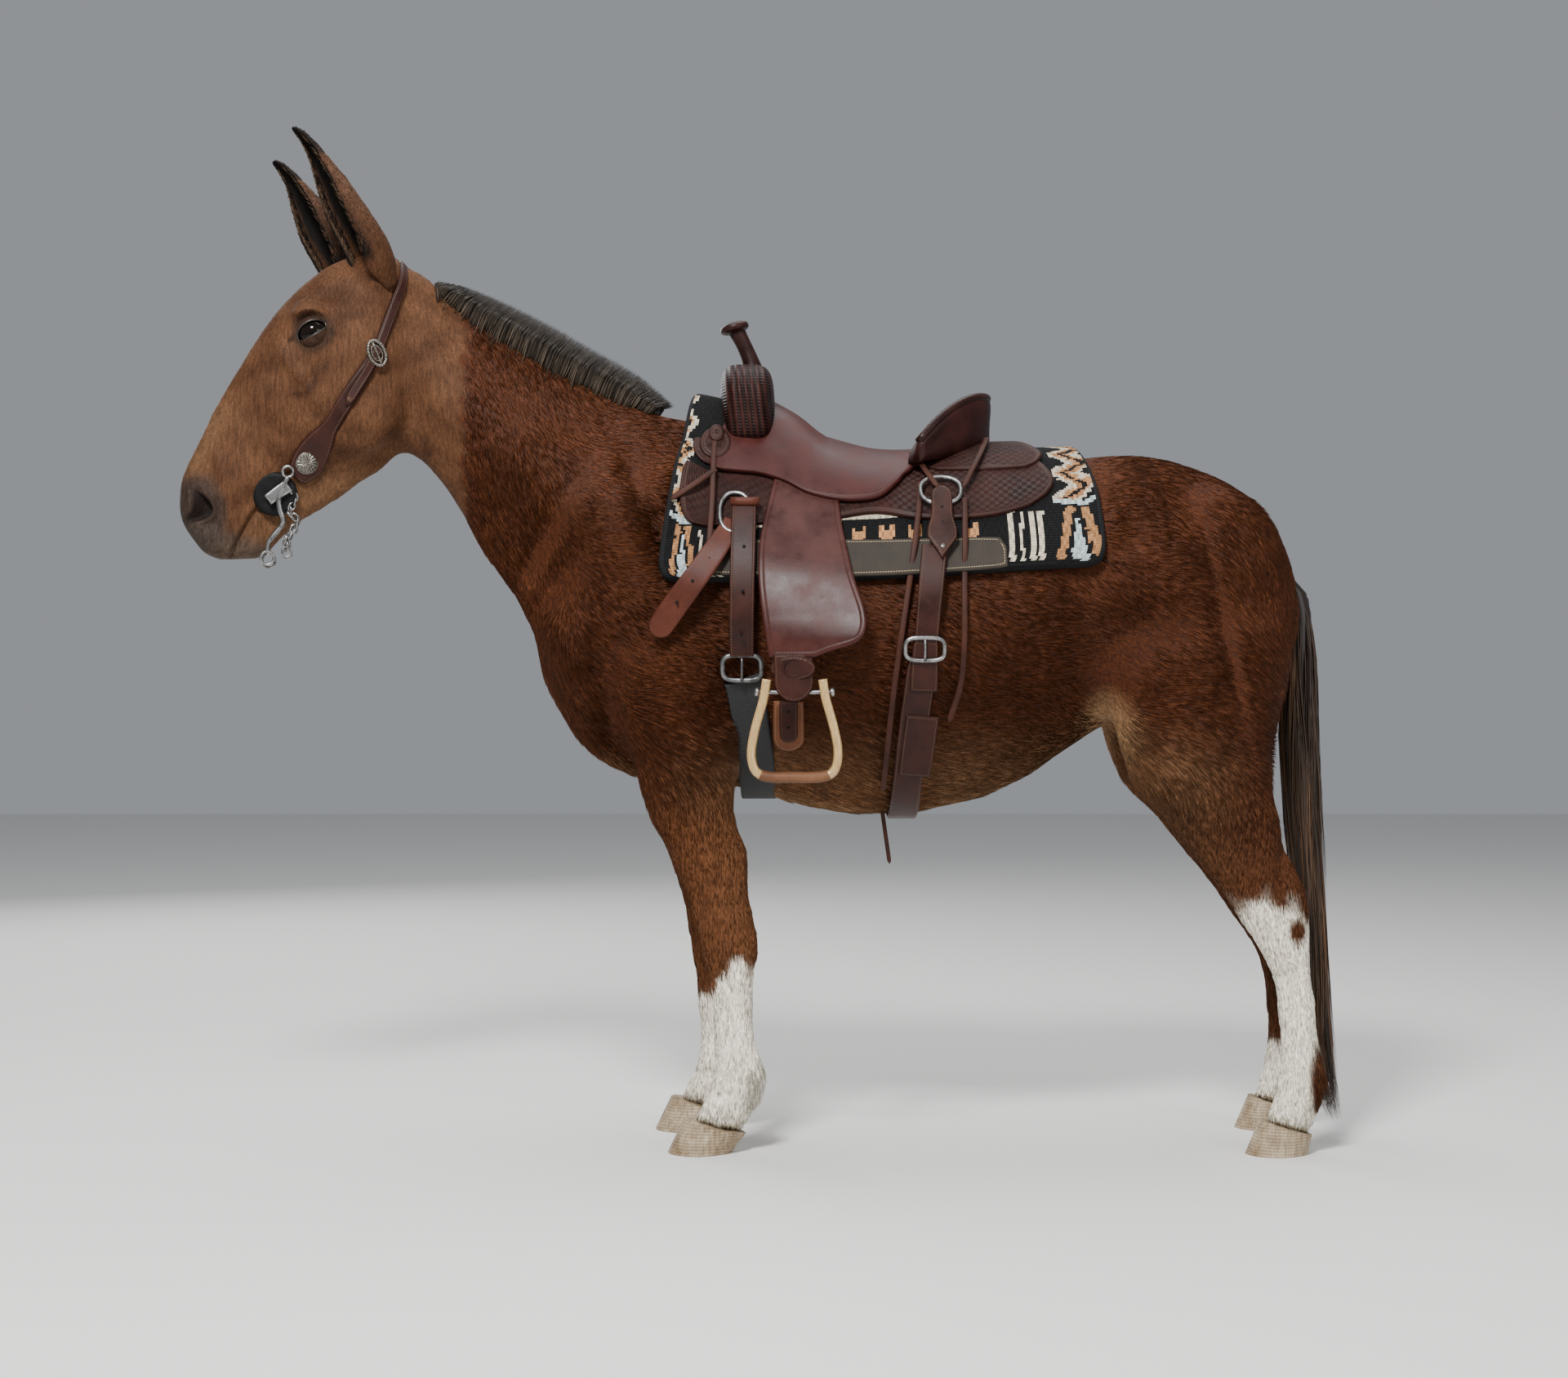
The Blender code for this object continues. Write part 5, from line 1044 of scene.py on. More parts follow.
def lashes(eye, word):
    """A row of lashes on the upper lid."""
    _, along, up, outward = eye
    chance = random.Random(3)
    blades = Blades()
    for step in range(LASHES):
        angle = math.pi * (0.12 + 0.76 * step / (LASHES - 1))
        root = on_lid(eye, angle)
        aside = 0.3 * math.cos(angle) + chance.uniform(-0.15, 0.15)
        way = (outward * 0.9 - up * 0.25 + along * aside).normalized()
        length = 0.010 * chance.uniform(0.7, 1.1)
        points = [root, root + way * length * 0.5, root + way * length + up * 0.0015]
        blades.add(points, outward, 0.0006, LASH_ROOT, LASH_TIP, (0, 0))
    placed(blades.object(f"lashes_{word}", MATERIALS["hair"]), "hair")


# Hair as slim closed blades


class Blades:
    """Collects many slim three-sided locks and makes one mesh of them."""

    def __init__(self):
        self.verts = []
        self.faces = []
        self.colours = []
        self.uvs = []

    def add(self, points, outwards, width, root_colour, tip_colour, place, flat=0.45):
        """One lock through points, tapered to its tip; place is its root on the unwrap."""
        count = len(points)
        base = len(self.verts)
        for index in range(count - 1):
            part = index / (count - 1)
            along = points[index + 1] - points[max(index - 1, 0)]
            across = along.cross(outwards)
            if across.length < 1e-9:
                across = along.orthogonal()
            across.normalize()
            half = across * width / 2 * (1.0 - 0.75 * part**1.6)
            out = across.cross(along).normalized() * width * flat * (1.0 - 0.7 * part)
            for corner, offset in enumerate((-half, half, out)):
                self.verts.append(points[index] + offset)
                self.colours.append([a + (b - a) * part for a, b in zip(root_colour, tip_colour)])
                spot = (place[0] + MAP_PATCH * (corner / 2 - 0.5), place[1] + MAP_PATCH * (part - 0.5))
                self.uvs.append(spot)
            if index:
                low = base + 3 * (index - 1)
                for a, b in ((0, 1), (1, 2), (2, 0)):
                    self.faces.append((low + a, low + b, low + 3 + b, low + 3 + a))
        self.verts.append(points[-1])
        self.colours.append(tip_colour)
        self.uvs.append((place[0], place[1] + MAP_PATCH * 0.5))
        last = base + 3 * (count - 2)
        tip = len(self.verts) - 1
        self.faces.extend(((last, last + 1, tip), (last + 1, last + 2, tip), (last + 2, last, tip)))
        self.faces.append((base, base + 2, base + 1))

    def object(self, name, finish):
        """All locks as one object with tints and the map for baking."""
        mesh = bpy.data.meshes.new(name)
        mesh.from_pydata(self.verts, [], self.faces)
        set_colour(mesh, np.array(self.colours)[:, :3])
        add_bake_map(mesh, np.array(self.uvs))
        return add_mesh(name, mesh, finish)


def add_bake_map(mesh, uvs):
    """Store one map place for each vertex as the map OFBake."""
    layer = mesh.uv_layers.new(name="OFBake")
    loops = np.empty(len(mesh.loops), int)
    mesh.loops.foreach_get("vertex_index", loops)
    layer.data.foreach_set("uv", uvs[loops].ravel())


def unwrap(points):
    """Places of skin points on an unwrap: trunk and neck, head and each leg as islands."""
    x, y, z = points[:, 0], points[:, 1], points[:, 2]
    uv = np.empty((len(points), 2))
    middle = 1.03 + 0.45 * smooth(-0.25, -0.65, x)
    uv[:, 0] = 0.02 + 0.56 * (x - HEAD_BACK) / 1.75
    uv[:, 1] = 0.52 + 0.46 * (0.5 + np.arctan2(y, z - middle) / (2 * math.pi))
    local = straightened(points)
    on_head = x < HEAD_BACK
    along = (local[:, 0] - HEAD_BACK) * -0.62 - (local[:, 2] - 1.45) * 0.78
    across = np.arctan2(local[:, 1], (local[:, 0] + 0.86) * -0.78 + (local[:, 2] - 1.45) * 0.62)
    uv[on_head, 0] = 0.62 + 0.34 * np.clip((along[on_head] + 0.30) / 0.85, 0, 1)
    uv[on_head, 1] = 0.54 + 0.42 * (0.5 + across[on_head] / (2 * math.pi))
    on_leg = (z < LEG_TOP) & (np.abs(y) > 0.03) & ((x < -0.04) | (x > 0.635))
    for index, (pick, cx, cy) in enumerate(
        (
            ((x < 0.3) & (y < 0), -0.09, -0.13),
            ((x < 0.3) & (y >= 0), -0.13, 0.13),
            ((x >= 0.3) & (y < 0), 0.93, -0.145),
            ((x >= 0.3) & (y >= 0), 0.96, 0.145),
        )
    ):
        here = on_leg & pick
        turn = np.arctan2(y[here] - cy, x[here] - cx)
        uv[here, 0] = 0.02 + 0.24 * index + 0.22 * (0.5 + turn / (2 * math.pi))
        uv[here, 1] = 0.02 + 0.46 * np.clip(z[here] / 0.8, 0, 1)
    return uv


# The coat


def lie(points, normals):
    """The way the hair lies at points, along the surface."""
    x, y, z = points[:, 0], points[:, 1], points[:, 2]
    way = np.tile((1.0, 0.0, -0.42), (len(x), 1))
    pulls = (
        # share of each place, and the pull on the hair: neck, chest, legs, rump and belly
        (smooth(-0.28, -0.45, x), (-0.55, 0, -0.75)),
        (smooth(-0.33, -0.42, x) * smooth(1.15, 1.0, z), (-0.8, 0, -0.9)),
        (smooth(0.78, 0.62, z) * ((x < 0.0) | (x > 0.62)), (-0.85, 0, -1.6)),
        (smooth(0.75, 0.95, x) * smooth(0.9, 1.05, z), (-0.35, 0, -0.8)),
        (smooth(0.74, 0.66, z) * (x > 0.0) * (x < 0.62), (0.1, 0, -0.35)),
    )
    for share, pull in pulls:
        way += share[:, None] * np.array(pull)
    swirl = 0.24 * np.sin(x * 19 + 2.2 * np.sin(z * 11)) + 0.14 * np.sin(z * 27 + x * 13 + 3 * y)
    way[:, 2] += swirl
    way[:, 0] -= 0.4 * swirl
    head = x < HEAD_BACK
    way[head] = np.array((-0.55, 0, -0.83))
    jaw = head & (straightened(points)[:, 0] > -0.80) & (z < 1.5)
    way[jaw] = np.array((0.25, 0, -0.95))
    way -= normals * np.sum(way * normals, axis=1)[:, None]
    length = np.linalg.norm(way, axis=1)[:, None]
    return way / np.maximum(length, 1e-6)


def coat_length(points):
    """How long the hair is at points."""
    x, y, z = points[:, 0], points[:, 1], points[:, 2]
    length = np.full(len(x), 0.036)
    length += 0.008 * smooth(0.80, 0.66, z) * (x > 0.0) * (x < 0.66)
    legs = smooth(0.75, 0.55, z) * ((x < 0.0) | (x > 0.62))
    length = length * (1 - legs) + 0.0180 * legs
    fetlock_back = smooth(0.235, 0.18, z) * smooth(0.085, 0.13, z)
    back_x = np.where(x < 0.4, np.where(y < 0, -0.030, -0.066), np.where(y < 0, 1.038, 1.068))
    length += 0.020 * fetlock_back * smooth(-0.012, 0.008, x - back_x)
    length = length * (1 - 0.80 * smooth(CLIP_X + 0.006, CLIP_X - 0.006, x))
    length *= 1 - 0.35 * smooth(-1.0, -1.08, x)
    return length


def strands(points, ways):
    """Light and dark locks that run with the hair, as a factor round one."""
    x, y, z = points[:, 0], points[:, 1], points[:, 2]
    across = x * ways[:, 2] - z * ways[:, 0]
    along = x * ways[:, 0] + z * ways[:, 2] + y * ways[:, 1]
    one = np.sin(across * 430 + 2.5 * np.sin(along * 38 + y * 9))
    two = np.sin(across * 1010 + 2.0 * np.sin(along * 61) + 40 * y)
    return 1.0 + 0.26 * one * (0.6 + 0.4 * np.sin(along * 22 + across * 31)) + 0.24 * two


def surface_samples(obj, count, weight, seed):
    """Random places on a mesh with their normals, in step with area times weight."""
    mesh = obj.data
    mesh.calc_loop_triangles()
    flat = np.empty(len(mesh.loop_triangles) * 3, int)
    mesh.loop_triangles.foreach_get("vertices", flat)
    triangles = flat.reshape(-1, 3)
    points = positions(mesh)
    normals = normals_of(mesh)
    corners = points[triangles]
    area = np.linalg.norm(np.cross(corners[:, 1] - corners[:, 0], corners[:, 2] - corners[:, 0]), axis=1)
    share = area * weight(corners.mean(axis=1))
    chance = np.random.default_rng(seed)
    picks = chance.choice(len(triangles), size=count, p=share / share.sum())
    a, b = chance.random(count), chance.random(count)
    over = a + b > 1
    a[over], b[over] = 1 - a[over], 1 - b[over]
    c = 1 - a - b
    mixed_points = sum(points[triangles[picks, k]] * w[:, None] for k, w in enumerate((a, b, c)))
    mixed_normals = sum(normals[triangles[picks, k]] * w[:, None] for k, w in enumerate((a, b, c)))
    mixed_normals /= np.linalg.norm(mixed_normals, axis=1)[:, None]
    return mixed_points, mixed_normals


def tuft_mesh(name, roots, normals, ways, lengths, widths, lifts, tints, tips, seed):
    """Many fine tufts as one mesh, each a slim closed spike that lies on the skin."""
    count = len(roots)
    chance = np.random.default_rng(seed)
    turn = chance.normal(0, TUFT_TURN, count)
    across = np.cross(normals, ways)
    ways = ways * np.cos(turn)[:, None] + across * np.sin(turn)[:, None]
    across = np.cross(normals, ways)
    lengths = lengths * chance.uniform(0.75, 1.2, count)
    lift = (lifts * chance.uniform(0.5, 1.5, count))[:, None]
    roots = roots - normals * TUFT_SINK
    tip = roots + ways * lengths[:, None] + normals * (lengths[:, None] * lift)
    half = across * (widths * 0.5)[:, None]
    rise = lengths[:, None] * lift * 0.5 + widths[:, None] * 0.45
    ridge = roots + ways * (lengths * 0.22)[:, None] + normals * rise
    verts = np.stack([roots - half, roots + half, ridge, tip], axis=1).reshape(-1, 3)
    faces = np.array(((0, 1, 2), (1, 3, 2), (3, 0, 2), (1, 0, 3)), int)
    loops = (faces[None] + np.arange(count)[:, None, None] * 4).reshape(-1)
    mesh = bpy.data.meshes.new(name)
    mesh.vertices.add(len(verts))
    mesh.vertices.foreach_set("co", verts.ravel())
    mesh.loops.add(len(loops))
    mesh.loops.foreach_set("vertex_index", loops)
    mesh.polygons.add(len(loops) // 3)
    mesh.polygons.foreach_set("loop_start", np.arange(0, len(loops), 3))
    mesh.update(calc_edges=True)
    # Painted shade: each tuft's root darker than its own colour
    dark = tints * TUFT_ROOT_SHADE
    colours = np.stack([dark, dark, tints, tips], axis=1).reshape(-1, 3)
    set_colour(mesh, np.clip(colours, 0, 1))
    place = unwrap(roots)
    patch = np.array(((-0.5, -0.5), (0.5, -0.5), (0, 0), (0, 0.5))) * MAP_PATCH
    add_bake_map(mesh, (place[:, None, :] + patch[None]).reshape(-1, 2))
    return add_mesh(name, mesh, MATERIALS["coat"])


def clear_of_tack(points):
    """False under the pad and the saddle, where no coat shows."""
    low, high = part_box("blanket")
    inside = (points[:, 0] > low.x + 0.03) & (points[:, 0] < high.x - 0.02) & (points[:, 2] > low.z + 0.03)
    return ~inside


# How deep a tuft is rooted, how far it may turn aside, and the painted shade at its root, where the hairs
# shade each other
TUFT_SINK = 0.0012
TUFT_TURN = 0.085
TUFT_ROOT_SHADE = 0.72
# How far the coat keeps clear of the lids and of the nostrils' middles
LID_CLEARANCE = 0.006
NOSTRIL_CLEARANCE = 0.030
# Zones of the coat: name, number of tufts, width, lift off the skin
COAT_ZONES = (
    ("neck", 42000, 0.0028, 0.070),
    ("barrel", 42000, 0.0030, 0.060),
    ("rump", 42000, 0.0030, 0.058),
    ("breast", 22000, 0.0030, 0.080),
    ("forelegs", 31000, 0.0022, 0.105),
    ("hindlegs", 35000, 0.0024, 0.095),
    ("head", 42000, 0.0013, 0.070),
)


def zone_weight(name):
    """Where a zone's tufts grow, as a function of places."""

    def weight(points):
        x, z = points[:, 0], points[:, 2]
        legs = (z < LEG_TOP) & ((x < 0.02) | (x > 0.66))
        body = ~legs & (x > CLIP_X)
        pick = {
            "neck": body & (x < -0.24) & (z > 1.06),
            "breast": body & (x < -0.10) & ((z <= 1.06) | (x >= -0.24)),
            "barrel": body & (x >= -0.10) & (x < 0.60),
            "rump": body & (x >= 0.60),
            "forelegs": legs & (x < 0.4),
            "hindlegs": legs & (x >= 0.4),
            "head": (x <= CLIP_X) & (z > 0.8),
        }[name]
        return pick * clear_of_tack(points) * 1.0

    return weight


def coat(body):
    """Tufts over the skin, zone by zone."""
    for index, (name, count, width, lift) in enumerate(COAT_ZONES):
        points, normals = surface_samples(body, count, zone_weight(name), 100 + index)
        keep = np.ones(len(points), bool)
        for side, _ in SIDES:
            middle = np.array(eye_frame(side)[0])
            keep &= np.linalg.norm(points - middle, axis=1) > EYE_RADIUS + LID_CLEARANCE
            nose = np.array(on_side(NOSTRIL_PLACE, side))
            keep &= np.linalg.norm(points - nose, axis=1) > NOSTRIL_CLEARANCE
        points, normals = points[keep], normals[keep]
        ways = lie(points, normals)
        lengths = coat_length(points)
        chance = np.random.default_rng(200 + index)
        shade = (chance.uniform(0.74, 1.28, len(points)) * strands(points, ways))[:, None]
        tints = coat_tint(points) * shade
        tips = coat_tint(points, tips=True) * shade
        widths = width * chance.uniform(0.7, 1.3, len(points))
        lifts = np.full(len(points), lift)
        grown = (points, normals, ways, lengths, widths, lifts, tints, tips)
        placed(tuft_mesh(f"coat_{name}", *grown, 300 + index), "coat")


# Ears


# Ears: base, tip and facing; radius and forward bend by share of the length
EAR_LEFT = ((-0.757, -0.060, 1.698), (-0.920, -0.078, 1.956), (-0.94, -0.34, 0.05))
EAR_RIGHT = ((-0.812, 0.060, 1.696), (-0.960, 0.084, 1.922), (-0.92, -0.38, 0.05))
EAR_RADII = (
    (-0.16, 0.012), (0.0, 0.036), (0.10, 0.0430), (0.20, 0.0450), (0.33, 0.0455), (0.46, 0.0450),
    (0.56, 0.041), (0.65, 0.034), (0.76, 0.0245), (0.85, 0.0180), (0.93, 0.0130), (1.0, 0.0030),
)
EAR_BEND = (
    (0.0, 0.0), (0.2, 0.003), (0.46, 0.0075), (0.65, 0.002), (0.82, -0.006), (0.93, -0.004), (1.0, 0.0),
)
EAR_THICKNESS = 0.0040
EAR_ROWS = 44
EAR_COLUMNS = 26
EAR_SHORT_HAIRS = 3200
EAR_LONG_HAIRS = 1000


def ear_point(base, tip, facing, part, turn):
    """A point of the ear's leaf and its outward direction; turn runs from -1 to 1 round it."""
    base, tip, facing = Vector(base), Vector(tip), Vector(facing)
    along = (tip - base).normalized()
    front = (facing - along * facing.dot(along)).normalized()
    across = along.cross(front)
    radius = float(np.interp(part, *zip(*EAR_RADII)))
    spread = math.radians(float(np.interp(part, (0, 0.2, 0.5, 1), (150, 118, 95, 70))))
    centre = base.lerp(tip, part) + front * float(np.interp(part, *zip(*EAR_BEND)))
    angle = spread * turn
    spoke = across * math.sin(angle) - front * math.cos(angle)
    return turned(centre + spoke * radius), (turned(centre + spoke) - turned(centre)).normalized()


def ears():
    """Long cupped ears: dark inside with pale hairs along the edges and dark tips."""
    for word, place in (("left", EAR_LEFT), ("right", EAR_RIGHT)):
        bm = bmesh.new()
        grid = []
        for i in range(EAR_ROWS + 1):
            part = 1.16 * i / EAR_ROWS - 0.16
            row = [ear_point(*place, part, 2 * k / EAR_COLUMNS - 1)[0] for k in range(EAR_COLUMNS + 1)]
            grid.append([bm.verts.new(point) for point in row])
        for one, two in zip(grid, grid[1:]):
            for k in range(EAR_COLUMNS):
                bm.faces.new((one[k], one[k + 1], two[k + 1], two[k]))
        bmesh.ops.recalc_face_normals(bm, faces=bm.faces[:])
        ear = add_object(f"ear_skin_{word}", bm, MATERIALS["skin"])
        shell = ear.modifiers.new("shell", "SOLIDIFY")
        shell.thickness = EAR_THICKNESS
        shell.offset = 0.0
        apply_modifiers(ear)
        set_colour(ear.data, ear_tint(ear.data, place))
        placed(ear, "coat", f"ear_{word}")
        ear_hair(place, word)


def ear_tint(mesh, place):
    """The colour of an ear: dark inside and at the tip."""
    points = positions(mesh)
    base = np.array(turned(place[0]))
    tip = np.array(turned(place[1]))
    way = tip - base
    part = (points - base) @ way / (way @ way)
    colour = mixed(CLIPPED_COAT, EAR_COAT, smooth(0.15, 0.6, part))
    colour = mixed(colour, EAR_TIP, smooth(0.72, 0.90, part))
    front = np.array(turned_way(place[2]))
    centre = base + np.outer(part, way)
    inner = smooth(-0.012, 0.004, (points - centre) @ front) * smooth(0.10, 0.22, part)
    facing = smooth(-0.1, 0.3, normals_of(mesh) @ front)
    colour = mixed(colour, EAR_INSIDE, facing * smooth(0.02, 0.10, part))
    return mixed(colour, EAR_RIM, 0.25 * inner * (1 - facing))


def shaken(chance, most):
    """A small random vector."""
    return Vector([chance.uniform(-most, most) for _ in range(3)])


def ear_hair(place, word):
    """Hair on the ear: short outside, long pale fringes inside the edges."""
    chance = random.Random(11 if word == "left" else 12)
    blades = Blades()
    tip_way = turned(place[1]) - turned(place[0])
    tip_way.normalize()
    for _ in range(EAR_SHORT_HAIRS):
        part = chance.uniform(0.02, 0.985)
        turn = chance.uniform(-1, 1)
        root, out = ear_point(*place, part, turn)
        root = root + out * (EAR_THICKNESS / 2 - 0.0008)
        way = (tip_way + out * 0.16 + shaken(chance, 0.12)).normalized()
        length = chance.uniform(0.006, 0.010) * (1.1 - 0.4 * part)
        shade = chance.uniform(0.7, 1.3)
        tan = np.array(CLIPPED_COAT) * (1 - part) + np.array(EAR_HAIR) * part
        if part > 0.76:
            tan = np.array(EAR_TIP_HAIR)
        tint = tuple(tan * shade)
        place_uv = (0.64 + 0.30 * part, 0.965 + 0.012 * turn)
        points = [root, root + way * length * 0.5, root + way * length]
        blades.add(points, out, 0.0022, tint, tint, place_uv)
    for _ in range(EAR_LONG_HAIRS):
        part = chance.uniform(0.06, 0.93)
        side = chance.choice((-1, 1))
        turn = side * chance.uniform(0.80, 1.0)
        root, out = ear_point(*place, part, turn)
        inward = -out
        root = root + inward * (EAR_THICKNESS / 2 - 0.0005)
        way = (tip_way * 0.9 + inward * 0.45 + shaken(chance, 0.2)).normalized()
        length = chance.uniform(0.012, 0.024) * (1 - 0.4 * part)
        pale = EAR_FRINGE if abs(turn) > 0.93 else EAR_INSIDE_HAIR
        shade = chance.uniform(0.6, 1.2)
        tint = tuple(c * shade for c in pale)
        points = [root, root + way * length * 0.5, root + way * length + tip_way * 0.003]
        blades.add(points, inward, 0.0012, tint, tint, (0.64 + 0.30 * part, 0.99))
    placed(blades.object(f"ear_coat_{word}", MATERIALS["coat"]), "coat")


# Mane and tail


# The crest: x, height of the skin and height of the hair's tips
MANE = (
    (-0.632, 1.650, 1.680),
    (-0.568, 1.615, 1.664),
    (-0.500, 1.575, 1.636),
    (-0.426, 1.530, 1.600),
    (-0.340, 1.480, 1.552),
    (-0.246, 1.430, 1.498),
    (-0.180, 1.400, 1.440),
)
MANE_HAIRS = 6300


def mane(tree):
    """Thousands of short upright hairs along the crest, leaning back."""
    chance = random.Random(21)
    blades = Blades()
    rows = resample(MANE, 200)
    for _ in range(MANE_HAIRS):
        x, _, top = rows[chance.randrange(len(rows))]
        x += chance.uniform(-0.004, 0.004)
        y = chance.gauss(0, 0.008)
        lean = 0.046 * min(1.0, (x - MANE[0][0]) / 0.05 + 0.15)
        root = tree.ray_cast(Vector((x - lean, y, top + 0.1)), Vector((0, 0, -1)))[0]
        if root is None:
            continue
        height = top + chance.uniform(-0.004, 0.001)
        tip = Vector((x + chance.uniform(-0.004, 0.004), y * 1.5 + chance.gauss(0, 0.002), height))
        if tip.z < root.z + 0.008:
            continue
        middle = root.lerp(tip, 0.5) + Vector((-0.006, y * 0.2, 0.003))
        shade = chance.choice((0.35, 0.6, 1.0, 1.7))
        low = tuple(c * shade for c in MANE_ROOT)
        high = tuple(c * shade for c in MANE_TIP)
        start = root - Vector((0, 0, 0.004))
        out = Vector((0, 1 if y > 0 else -1, 0.2))
        blades.add([start, start.lerp(middle, 0.6), middle, tip], out, 0.0021, low, high, (0.3, 0.5))
    placed(blades.object("mane_hair", MATERIALS["hair"]), "hair", "mane")
    placed(mane_core(tree, rows), "hair")


def mane_core(tree, rows):
    """A low dark ridge under the mane that closes the gaps among the hairs."""
    rings = []
    for x, _, top in rows[6:-2:4]:
        root = tree.ray_cast(Vector((x - 0.02, 0, top + 0.1)), Vector((0, 0, -1)))[0]
        crown = root + Vector((0.014, 0, max(0.4 * (top - root.z), 0.006)))
        feet = [root + Vector((0, y, -0.006)) for y in (-0.011, 0.011)]
        rings.append([*feet, crown + Vector((0, 0.004, 0)), crown + Vector((0, -0.004, 0))])
    obj = add_object("mane_core", open_loft(rings), MATERIALS["hair"])
    set_colour(obj.data, MANE_CORE)
    return obj


def open_loft(rings):
    """A bmesh through rings, with both ends closed."""
    bm = bmesh.new()
    loops = [[bm.verts.new(point) for point in ring] for ring in rings]
    for one, two in zip(loops, loops[1:]):
        for k in range(len(one)):
            after = (k + 1) % len(one)
            bm.faces.new((one[k], one[after], two[after], two[k]))
    bm.faces.new(loops[0])
    bm.faces.new(loops[-1])
    bmesh.ops.recalc_face_normals(bm, faces=bm.faces[:])
    return bm


# The tail: x, z, half depth and half width
TAIL = (
    (1.025, 1.140, 0.026, 0.030),
    (1.048, 1.060, 0.030, 0.036),
    (1.047, 0.950, 0.036, 0.042),
    (1.046, 0.800, 0.037, 0.048),
    (1.053, 0.650, 0.034, 0.050),
    (1.066, 0.500, 0.029, 0.050),
    (1.072, 0.350, 0.031, 0.050),
    (1.080, 0.200, 0.032, 0.046),
    (1.096, 0.090, 0.026, 0.036),
    (1.120, 0.035, 0.010, 0.014),
)
TAIL_PIECES = 2
TAIL_STRANDS = 126
STRAND_HAIRS = 10
HAIR_STEPS = 9


def tail_place(z, around, reach):
    """A point in the tail at a height, an angle and a share of its half width."""
    heights = [row[1] for row in reversed(TAIL)]
    x, depth, width = (float(np.interp(z, heights, [row[k] for row in reversed(TAIL)])) for k in (0, 2, 3))
    x -= 0.45 * max(0.0, z - 1.06)
    return Vector((x + depth * reach * math.cos(around), width * reach * math.sin(around), z))


def add_strand(blades, chance, strand):
    """One loose strand of the tail, hair by hair."""
    around = chance.uniform(0, 2 * math.pi)
    start = chance.choice((chance.uniform(1.04, 1.15), chance.uniform(0.62, 1.12)))
    end = max(0.042, start - chance.uniform(0.45, 1.05))
    sway = chance.uniform(-0.5, 0.5)
    outer = chance.uniform(0.55, 0.98)
    tone = TAIL_WARM if chance.random() > 0.72 else TAIL_DARK
    for _ in range(STRAND_HAIRS):
        points = []
        shift = Vector((chance.gauss(0, 0.004), chance.gauss(0, 0.004), 0))
        low = max(0.038, end + chance.uniform(-0.02, 0.10))
        turn = around + chance.gauss(0, 0.10)
        for step in range(HAIR_STEPS):
            part = step / (HAIR_STEPS - 1)
            z = start + (low - start) * part
            reach = 0.35 + (outer - 0.35) * min(1, part * 2.4)
            wobble = 0.10 * math.sin(9 * part + strand)
            points.append(tail_place(z, turn + sway * part + wobble, reach) + shift * part)
        shade = chance.uniform(0.55, 1.35)
        tint = tuple(c * shade for c in tone)
        tip = tuple(c * 0.8 for c in tint)
        out = Vector((math.cos(turn), math.sin(turn), 0))
        blades.add(points, out, 0.0034, tint, tip, (0.5, 0.7))


def tail():
    """Long hairs in loose strands that hang to the hocks and below, round a slim core painted darker than any
    hair as the shade among the strands.
    """
    for piece in range(TAIL_PIECES):
        chance = random.Random(31 + piece)
        blades = Blades()
        for strand in range(TAIL_STRANDS):
            add_strand(blades, chance, strand)
        hair = blades.object(f"tail_hair_{piece}", MATERIALS["hair"])
        placed(hair, "hair", *(["tail"] if piece == 0 else []))
    # The core, darker than any hair, is painted shade inside the tail
    rings = []
    for z in np.linspace(1.15, 0.16, 26):
        slim = 0.72 * min(1.0, (z - 0.1) / 0.4, (1.165 - z) / 0.07)
        rings.append([tail_place(z, a, slim) for a in np.linspace(0, 2 * math.pi, 15)[:-1]])
    core = add_object("tail_core", open_loft(rings), MATERIALS["hair"])
    set_colour(core.data, TAIL_CORE_SHADE)
    placed(core, "hair")


# Hooves


def hooves():
    """The hooves keep their shape and get their horn."""
    for kind in ("fore", "hind"):
        for word in ("left", "right"):
            obj = NODES[f"{kind}_hoof_{word}"]
            obj.data.materials.clear()
            obj.data.materials.append(MATERIALS["hoof"])


# The tack


# Height of the line through the trunk from which the layers of tack are measured
CORE_Z = 1.03


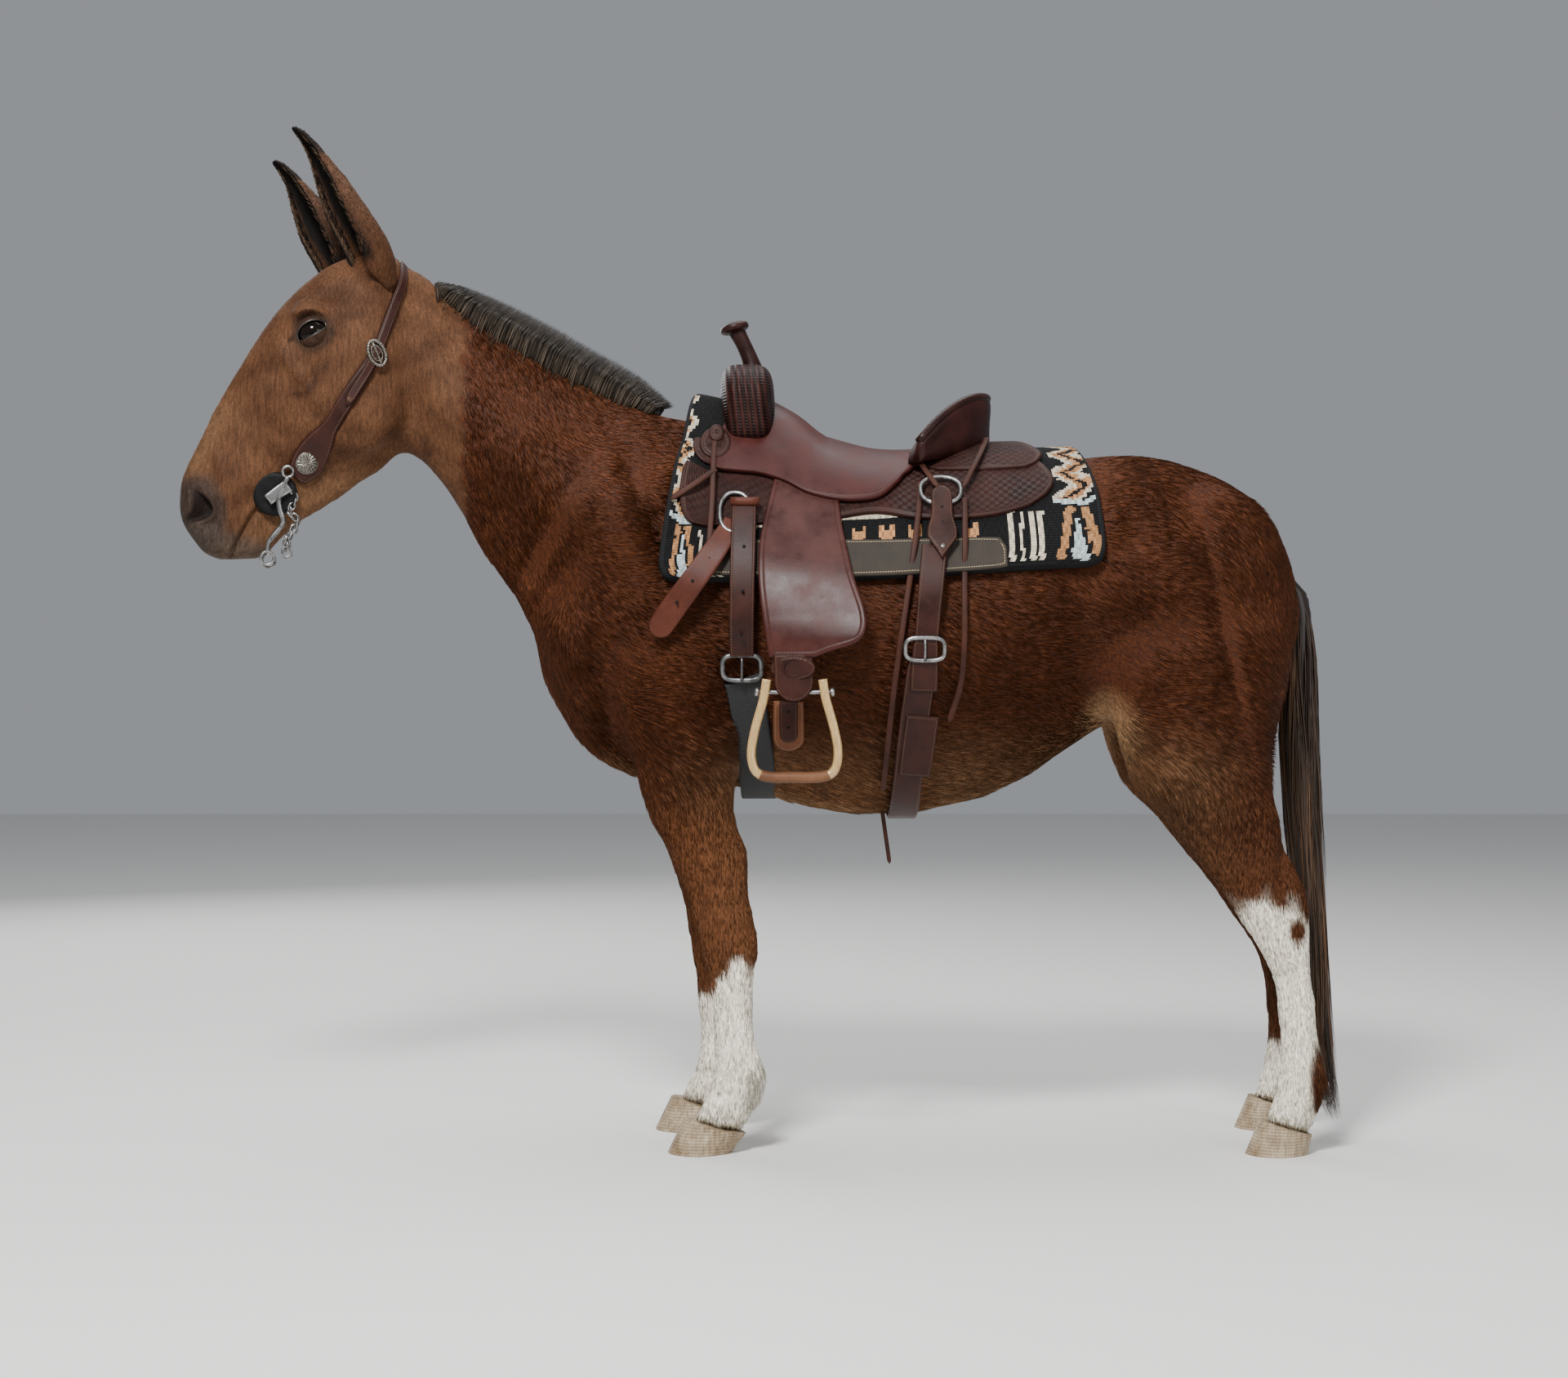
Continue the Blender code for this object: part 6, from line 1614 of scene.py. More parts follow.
class Barrel:
    """How far the trunk reaches from a level line through it, at each x and angle."""

    FIRST = -0.28
    LAST = 0.72
    COARSE = (51, 46)
    FINE = (201, 181)

    def __init__(self, tree):
        rows = []
        for x in np.linspace(self.FIRST, self.LAST, self.COARSE[0]):
            row = []
            for angle in np.linspace(0, math.pi, self.COARSE[1]):
                way = Vector((0, -math.sin(angle), math.cos(angle)))
                centre = Vector((x, 0, CORE_Z))
                row.append((tree.ray_cast(centre + way, -way)[0] - centre).length)
            rows.append(row)
        reach = np.array(rows)
        for _ in range(4):
            padded = np.pad(reach, 1, mode="edge")
            around = padded[:-2, 1:-1] + padded[2:, 1:-1] + padded[1:-1, :-2] + padded[1:-1, 2:]
            reach = 0.5 * reach + 0.125 * around
        reach = resample(reach, self.FINE[0])
        self.reach = resample(reach.T, self.FINE[1]).T

    def radius(self, x, angle):
        """The reach at arrays of x and angle."""
        last_i, last_j = self.FINE[0] - 1, self.FINE[1] - 1
        i = np.clip((x - self.FIRST) / (self.LAST - self.FIRST) * last_i, 0, last_i - 0.001)
        j = np.clip(np.abs(angle) / math.pi * last_j, 0, last_j - 0.001)
        a, b = i.astype(int), j.astype(int)
        p, q = i - a, j - b
        near = self.reach[a, b] * (1 - q) + self.reach[a, b + 1] * q
        far = self.reach[a + 1, b] * (1 - q) + self.reach[a + 1, b + 1] * q
        return near * (1 - p) + far * p

    def points(self, x, angle, distance):
        """Places and outward directions at a distance off the trunk; left angles are negative."""
        x, angle, distance = np.broadcast_arrays(*(np.asarray(v, float) for v in (x, angle, distance)))
        side = np.where(angle < 0, -1.0, 1.0)
        turn = np.abs(angle)
        small = math.radians(3)
        here, ahead, behind = (self.spot(x, turn + shift) for shift in (0, small, -small))
        slope = ahead - behind
        slope = slope / np.linalg.norm(slope, axis=-1, keepdims=True)
        out = np.stack([-slope[..., 1], slope[..., 0]], -1)
        flat = here + out * distance[..., None]
        place = np.stack([x, side * flat[..., 0], CORE_Z + flat[..., 1]], -1)
        return place, np.stack([0 * x, side * out[..., 0], out[..., 1]], -1)

    def spot(self, x, angle):
        """Distance from the middle plane and height over the core of the bare trunk."""
        radius = self.radius(x, angle)
        return np.stack([radius * np.sin(angle), radius * np.cos(angle)], -1)

    def angle_at(self, x, z, distance):
        """The angle down the flank where a layer at that distance has height z."""
        x = np.asarray(x, float)
        low, high = np.zeros(x.shape), np.full(x.shape, math.pi)
        for _ in range(26):
            middle = (low + high) / 2
            above = self.points(x, middle, distance)[0][..., 2] > z
            low = np.where(above, middle, low)
            high = np.where(above, high, middle)
        return (low + high) / 2


def spread(length, step, edges=(0.001, 0.0025, 0.005)):
    """Places from 0 to 1 along a length, even but closer together at both ends."""
    ends = np.array([0.0, *(edge for edge in edges if edge < length * 0.3)]) / length
    middle = np.linspace(0, 1, max(4, int(length / step)))
    middle = middle[(middle > ends[-1] * 1.3) & (middle < 1 - ends[-1] * 1.3)]
    return np.concatenate([ends, middle, 1 - ends[::-1]])


def table(rows, where):
    """Read a smooth curve through rows of two numbers."""
    fine = resample(rows, 12 * len(rows))
    return np.interp(where, fine[:, 0], fine[:, 1])


def border_of(grid):
    """The places along the four edges of a grid, in order."""
    return np.concatenate([grid[0, :-1], grid[:-1, -1], grid[-1, :0:-1], grid[:0:-1, 0]])


def sheet(name, points, outs, flats, thickness, finish, soft=0.004, step=0.30):
    """A closed layer on a grid of places, with a rounded rim."""
    rows, columns = points.shape[:2]
    line = border_of(flats)
    rim = near_line(flats.reshape(-1, 2), np.vstack([line, line[:1]]))[0]
    depth = np.clip(rim / soft, 0, 1).reshape(rows, columns)
    lift = thickness * (step + (1 - step) * np.sqrt(1 - (1 - depth) ** 2))
    top = points + outs * lift[..., None]
    verts = np.concatenate([top.reshape(-1, 3), points.reshape(-1, 3)])
    index = np.arange(rows * columns).reshape(rows, columns)
    quads = np.stack([index[:-1, :-1], index[1:, :-1], index[1:, 1:], index[:-1, 1:]], -1).reshape(-1, 4)
    edge = border_of(index)
    after = np.roll(edge, -1)
    count = rows * columns
    sides = np.stack([edge, after, after + count, edge + count], -1)
    faces = np.concatenate([quads, quads[:, ::-1] + count, sides])
    mesh = bpy.data.meshes.new(name)
    mesh.from_pydata(verts.tolist(), [], faces.tolist())
    store(mesh, "flat", np.tile(np.column_stack([flats.reshape(-1, 2), rim]), (2, 1)))
    obj = add_mesh(name, mesh, finish)
    turn_outward(obj)
    return obj


def turn_outward(obj):
    """Make all faces look outward."""
    bm = bmesh.new()
    bm.from_mesh(obj.data)
    bmesh.ops.recalc_face_normals(bm, faces=bm.faces[:])
    bm.to_mesh(obj.data)
    bm.free()


def store(mesh, name, values):
    """Store a number or a vector for each vertex."""
    values = np.asarray(values, float)
    kind, key = ("FLOAT", "value") if values.ndim == 1 else ("FLOAT_VECTOR", "vector")
    layer = mesh.attributes.new(name, kind, "POINT")
    layer.data.foreach_set(key, values.ravel())


def plate(name, barrel, front, back, bottom, base, thickness, finish, span, step=0.006, **options):
    """A layer over the back; front and back by share of the way down, the bottom edge by x."""
    across = spread(max(x for _, x in back) - min(x for _, x in front), step)
    down = spread(span, step)
    share, part = np.meshgrid(np.concatenate([-down[::-1], down[1:]]), across, indexing="ij")
    x = table(front, np.abs(share)) * (1 - part) + table(back, np.abs(share)) * part
    reach = base(x, np.full(x.shape, 2.0)) if callable(base) else base
    low = barrel.angle_at(x, table(bottom, x), reach)
    angle = np.where(share == 0, 1e-6, low * share)
    points, outs = barrel.points(x, angle, base(x, angle) if callable(base) else base)
    gaps = np.linalg.norm(np.diff(points, axis=0), axis=-1)
    arc = np.vstack([np.zeros(x.shape[1]), np.cumsum(gaps, axis=0)])
    arc = arc - arc[len(down) - 1]
    return sheet(name, points, outs, np.stack([x, arc], -1), thickness, finish, **options)


def flank_sheet(name, barrel, span, top, bottom, side, distance, thickness, finish, step=0.006, **options):
    """A layer on one flank over a span of x, between a top and a bottom edge by x."""
    first, last = span
    across = first + (last - first) * spread(last - first, step)
    share = spread(0.08, step)
    x = np.tile(across, (len(share), 1))
    z = table(top, across) * (1 - share[:, None]) + table(bottom, across) * share[:, None]
    points, outs = barrel.points(x, side * barrel.angle_at(x, z, distance), distance)
    return sheet(name, points, outs, np.stack([x, z], -1), thickness, finish, **options)


def evened(rows, steps=2):
    """Rows with each inner one drawn towards its neighbours."""
    rows = np.array(rows, float)
    for _ in range(steps):
        rows[1:-1] = 0.5 * rows[1:-1] + 0.25 * (rows[:-2] + rows[2:])
    return rows


def ribbon(
    name, centres, outs, widths, thickness, finish, tip="square", head="square", step=0.006, **options
):
    """A flat strap along places; its head and tip are square, round or pointed."""
    centres, outs = evened(centres), evened(outs)
    arc = np.concatenate([[0], np.cumsum(np.linalg.norm(np.diff(centres, axis=0), axis=1))])
    wide = max(widths)
    where = spread(arc[-1], step, (0.001, 0.0025, 0.005, 0.009, 0.014)) * arc[-1]
    centre = np.stack([np.interp(where, arc, centres[:, k]) for k in range(3)], -1)
    out = np.stack([np.interp(where, arc, outs[:, k]) for k in range(3)], -1)
    width = np.interp(where, arc, widths)
    for kind, gap in ((head, where), (tip, arc[-1] - where)):
        width = width * end_shape(kind, gap, wide)
    along = np.gradient(centre, axis=0)
    across = np.cross(along, out)
    across /= np.linalg.norm(across, axis=1, keepdims=True)
    out = np.cross(across, along)
    out /= np.linalg.norm(out, axis=1, keepdims=True)
    columns = 2 * spread(wide, step) - 1
    offset = width[:, None] * columns[None] / 2
    points = centre[:, None] + across[:, None] * offset[..., None]
    flats = np.stack([offset, np.tile(where[:, None], (1, len(columns)))], -1)
    outs = np.tile(out[:, None], (1, len(columns), 1))
    return sheet(name, points, outs, flats, thickness, finish, **options)


def end_shape(kind, gap, width):
    """How the width narrows towards an end at a distance from it."""
    if kind == "round":
        part = np.clip(gap / (width / 2), 0.0, 1)
        return np.maximum(np.sqrt(1 - (1 - part) ** 2), 0.03)
    if kind == "point":
        return np.clip(gap / (width * 0.8), 0.03, 1)
    return np.ones(len(gap))


def strap(name, barrel, rows, side, thickness, finish, **options):
    """A strap down the flank along rows of x, z, width and distance off the trunk."""
    rows = resample(rows, 40)
    angle = side * barrel.angle_at(rows[:, 0], rows[:, 1], rows[:, 3])
    centres, outs = barrel.points(rows[:, 0], angle, rows[:, 3])
    return ribbon(name, centres, outs, rows[:, 2], thickness, finish, **options)


def bar(points, radii, normal, sides=12, closed=False):
    """A bmesh of a round bar along points that lie about square to the normal."""
    points = [Vector(point) for point in points]
    count = len(points)
    radii = [radii] * count if isinstance(radii, float) else radii
    rings = []
    for index, point in enumerate(points):
        if closed:
            along = points[(index + 1) % count] - points[index - 1]
        else:
            along = points[min(index + 1, count - 1)] - points[max(index - 1, 0)]
        across = along.cross(Vector(normal)).normalized()
        other = along.cross(across).normalized()
        turns = [2 * math.pi * k / sides for k in range(sides)]
        rings.append([point + (across * math.cos(a) + other * math.sin(a)) * radii[index] for a in turns])
    return closed_tube(rings) if closed else open_loft(rings)


def loop_points(centre, normal, half_x, half_z, count=48, power=1.0):
    """Places round an oval or, with a smaller power, a rounded frame square to the normal."""
    normal = Vector(normal).normalized()
    across = (Vector((1, 0, 0)) - normal * normal.x).normalized()
    up = normal.cross(across)
    up = -up if up.z < 0 else up
    places = []
    for step in range(count):
        angle = 2 * math.pi * step / count
        c, s = math.cos(angle), math.sin(angle)
        c, s = math.copysign(abs(c) ** power, c), math.copysign(abs(s) ** power, s)
        places.append(Vector(centre) + across * (half_x * c) + up * (half_z * s))
    return places


def dial(name, centre, normal, radius, height, finish, rings=9, around=64):
    """A round boss; height gives its rise by share of the radius and by angle."""
    normal = Vector(normal).normalized()
    aside = normal.orthogonal().normalized()
    other = normal.cross(aside)
    loops = []
    for step in range(rings + 1):
        part = 0.02 + 0.98 * step / rings
        ring = []
        for k in range(around):
            angle = 2 * math.pi * k / around
            spoke = aside * math.cos(angle) + other * math.sin(angle)
            ring.append(Vector(centre) + spoke * radius * part + normal * height(part, angle))
        loops.append(ring)
    loops.append([point - normal * 0.006 for point in loops[-1]])
    return add_object(name, open_loft(loops), finish)


# Layers over the back: x of the front and back by share of the way down, z of the lower edge by x
BLANKET_FRONT = (
    (0, -0.138), (0.35, -0.168), (0.62, -0.188), (0.85, -0.197), (0.93, -0.193), (0.975, -0.184), (1, -0.160),
)
BLANKET_BACK = (
    (0, 0.598), (0.35, 0.620), (0.62, 0.632), (0.85, 0.638), (0.94, 0.634), (0.98, 0.624), (1, 0.604),
)
BLANKET_LOW = ((-0.21, 1.082), (-0.10, 1.083), (0.17, 1.086), (0.56, 1.108), (0.65, 1.113))
BLANKET_THICKNESS = 0.022
SKIRT_FRONT = (
    (0, 0.12), (0.12, 0.02), (0.24, -0.100), (0.45, -0.140), (0.75, -0.158), (0.93, -0.148), (1, -0.112),
)
SKIRT_BACK = ((0, 0.470), (0.35, 0.500), (0.62, 0.535), (0.80, 0.548), (0.93, 0.535), (1, 0.500))
SKIRT_LOW = (
    (-0.17, 1.200), (-0.12, 1.188), (0.10, 1.198), (0.21, 1.212), (0.30, 1.200), (0.43, 1.206), (0.56, 1.246),
)
SEAT_FRONT = (
    (0, -0.02), (0.25, -0.02), (0.42, -0.075), (0.62, -0.098), (0.90, -0.104), (0.97, -0.098), (1, -0.080),
)
SEAT_BACK = ((0, 0.362), (0.30, 0.350), (0.60, 0.318), (0.85, 0.300), (1, 0.278))
SEAT_LOW = (
    (-0.110, 1.300), (-0.040, 1.294), (-0.008, 1.290), (0.037, 1.276), (0.087, 1.250),
    (0.152, 1.237), (0.215, 1.243), (0.253, 1.272), (0.280, 1.298), (0.370, 1.335),
)
SEAT_RIDGE = (
    (-0.05, 1.452), (0.000, 1.449), (0.028, 1.438), (0.069, 1.414), (0.115, 1.378),
    (0.166, 1.353), (0.227, 1.343), (0.278, 1.346), (0.330, 1.362), (0.390, 1.392),
)
JOCKEY_FRONT = ((0, 0.425), (0.30, 0.360), (0.60, 0.300), (0.85, 0.290), (1, 0.330))
JOCKEY_BACK = ((0, 0.480), (0.45, 0.512), (0.75, 0.530), (0.92, 0.522), (1, 0.498))
JOCKEY_LOW = ((0.28, 1.300), (0.40, 1.298), (0.50, 1.304), (0.54, 1.316))
WEAR_TOP = ((-0.11, 1.150), (-0.08, 1.163), (0.20, 1.163), (0.42, 1.166), (0.444, 1.158), (0.46, 1.128))
WEAR_LOW = ((-0.11, 1.096), (0.17, 1.093), (0.40, 1.104), (0.46, 1.112))
PLATES = (
    # name, middle x and z, half sizes, distance off the trunk
    ("rosette", (-0.092, 1.352), (0.0430, 0.0440), 0.0360),
    ("rosette_inner", (-0.092, 1.352), (0.0300, 0.0310), 0.0405),
    ("knot_plate", (-0.090, 1.372), (0.0150, 0.0170), 0.0450),
)
# Fender: z, front x and back x; stirrup: x and z round its frame
FENDER_EDGES = (
    (1.285, 0.020, 0.139), (1.200, 0.000, 0.146), (1.150, -0.008, 0.155), (1.090, -0.009, 0.168),
    (1.030, -0.003, 0.187), (0.995, 0.002, 0.188), (0.970, 0.006, 0.172), (0.955, 0.009, 0.125),
    (0.943, 0.011, 0.094),
)
STIRRUP = (
    (0.010, 0.902), (0.004, 0.865), (-0.010, 0.815), (-0.018, 0.770), (-0.012, 0.738),
    (0.010, 0.727), (0.058, 0.726), (0.106, 0.727),
    (0.128, 0.738), (0.134, 0.770), (0.126, 0.815), (0.112, 0.865), (0.106, 0.902),
)


def saddle(barrel):
    """Blanket, skirts, seat, swell, horn and cantle."""

    def tent(x, angle):
        """The pad stands off the withers along its front."""
        return -0.002 + 0.030 * smooth(0.75, 0.0, np.abs(angle)) * smooth(0.01, -0.09, x)

    blanket = plate(
        "woven_blanket", barrel, BLANKET_FRONT, BLANKET_BACK, BLANKET_LOW, tent,
        BLANKET_THICKNESS + 0.002, MATERIALS["wool"], 0.42, 0.005, soft=0.012,
    )
    colour_blanket(blanket)
    placed(blanket, "wool", "blanket")
    for side, word in SIDES:
        wear = flank_sheet(
            f"wear_leather_{word}", barrel, (-0.100, 0.452), WEAR_TOP, WEAR_LOW, side,
            BLANKET_THICKNESS - 0.002, 0.0045, MATERIALS["wear"],
        )
        placed(wear, "dark_leather")
        for name, middle, half, lift in PLATES:
            place = (barrel, middle, half, side, lift)
            placed(oval(f"{name}_{word}", *place, 0.0050, MATERIALS["tooled"]), "dark_leather")
    high = BLANKET_THICKNESS - 0.001
    skirt = plate(
        "skirts", barrel, SKIRT_FRONT, SKIRT_BACK, SKIRT_LOW, high, 0.0095, MATERIALS["tooled"], 0.32
    )
    placed(skirt, "dark_leather", "saddle_skirt")
    high += 0.0090
    rear = plate(
        "rear_plate", barrel, JOCKEY_FRONT, JOCKEY_BACK, JOCKEY_LOW, high, 0.0055, MATERIALS["tooled"], 0.24
    )
    placed(rear, "dark_leather", "rear_jockey")
    flap = high + 0.0058
    ridge_z = barrel.points(np.linspace(-0.1, 0.4, 60), 1e-6, 0.0)[0]

    def lift(x, angle):
        """Distance of the seat off the trunk: high along the ridge, close over the skirts."""
        tall = table(SEAT_RIDGE, x) - 0.005 - np.interp(x, ridge_z[:, 0], ridge_z[:, 2])
        aside = barrel.radius(x, angle) * np.sin(np.minimum(np.abs(angle), math.pi / 2))
        share = np.clip(aside / np.interp(x, (0, 0.06, 0.2, 0.35), (0.09, 0.12, 0.17, 0.17)), 0, 1)
        over = np.maximum(tall - flap, -0.004) * (0.5 + 0.5 * np.cos(math.pi * share))
        return flap + over * (np.abs(angle) < 1.9)

    seat = plate(
        "seat_leather", barrel, SEAT_FRONT, SEAT_BACK, SEAT_LOW, lift, 0.0080, MATERIALS["seat"], 0.26,
        soft=0.006,
    )
    placed(seat, "red_leather", "seat")
    swell_and_horn()
    cantle()


def swell_and_horn():
    """The fork with its tooled cover, and the horn."""
    bm = bmesh.new()
    bmesh.ops.create_uvsphere(bm, u_segments=80, v_segments=48, radius=1.0)
    centre, radii = Vector((-0.031, 0.0, 1.436)), (0.052, 0.138, 0.080)
    for vert in bm.verts:
        for axis, power in enumerate((0.50, 0.66, 0.52)):
            value = vert.co[axis]
            vert.co[axis] = math.copysign(abs(value) ** power, value) * radii[axis]
        vert.co.x -= 0.006 * (vert.co.z / radii[2]) * (1 - abs(vert.co.y) / radii[1])
        vert.co.z -= 0.020 * (abs(vert.co.y) / radii[1]) ** 2
        vert.co += centre
    placed(add_object("fork", bm, MATERIALS["ridged"]), "dark_leather", "swell")
    neck = (
        (-0.014, 1.470, 0.026), (-0.018, 1.492, 0.0225), (-0.024, 1.515, 0.0180),
        (-0.033, 1.540, 0.0155), (-0.043, 1.562, 0.0150), (-0.055, 1.585, 0.0165),
    )
    rows = resample(neck, 30)
    points = [Vector((x, 0, z)) for x, z, _ in rows]
    horn = bar(points, [float(radius) for radius in rows[:, 2]], (0, 1, 0), 32)
    cap = bmesh.ops.create_uvsphere(horn, u_segments=48, v_segments=28, radius=1.0)["verts"]
    tilt = Matrix.Rotation(math.radians(-16), 3, "Y")
    top = Vector((-0.0585, 0, 1.5895))
    for vert in cap:
        thick = math.copysign(abs(vert.co.z) ** 0.8, vert.co.z) * 0.0120
        vert.co = tilt @ Vector((vert.co.x * 0.0285, vert.co.y * 0.0300, thick)) + top
    placed(add_object("horn_wrap", horn, MATERIALS["polished"]), "dark_leather", "horn")


# The cantle's wall across: outward of the rim and over it
CANTLE_WALL = (
    (-0.016, 0.0), (-0.010, 0.004), (0.0, 0.0), (0.003, -0.018), (0.001, -0.05),
    (-0.004, -0.110), (-0.040, -0.110), (-0.034, -0.05), (-0.024, -0.018),
)


# The cantle's rim: x and height in the middle, how far it sweeps forward and drops, and half width
CANTLE_X = 0.4400
CANTLE_SWEEP = 0.1430
CANTLE_TOP = 1.4500
CANTLE_DROP = 0.0980
CANTLE_HALF = 0.166


def cantle():
    """The cantle: a wall that sweeps forward round the seat, with a rolled binding."""
    rings, roll = [], []
    for share in np.linspace(-1, 1, 57):
        across = abs(share)
        drop = across**3.4
        x, z = CANTLE_X - CANTLE_SWEEP * across**1.8, CANTLE_TOP - CANTLE_DROP * drop
        rim = Vector((x, CANTLE_HALF * share, z))
        slope = -1.8 * CANTLE_SWEEP * across**0.8 * (1 if share > 0 else -1)
        way = Vector((slope, CANTLE_HALF, 0)).normalized()
        out = Vector((way.y, -way.x, 0))
        deep = 0.35 + 0.65 * (1 - drop)
        ring = resample(CANTLE_WALL, 26)
        rings.append([rim + out * float(a) + Vector((0, 0, float(b) * deep)) for a, b in ring])
        roll.append(rim - out * 0.005 + Vector((0, 0, 0.001)))
    placed(add_object("cantle_body", open_loft(rings), MATERIALS["tooled_plain"]), "dark_leather", "cantle")
    add_bar("cantle_binding", roll, 0.0085, (0, 0, 1), 16, False, "polished", "dark_leather")


# The size of a knot, and the columns in which the blanket's reach is measured
KNOT = 0.0055
COLUMN = 0.02
COLUMN_START = -0.3


def knot_middle(place):
    """The middle of the knot that a place lies in."""
    return np.floor(place / KNOT) * KNOT + KNOT / 2


def blanket_colour(x, low):
    """The woven pattern at x and at a height over the lower edge, one colour for each knot."""
    black, cream = np.array((0.006, 0.006, 0.0065)), np.array((0.52, 0.45, 0.34))
    tan, blue = np.array((0.36, 0.175, 0.075)), np.array((0.42, 0.50, 0.50))
    colour = np.tile(black, (len(x), 1))
    x, h = knot_middle(x), knot_middle(low)
    for first, last, way in ((-0.176, -0.128, 1), (0.545, 0.630, -1)):
        zone = (x > first) & (x < last)
        middle = (first + last) / 2
        half = (last - first) / 2
        step = np.abs(((h - 0.155) / 0.066) % 1 - 0.5) * 2
        shift = np.abs(x - middle - way * half * (step - 0.5)) / half
        upper = zone & (h > 0.155)
        colour[upper & (shift < 0.75)] = cream
        colour[upper & (shift < 0.40)] = tan
        colour[upper & (shift < 0.14)] = black
        leg = np.abs(x - middle) / half
        part = (h - 0.022) / 0.118
        lower = zone & (part > 0) & (part < 1)
        colour[lower & (np.abs(leg - (0.85 - 0.55 * part)) < 0.20)] = tan
        colour[lower & (leg < 0.42 - 0.50 * part)] = blue
        colour[zone & (np.abs(h - 0.148) < 0.006)] = blue
    for start, count in ((-0.118, 3), (0.462, 4)):
        for line in range(count):
            centre = start + line * 0.0185
            here = (np.abs(x - centre) < 0.0045) & (h > 0.014) & (h < 0.128)
            colour[here] = cream * 1.15
    side = (x > -0.055) & (x < 0.415)
    cell = ((x + 0.055) % 0.052) / 0.052
    block = side & (cell > 0.22) & (cell < 0.78) & (h > 0.068) & (h < 0.106)
    notch = (np.abs(cell - 0.5) < 0.12) & (h > 0.093)
    notch |= (np.abs(cell - 0.5) > 0.20) & (h < 0.077)
    colour[block & ~notch] = tan * 1.25
    colour[side & (h > 0.122) & (h < 0.130)] = cream
    rows = side & (h > 0.190)
    zigzag = np.abs(((x + 0.3 * h) / 0.08) % 1 - 0.5) * 2
    colour[rows & (np.abs(zigzag - (h % 0.07) / 0.07) < 0.22)] = cream
    worn = 0.85 + 0.3 * np.sin(x * 700) * np.sin(h * 900)
    return colour * worn[:, None]


def colour_blanket(obj):
    """Give each face of the blanket the colour of its knot."""
    mesh = obj.data
    count = len(mesh.polygons)
    flat = np.empty(len(mesh.vertices) * 3)
    mesh.attributes["flat"].data.foreach_get("vector", flat)
    flat = flat.reshape(-1, 3)
    first = np.array([polygon.vertices[0] for polygon in mesh.polygons])
    third = np.array([polygon.vertices[2] for polygon in mesh.polygons])
    place = (flat[first] + flat[third]) / 2
    columns = np.round((flat[:, 0] - COLUMN_START) / COLUMN).astype(int)
    reach = np.zeros(columns.max() + 1)
    np.maximum.at(reach, columns, np.abs(flat[:, 1]))
    known = np.flatnonzero(reach)
    low = np.interp(place[:, 0], known * COLUMN + COLUMN_START, reach[known]) - np.abs(place[:, 1])
    colour = blanket_colour(place[:, 0], low)
    colour[place[:, 2] < 0.010] = (0.012, 0.012, 0.013)
    layer = mesh.attributes.new("tint", "FLOAT_COLOR", "FACE")
    layer.data.foreach_set("color", np.column_stack([colour, np.ones(count)]).ravel())


# Straps down the flanks: rows of x, z, width and distance off the trunk
LATIGO = (
    (-0.036, 1.234, 0.047, 0.0435), (-0.037, 1.190, 0.047, 0.0430), (-0.039, 1.080, 0.047, 0.038),
    (-0.040, 1.000, 0.047, 0.030), (-0.040, 0.945, 0.046, 0.019),
)
OFF_BILLET = (
    (-0.056, 1.200, 0.036, 0.033), (-0.080, 1.158, 0.044, 0.041), (-0.122, 1.096, 0.047, 0.043),
    (-0.165, 1.038, 0.048, 0.034), (-0.203, 0.984, 0.046, 0.026),
)
REAR_BILLET = (
    (0.318, 1.150, 0.048, 0.038), (0.311, 1.090, 0.047, 0.034),
    (0.304, 1.020, 0.046, 0.022), (0.300, 0.965, 0.044, 0.011),
)
REAR_TAB = (
    (0.334, 1.266, 0.040, 0.0440), (0.333, 1.210, 0.041, 0.0445),
    (0.332, 1.176, 0.056, 0.0450), (0.330, 1.125, 0.050, 0.0430),
)
HANGING_TAB = ((0.047, 0.862, 0.056, 0.014), (0.047, 0.815, 0.058, 0.014), (0.048, 0.768, 0.058, 0.012))
TAB_COVER = ((0.047, 0.862, 0.034, 0.018), (0.047, 0.820, 0.034, 0.018), (0.048, 0.784, 0.034, 0.016))
STRAPS = (
    # name, node, rows, thickness, finish, slot, head, tip
    ("latigo_strap", "latigo", LATIGO, 0.0045, "strap", "dark_leather", "square", "square"),
    ("off_billet_strap", "off_billet", OFF_BILLET, 0.0042, "billet", "red_leather", "square", "round"),
    ("rear_billet_strap", "rear_billet", REAR_BILLET, 0.0045, "strap", "dark_leather", "square", "square"),
    ("rear_tab", None, REAR_TAB, 0.0042, "strap", "red_leather", "round", "point"),
    ("hanging_tab", None, HANGING_TAB, 0.0035, "tan", "red_leather", "square", "round"),
    ("hanging_tab_cover", None, TAB_COVER, 0.0025, "strap", "dark_leather", "square", "round"),
)
# Strings: x, z and distance off the trunk
STRINGS = (
    (
        (0.297, 1.275, 0.038), (0.284, 1.170, 0.034), (0.269, 1.071, 0.012),
        (0.252, 0.960, 0.008), (0.239, 0.854, 0.010), (0.226, 0.690, 0.010),
    ),
    (
        (0.377, 1.242, 0.042), (0.374, 1.150, 0.030), (0.372, 1.071, 0.012),
        (0.368, 0.911, 0.008), (0.345, 0.822, 0.010),
    ),
    ((0.430, 1.368, 0.046), (0.405, 1.320, 0.048), (0.374, 1.262, 0.046)),
    ((0.284, 1.342, 0.044), (0.305, 1.300, 0.048), (0.328, 1.262, 0.048)),
    ((-0.092, 1.388, 0.044), (-0.095, 1.320, 0.044), (-0.097, 1.230, 0.044), (-0.104, 1.116, 0.034)),
    ((-0.090, 1.300, 0.045), (-0.130, 1.270, 0.042), (-0.176, 1.240, 0.026)),
)
STRING_WIDTH = 0.011
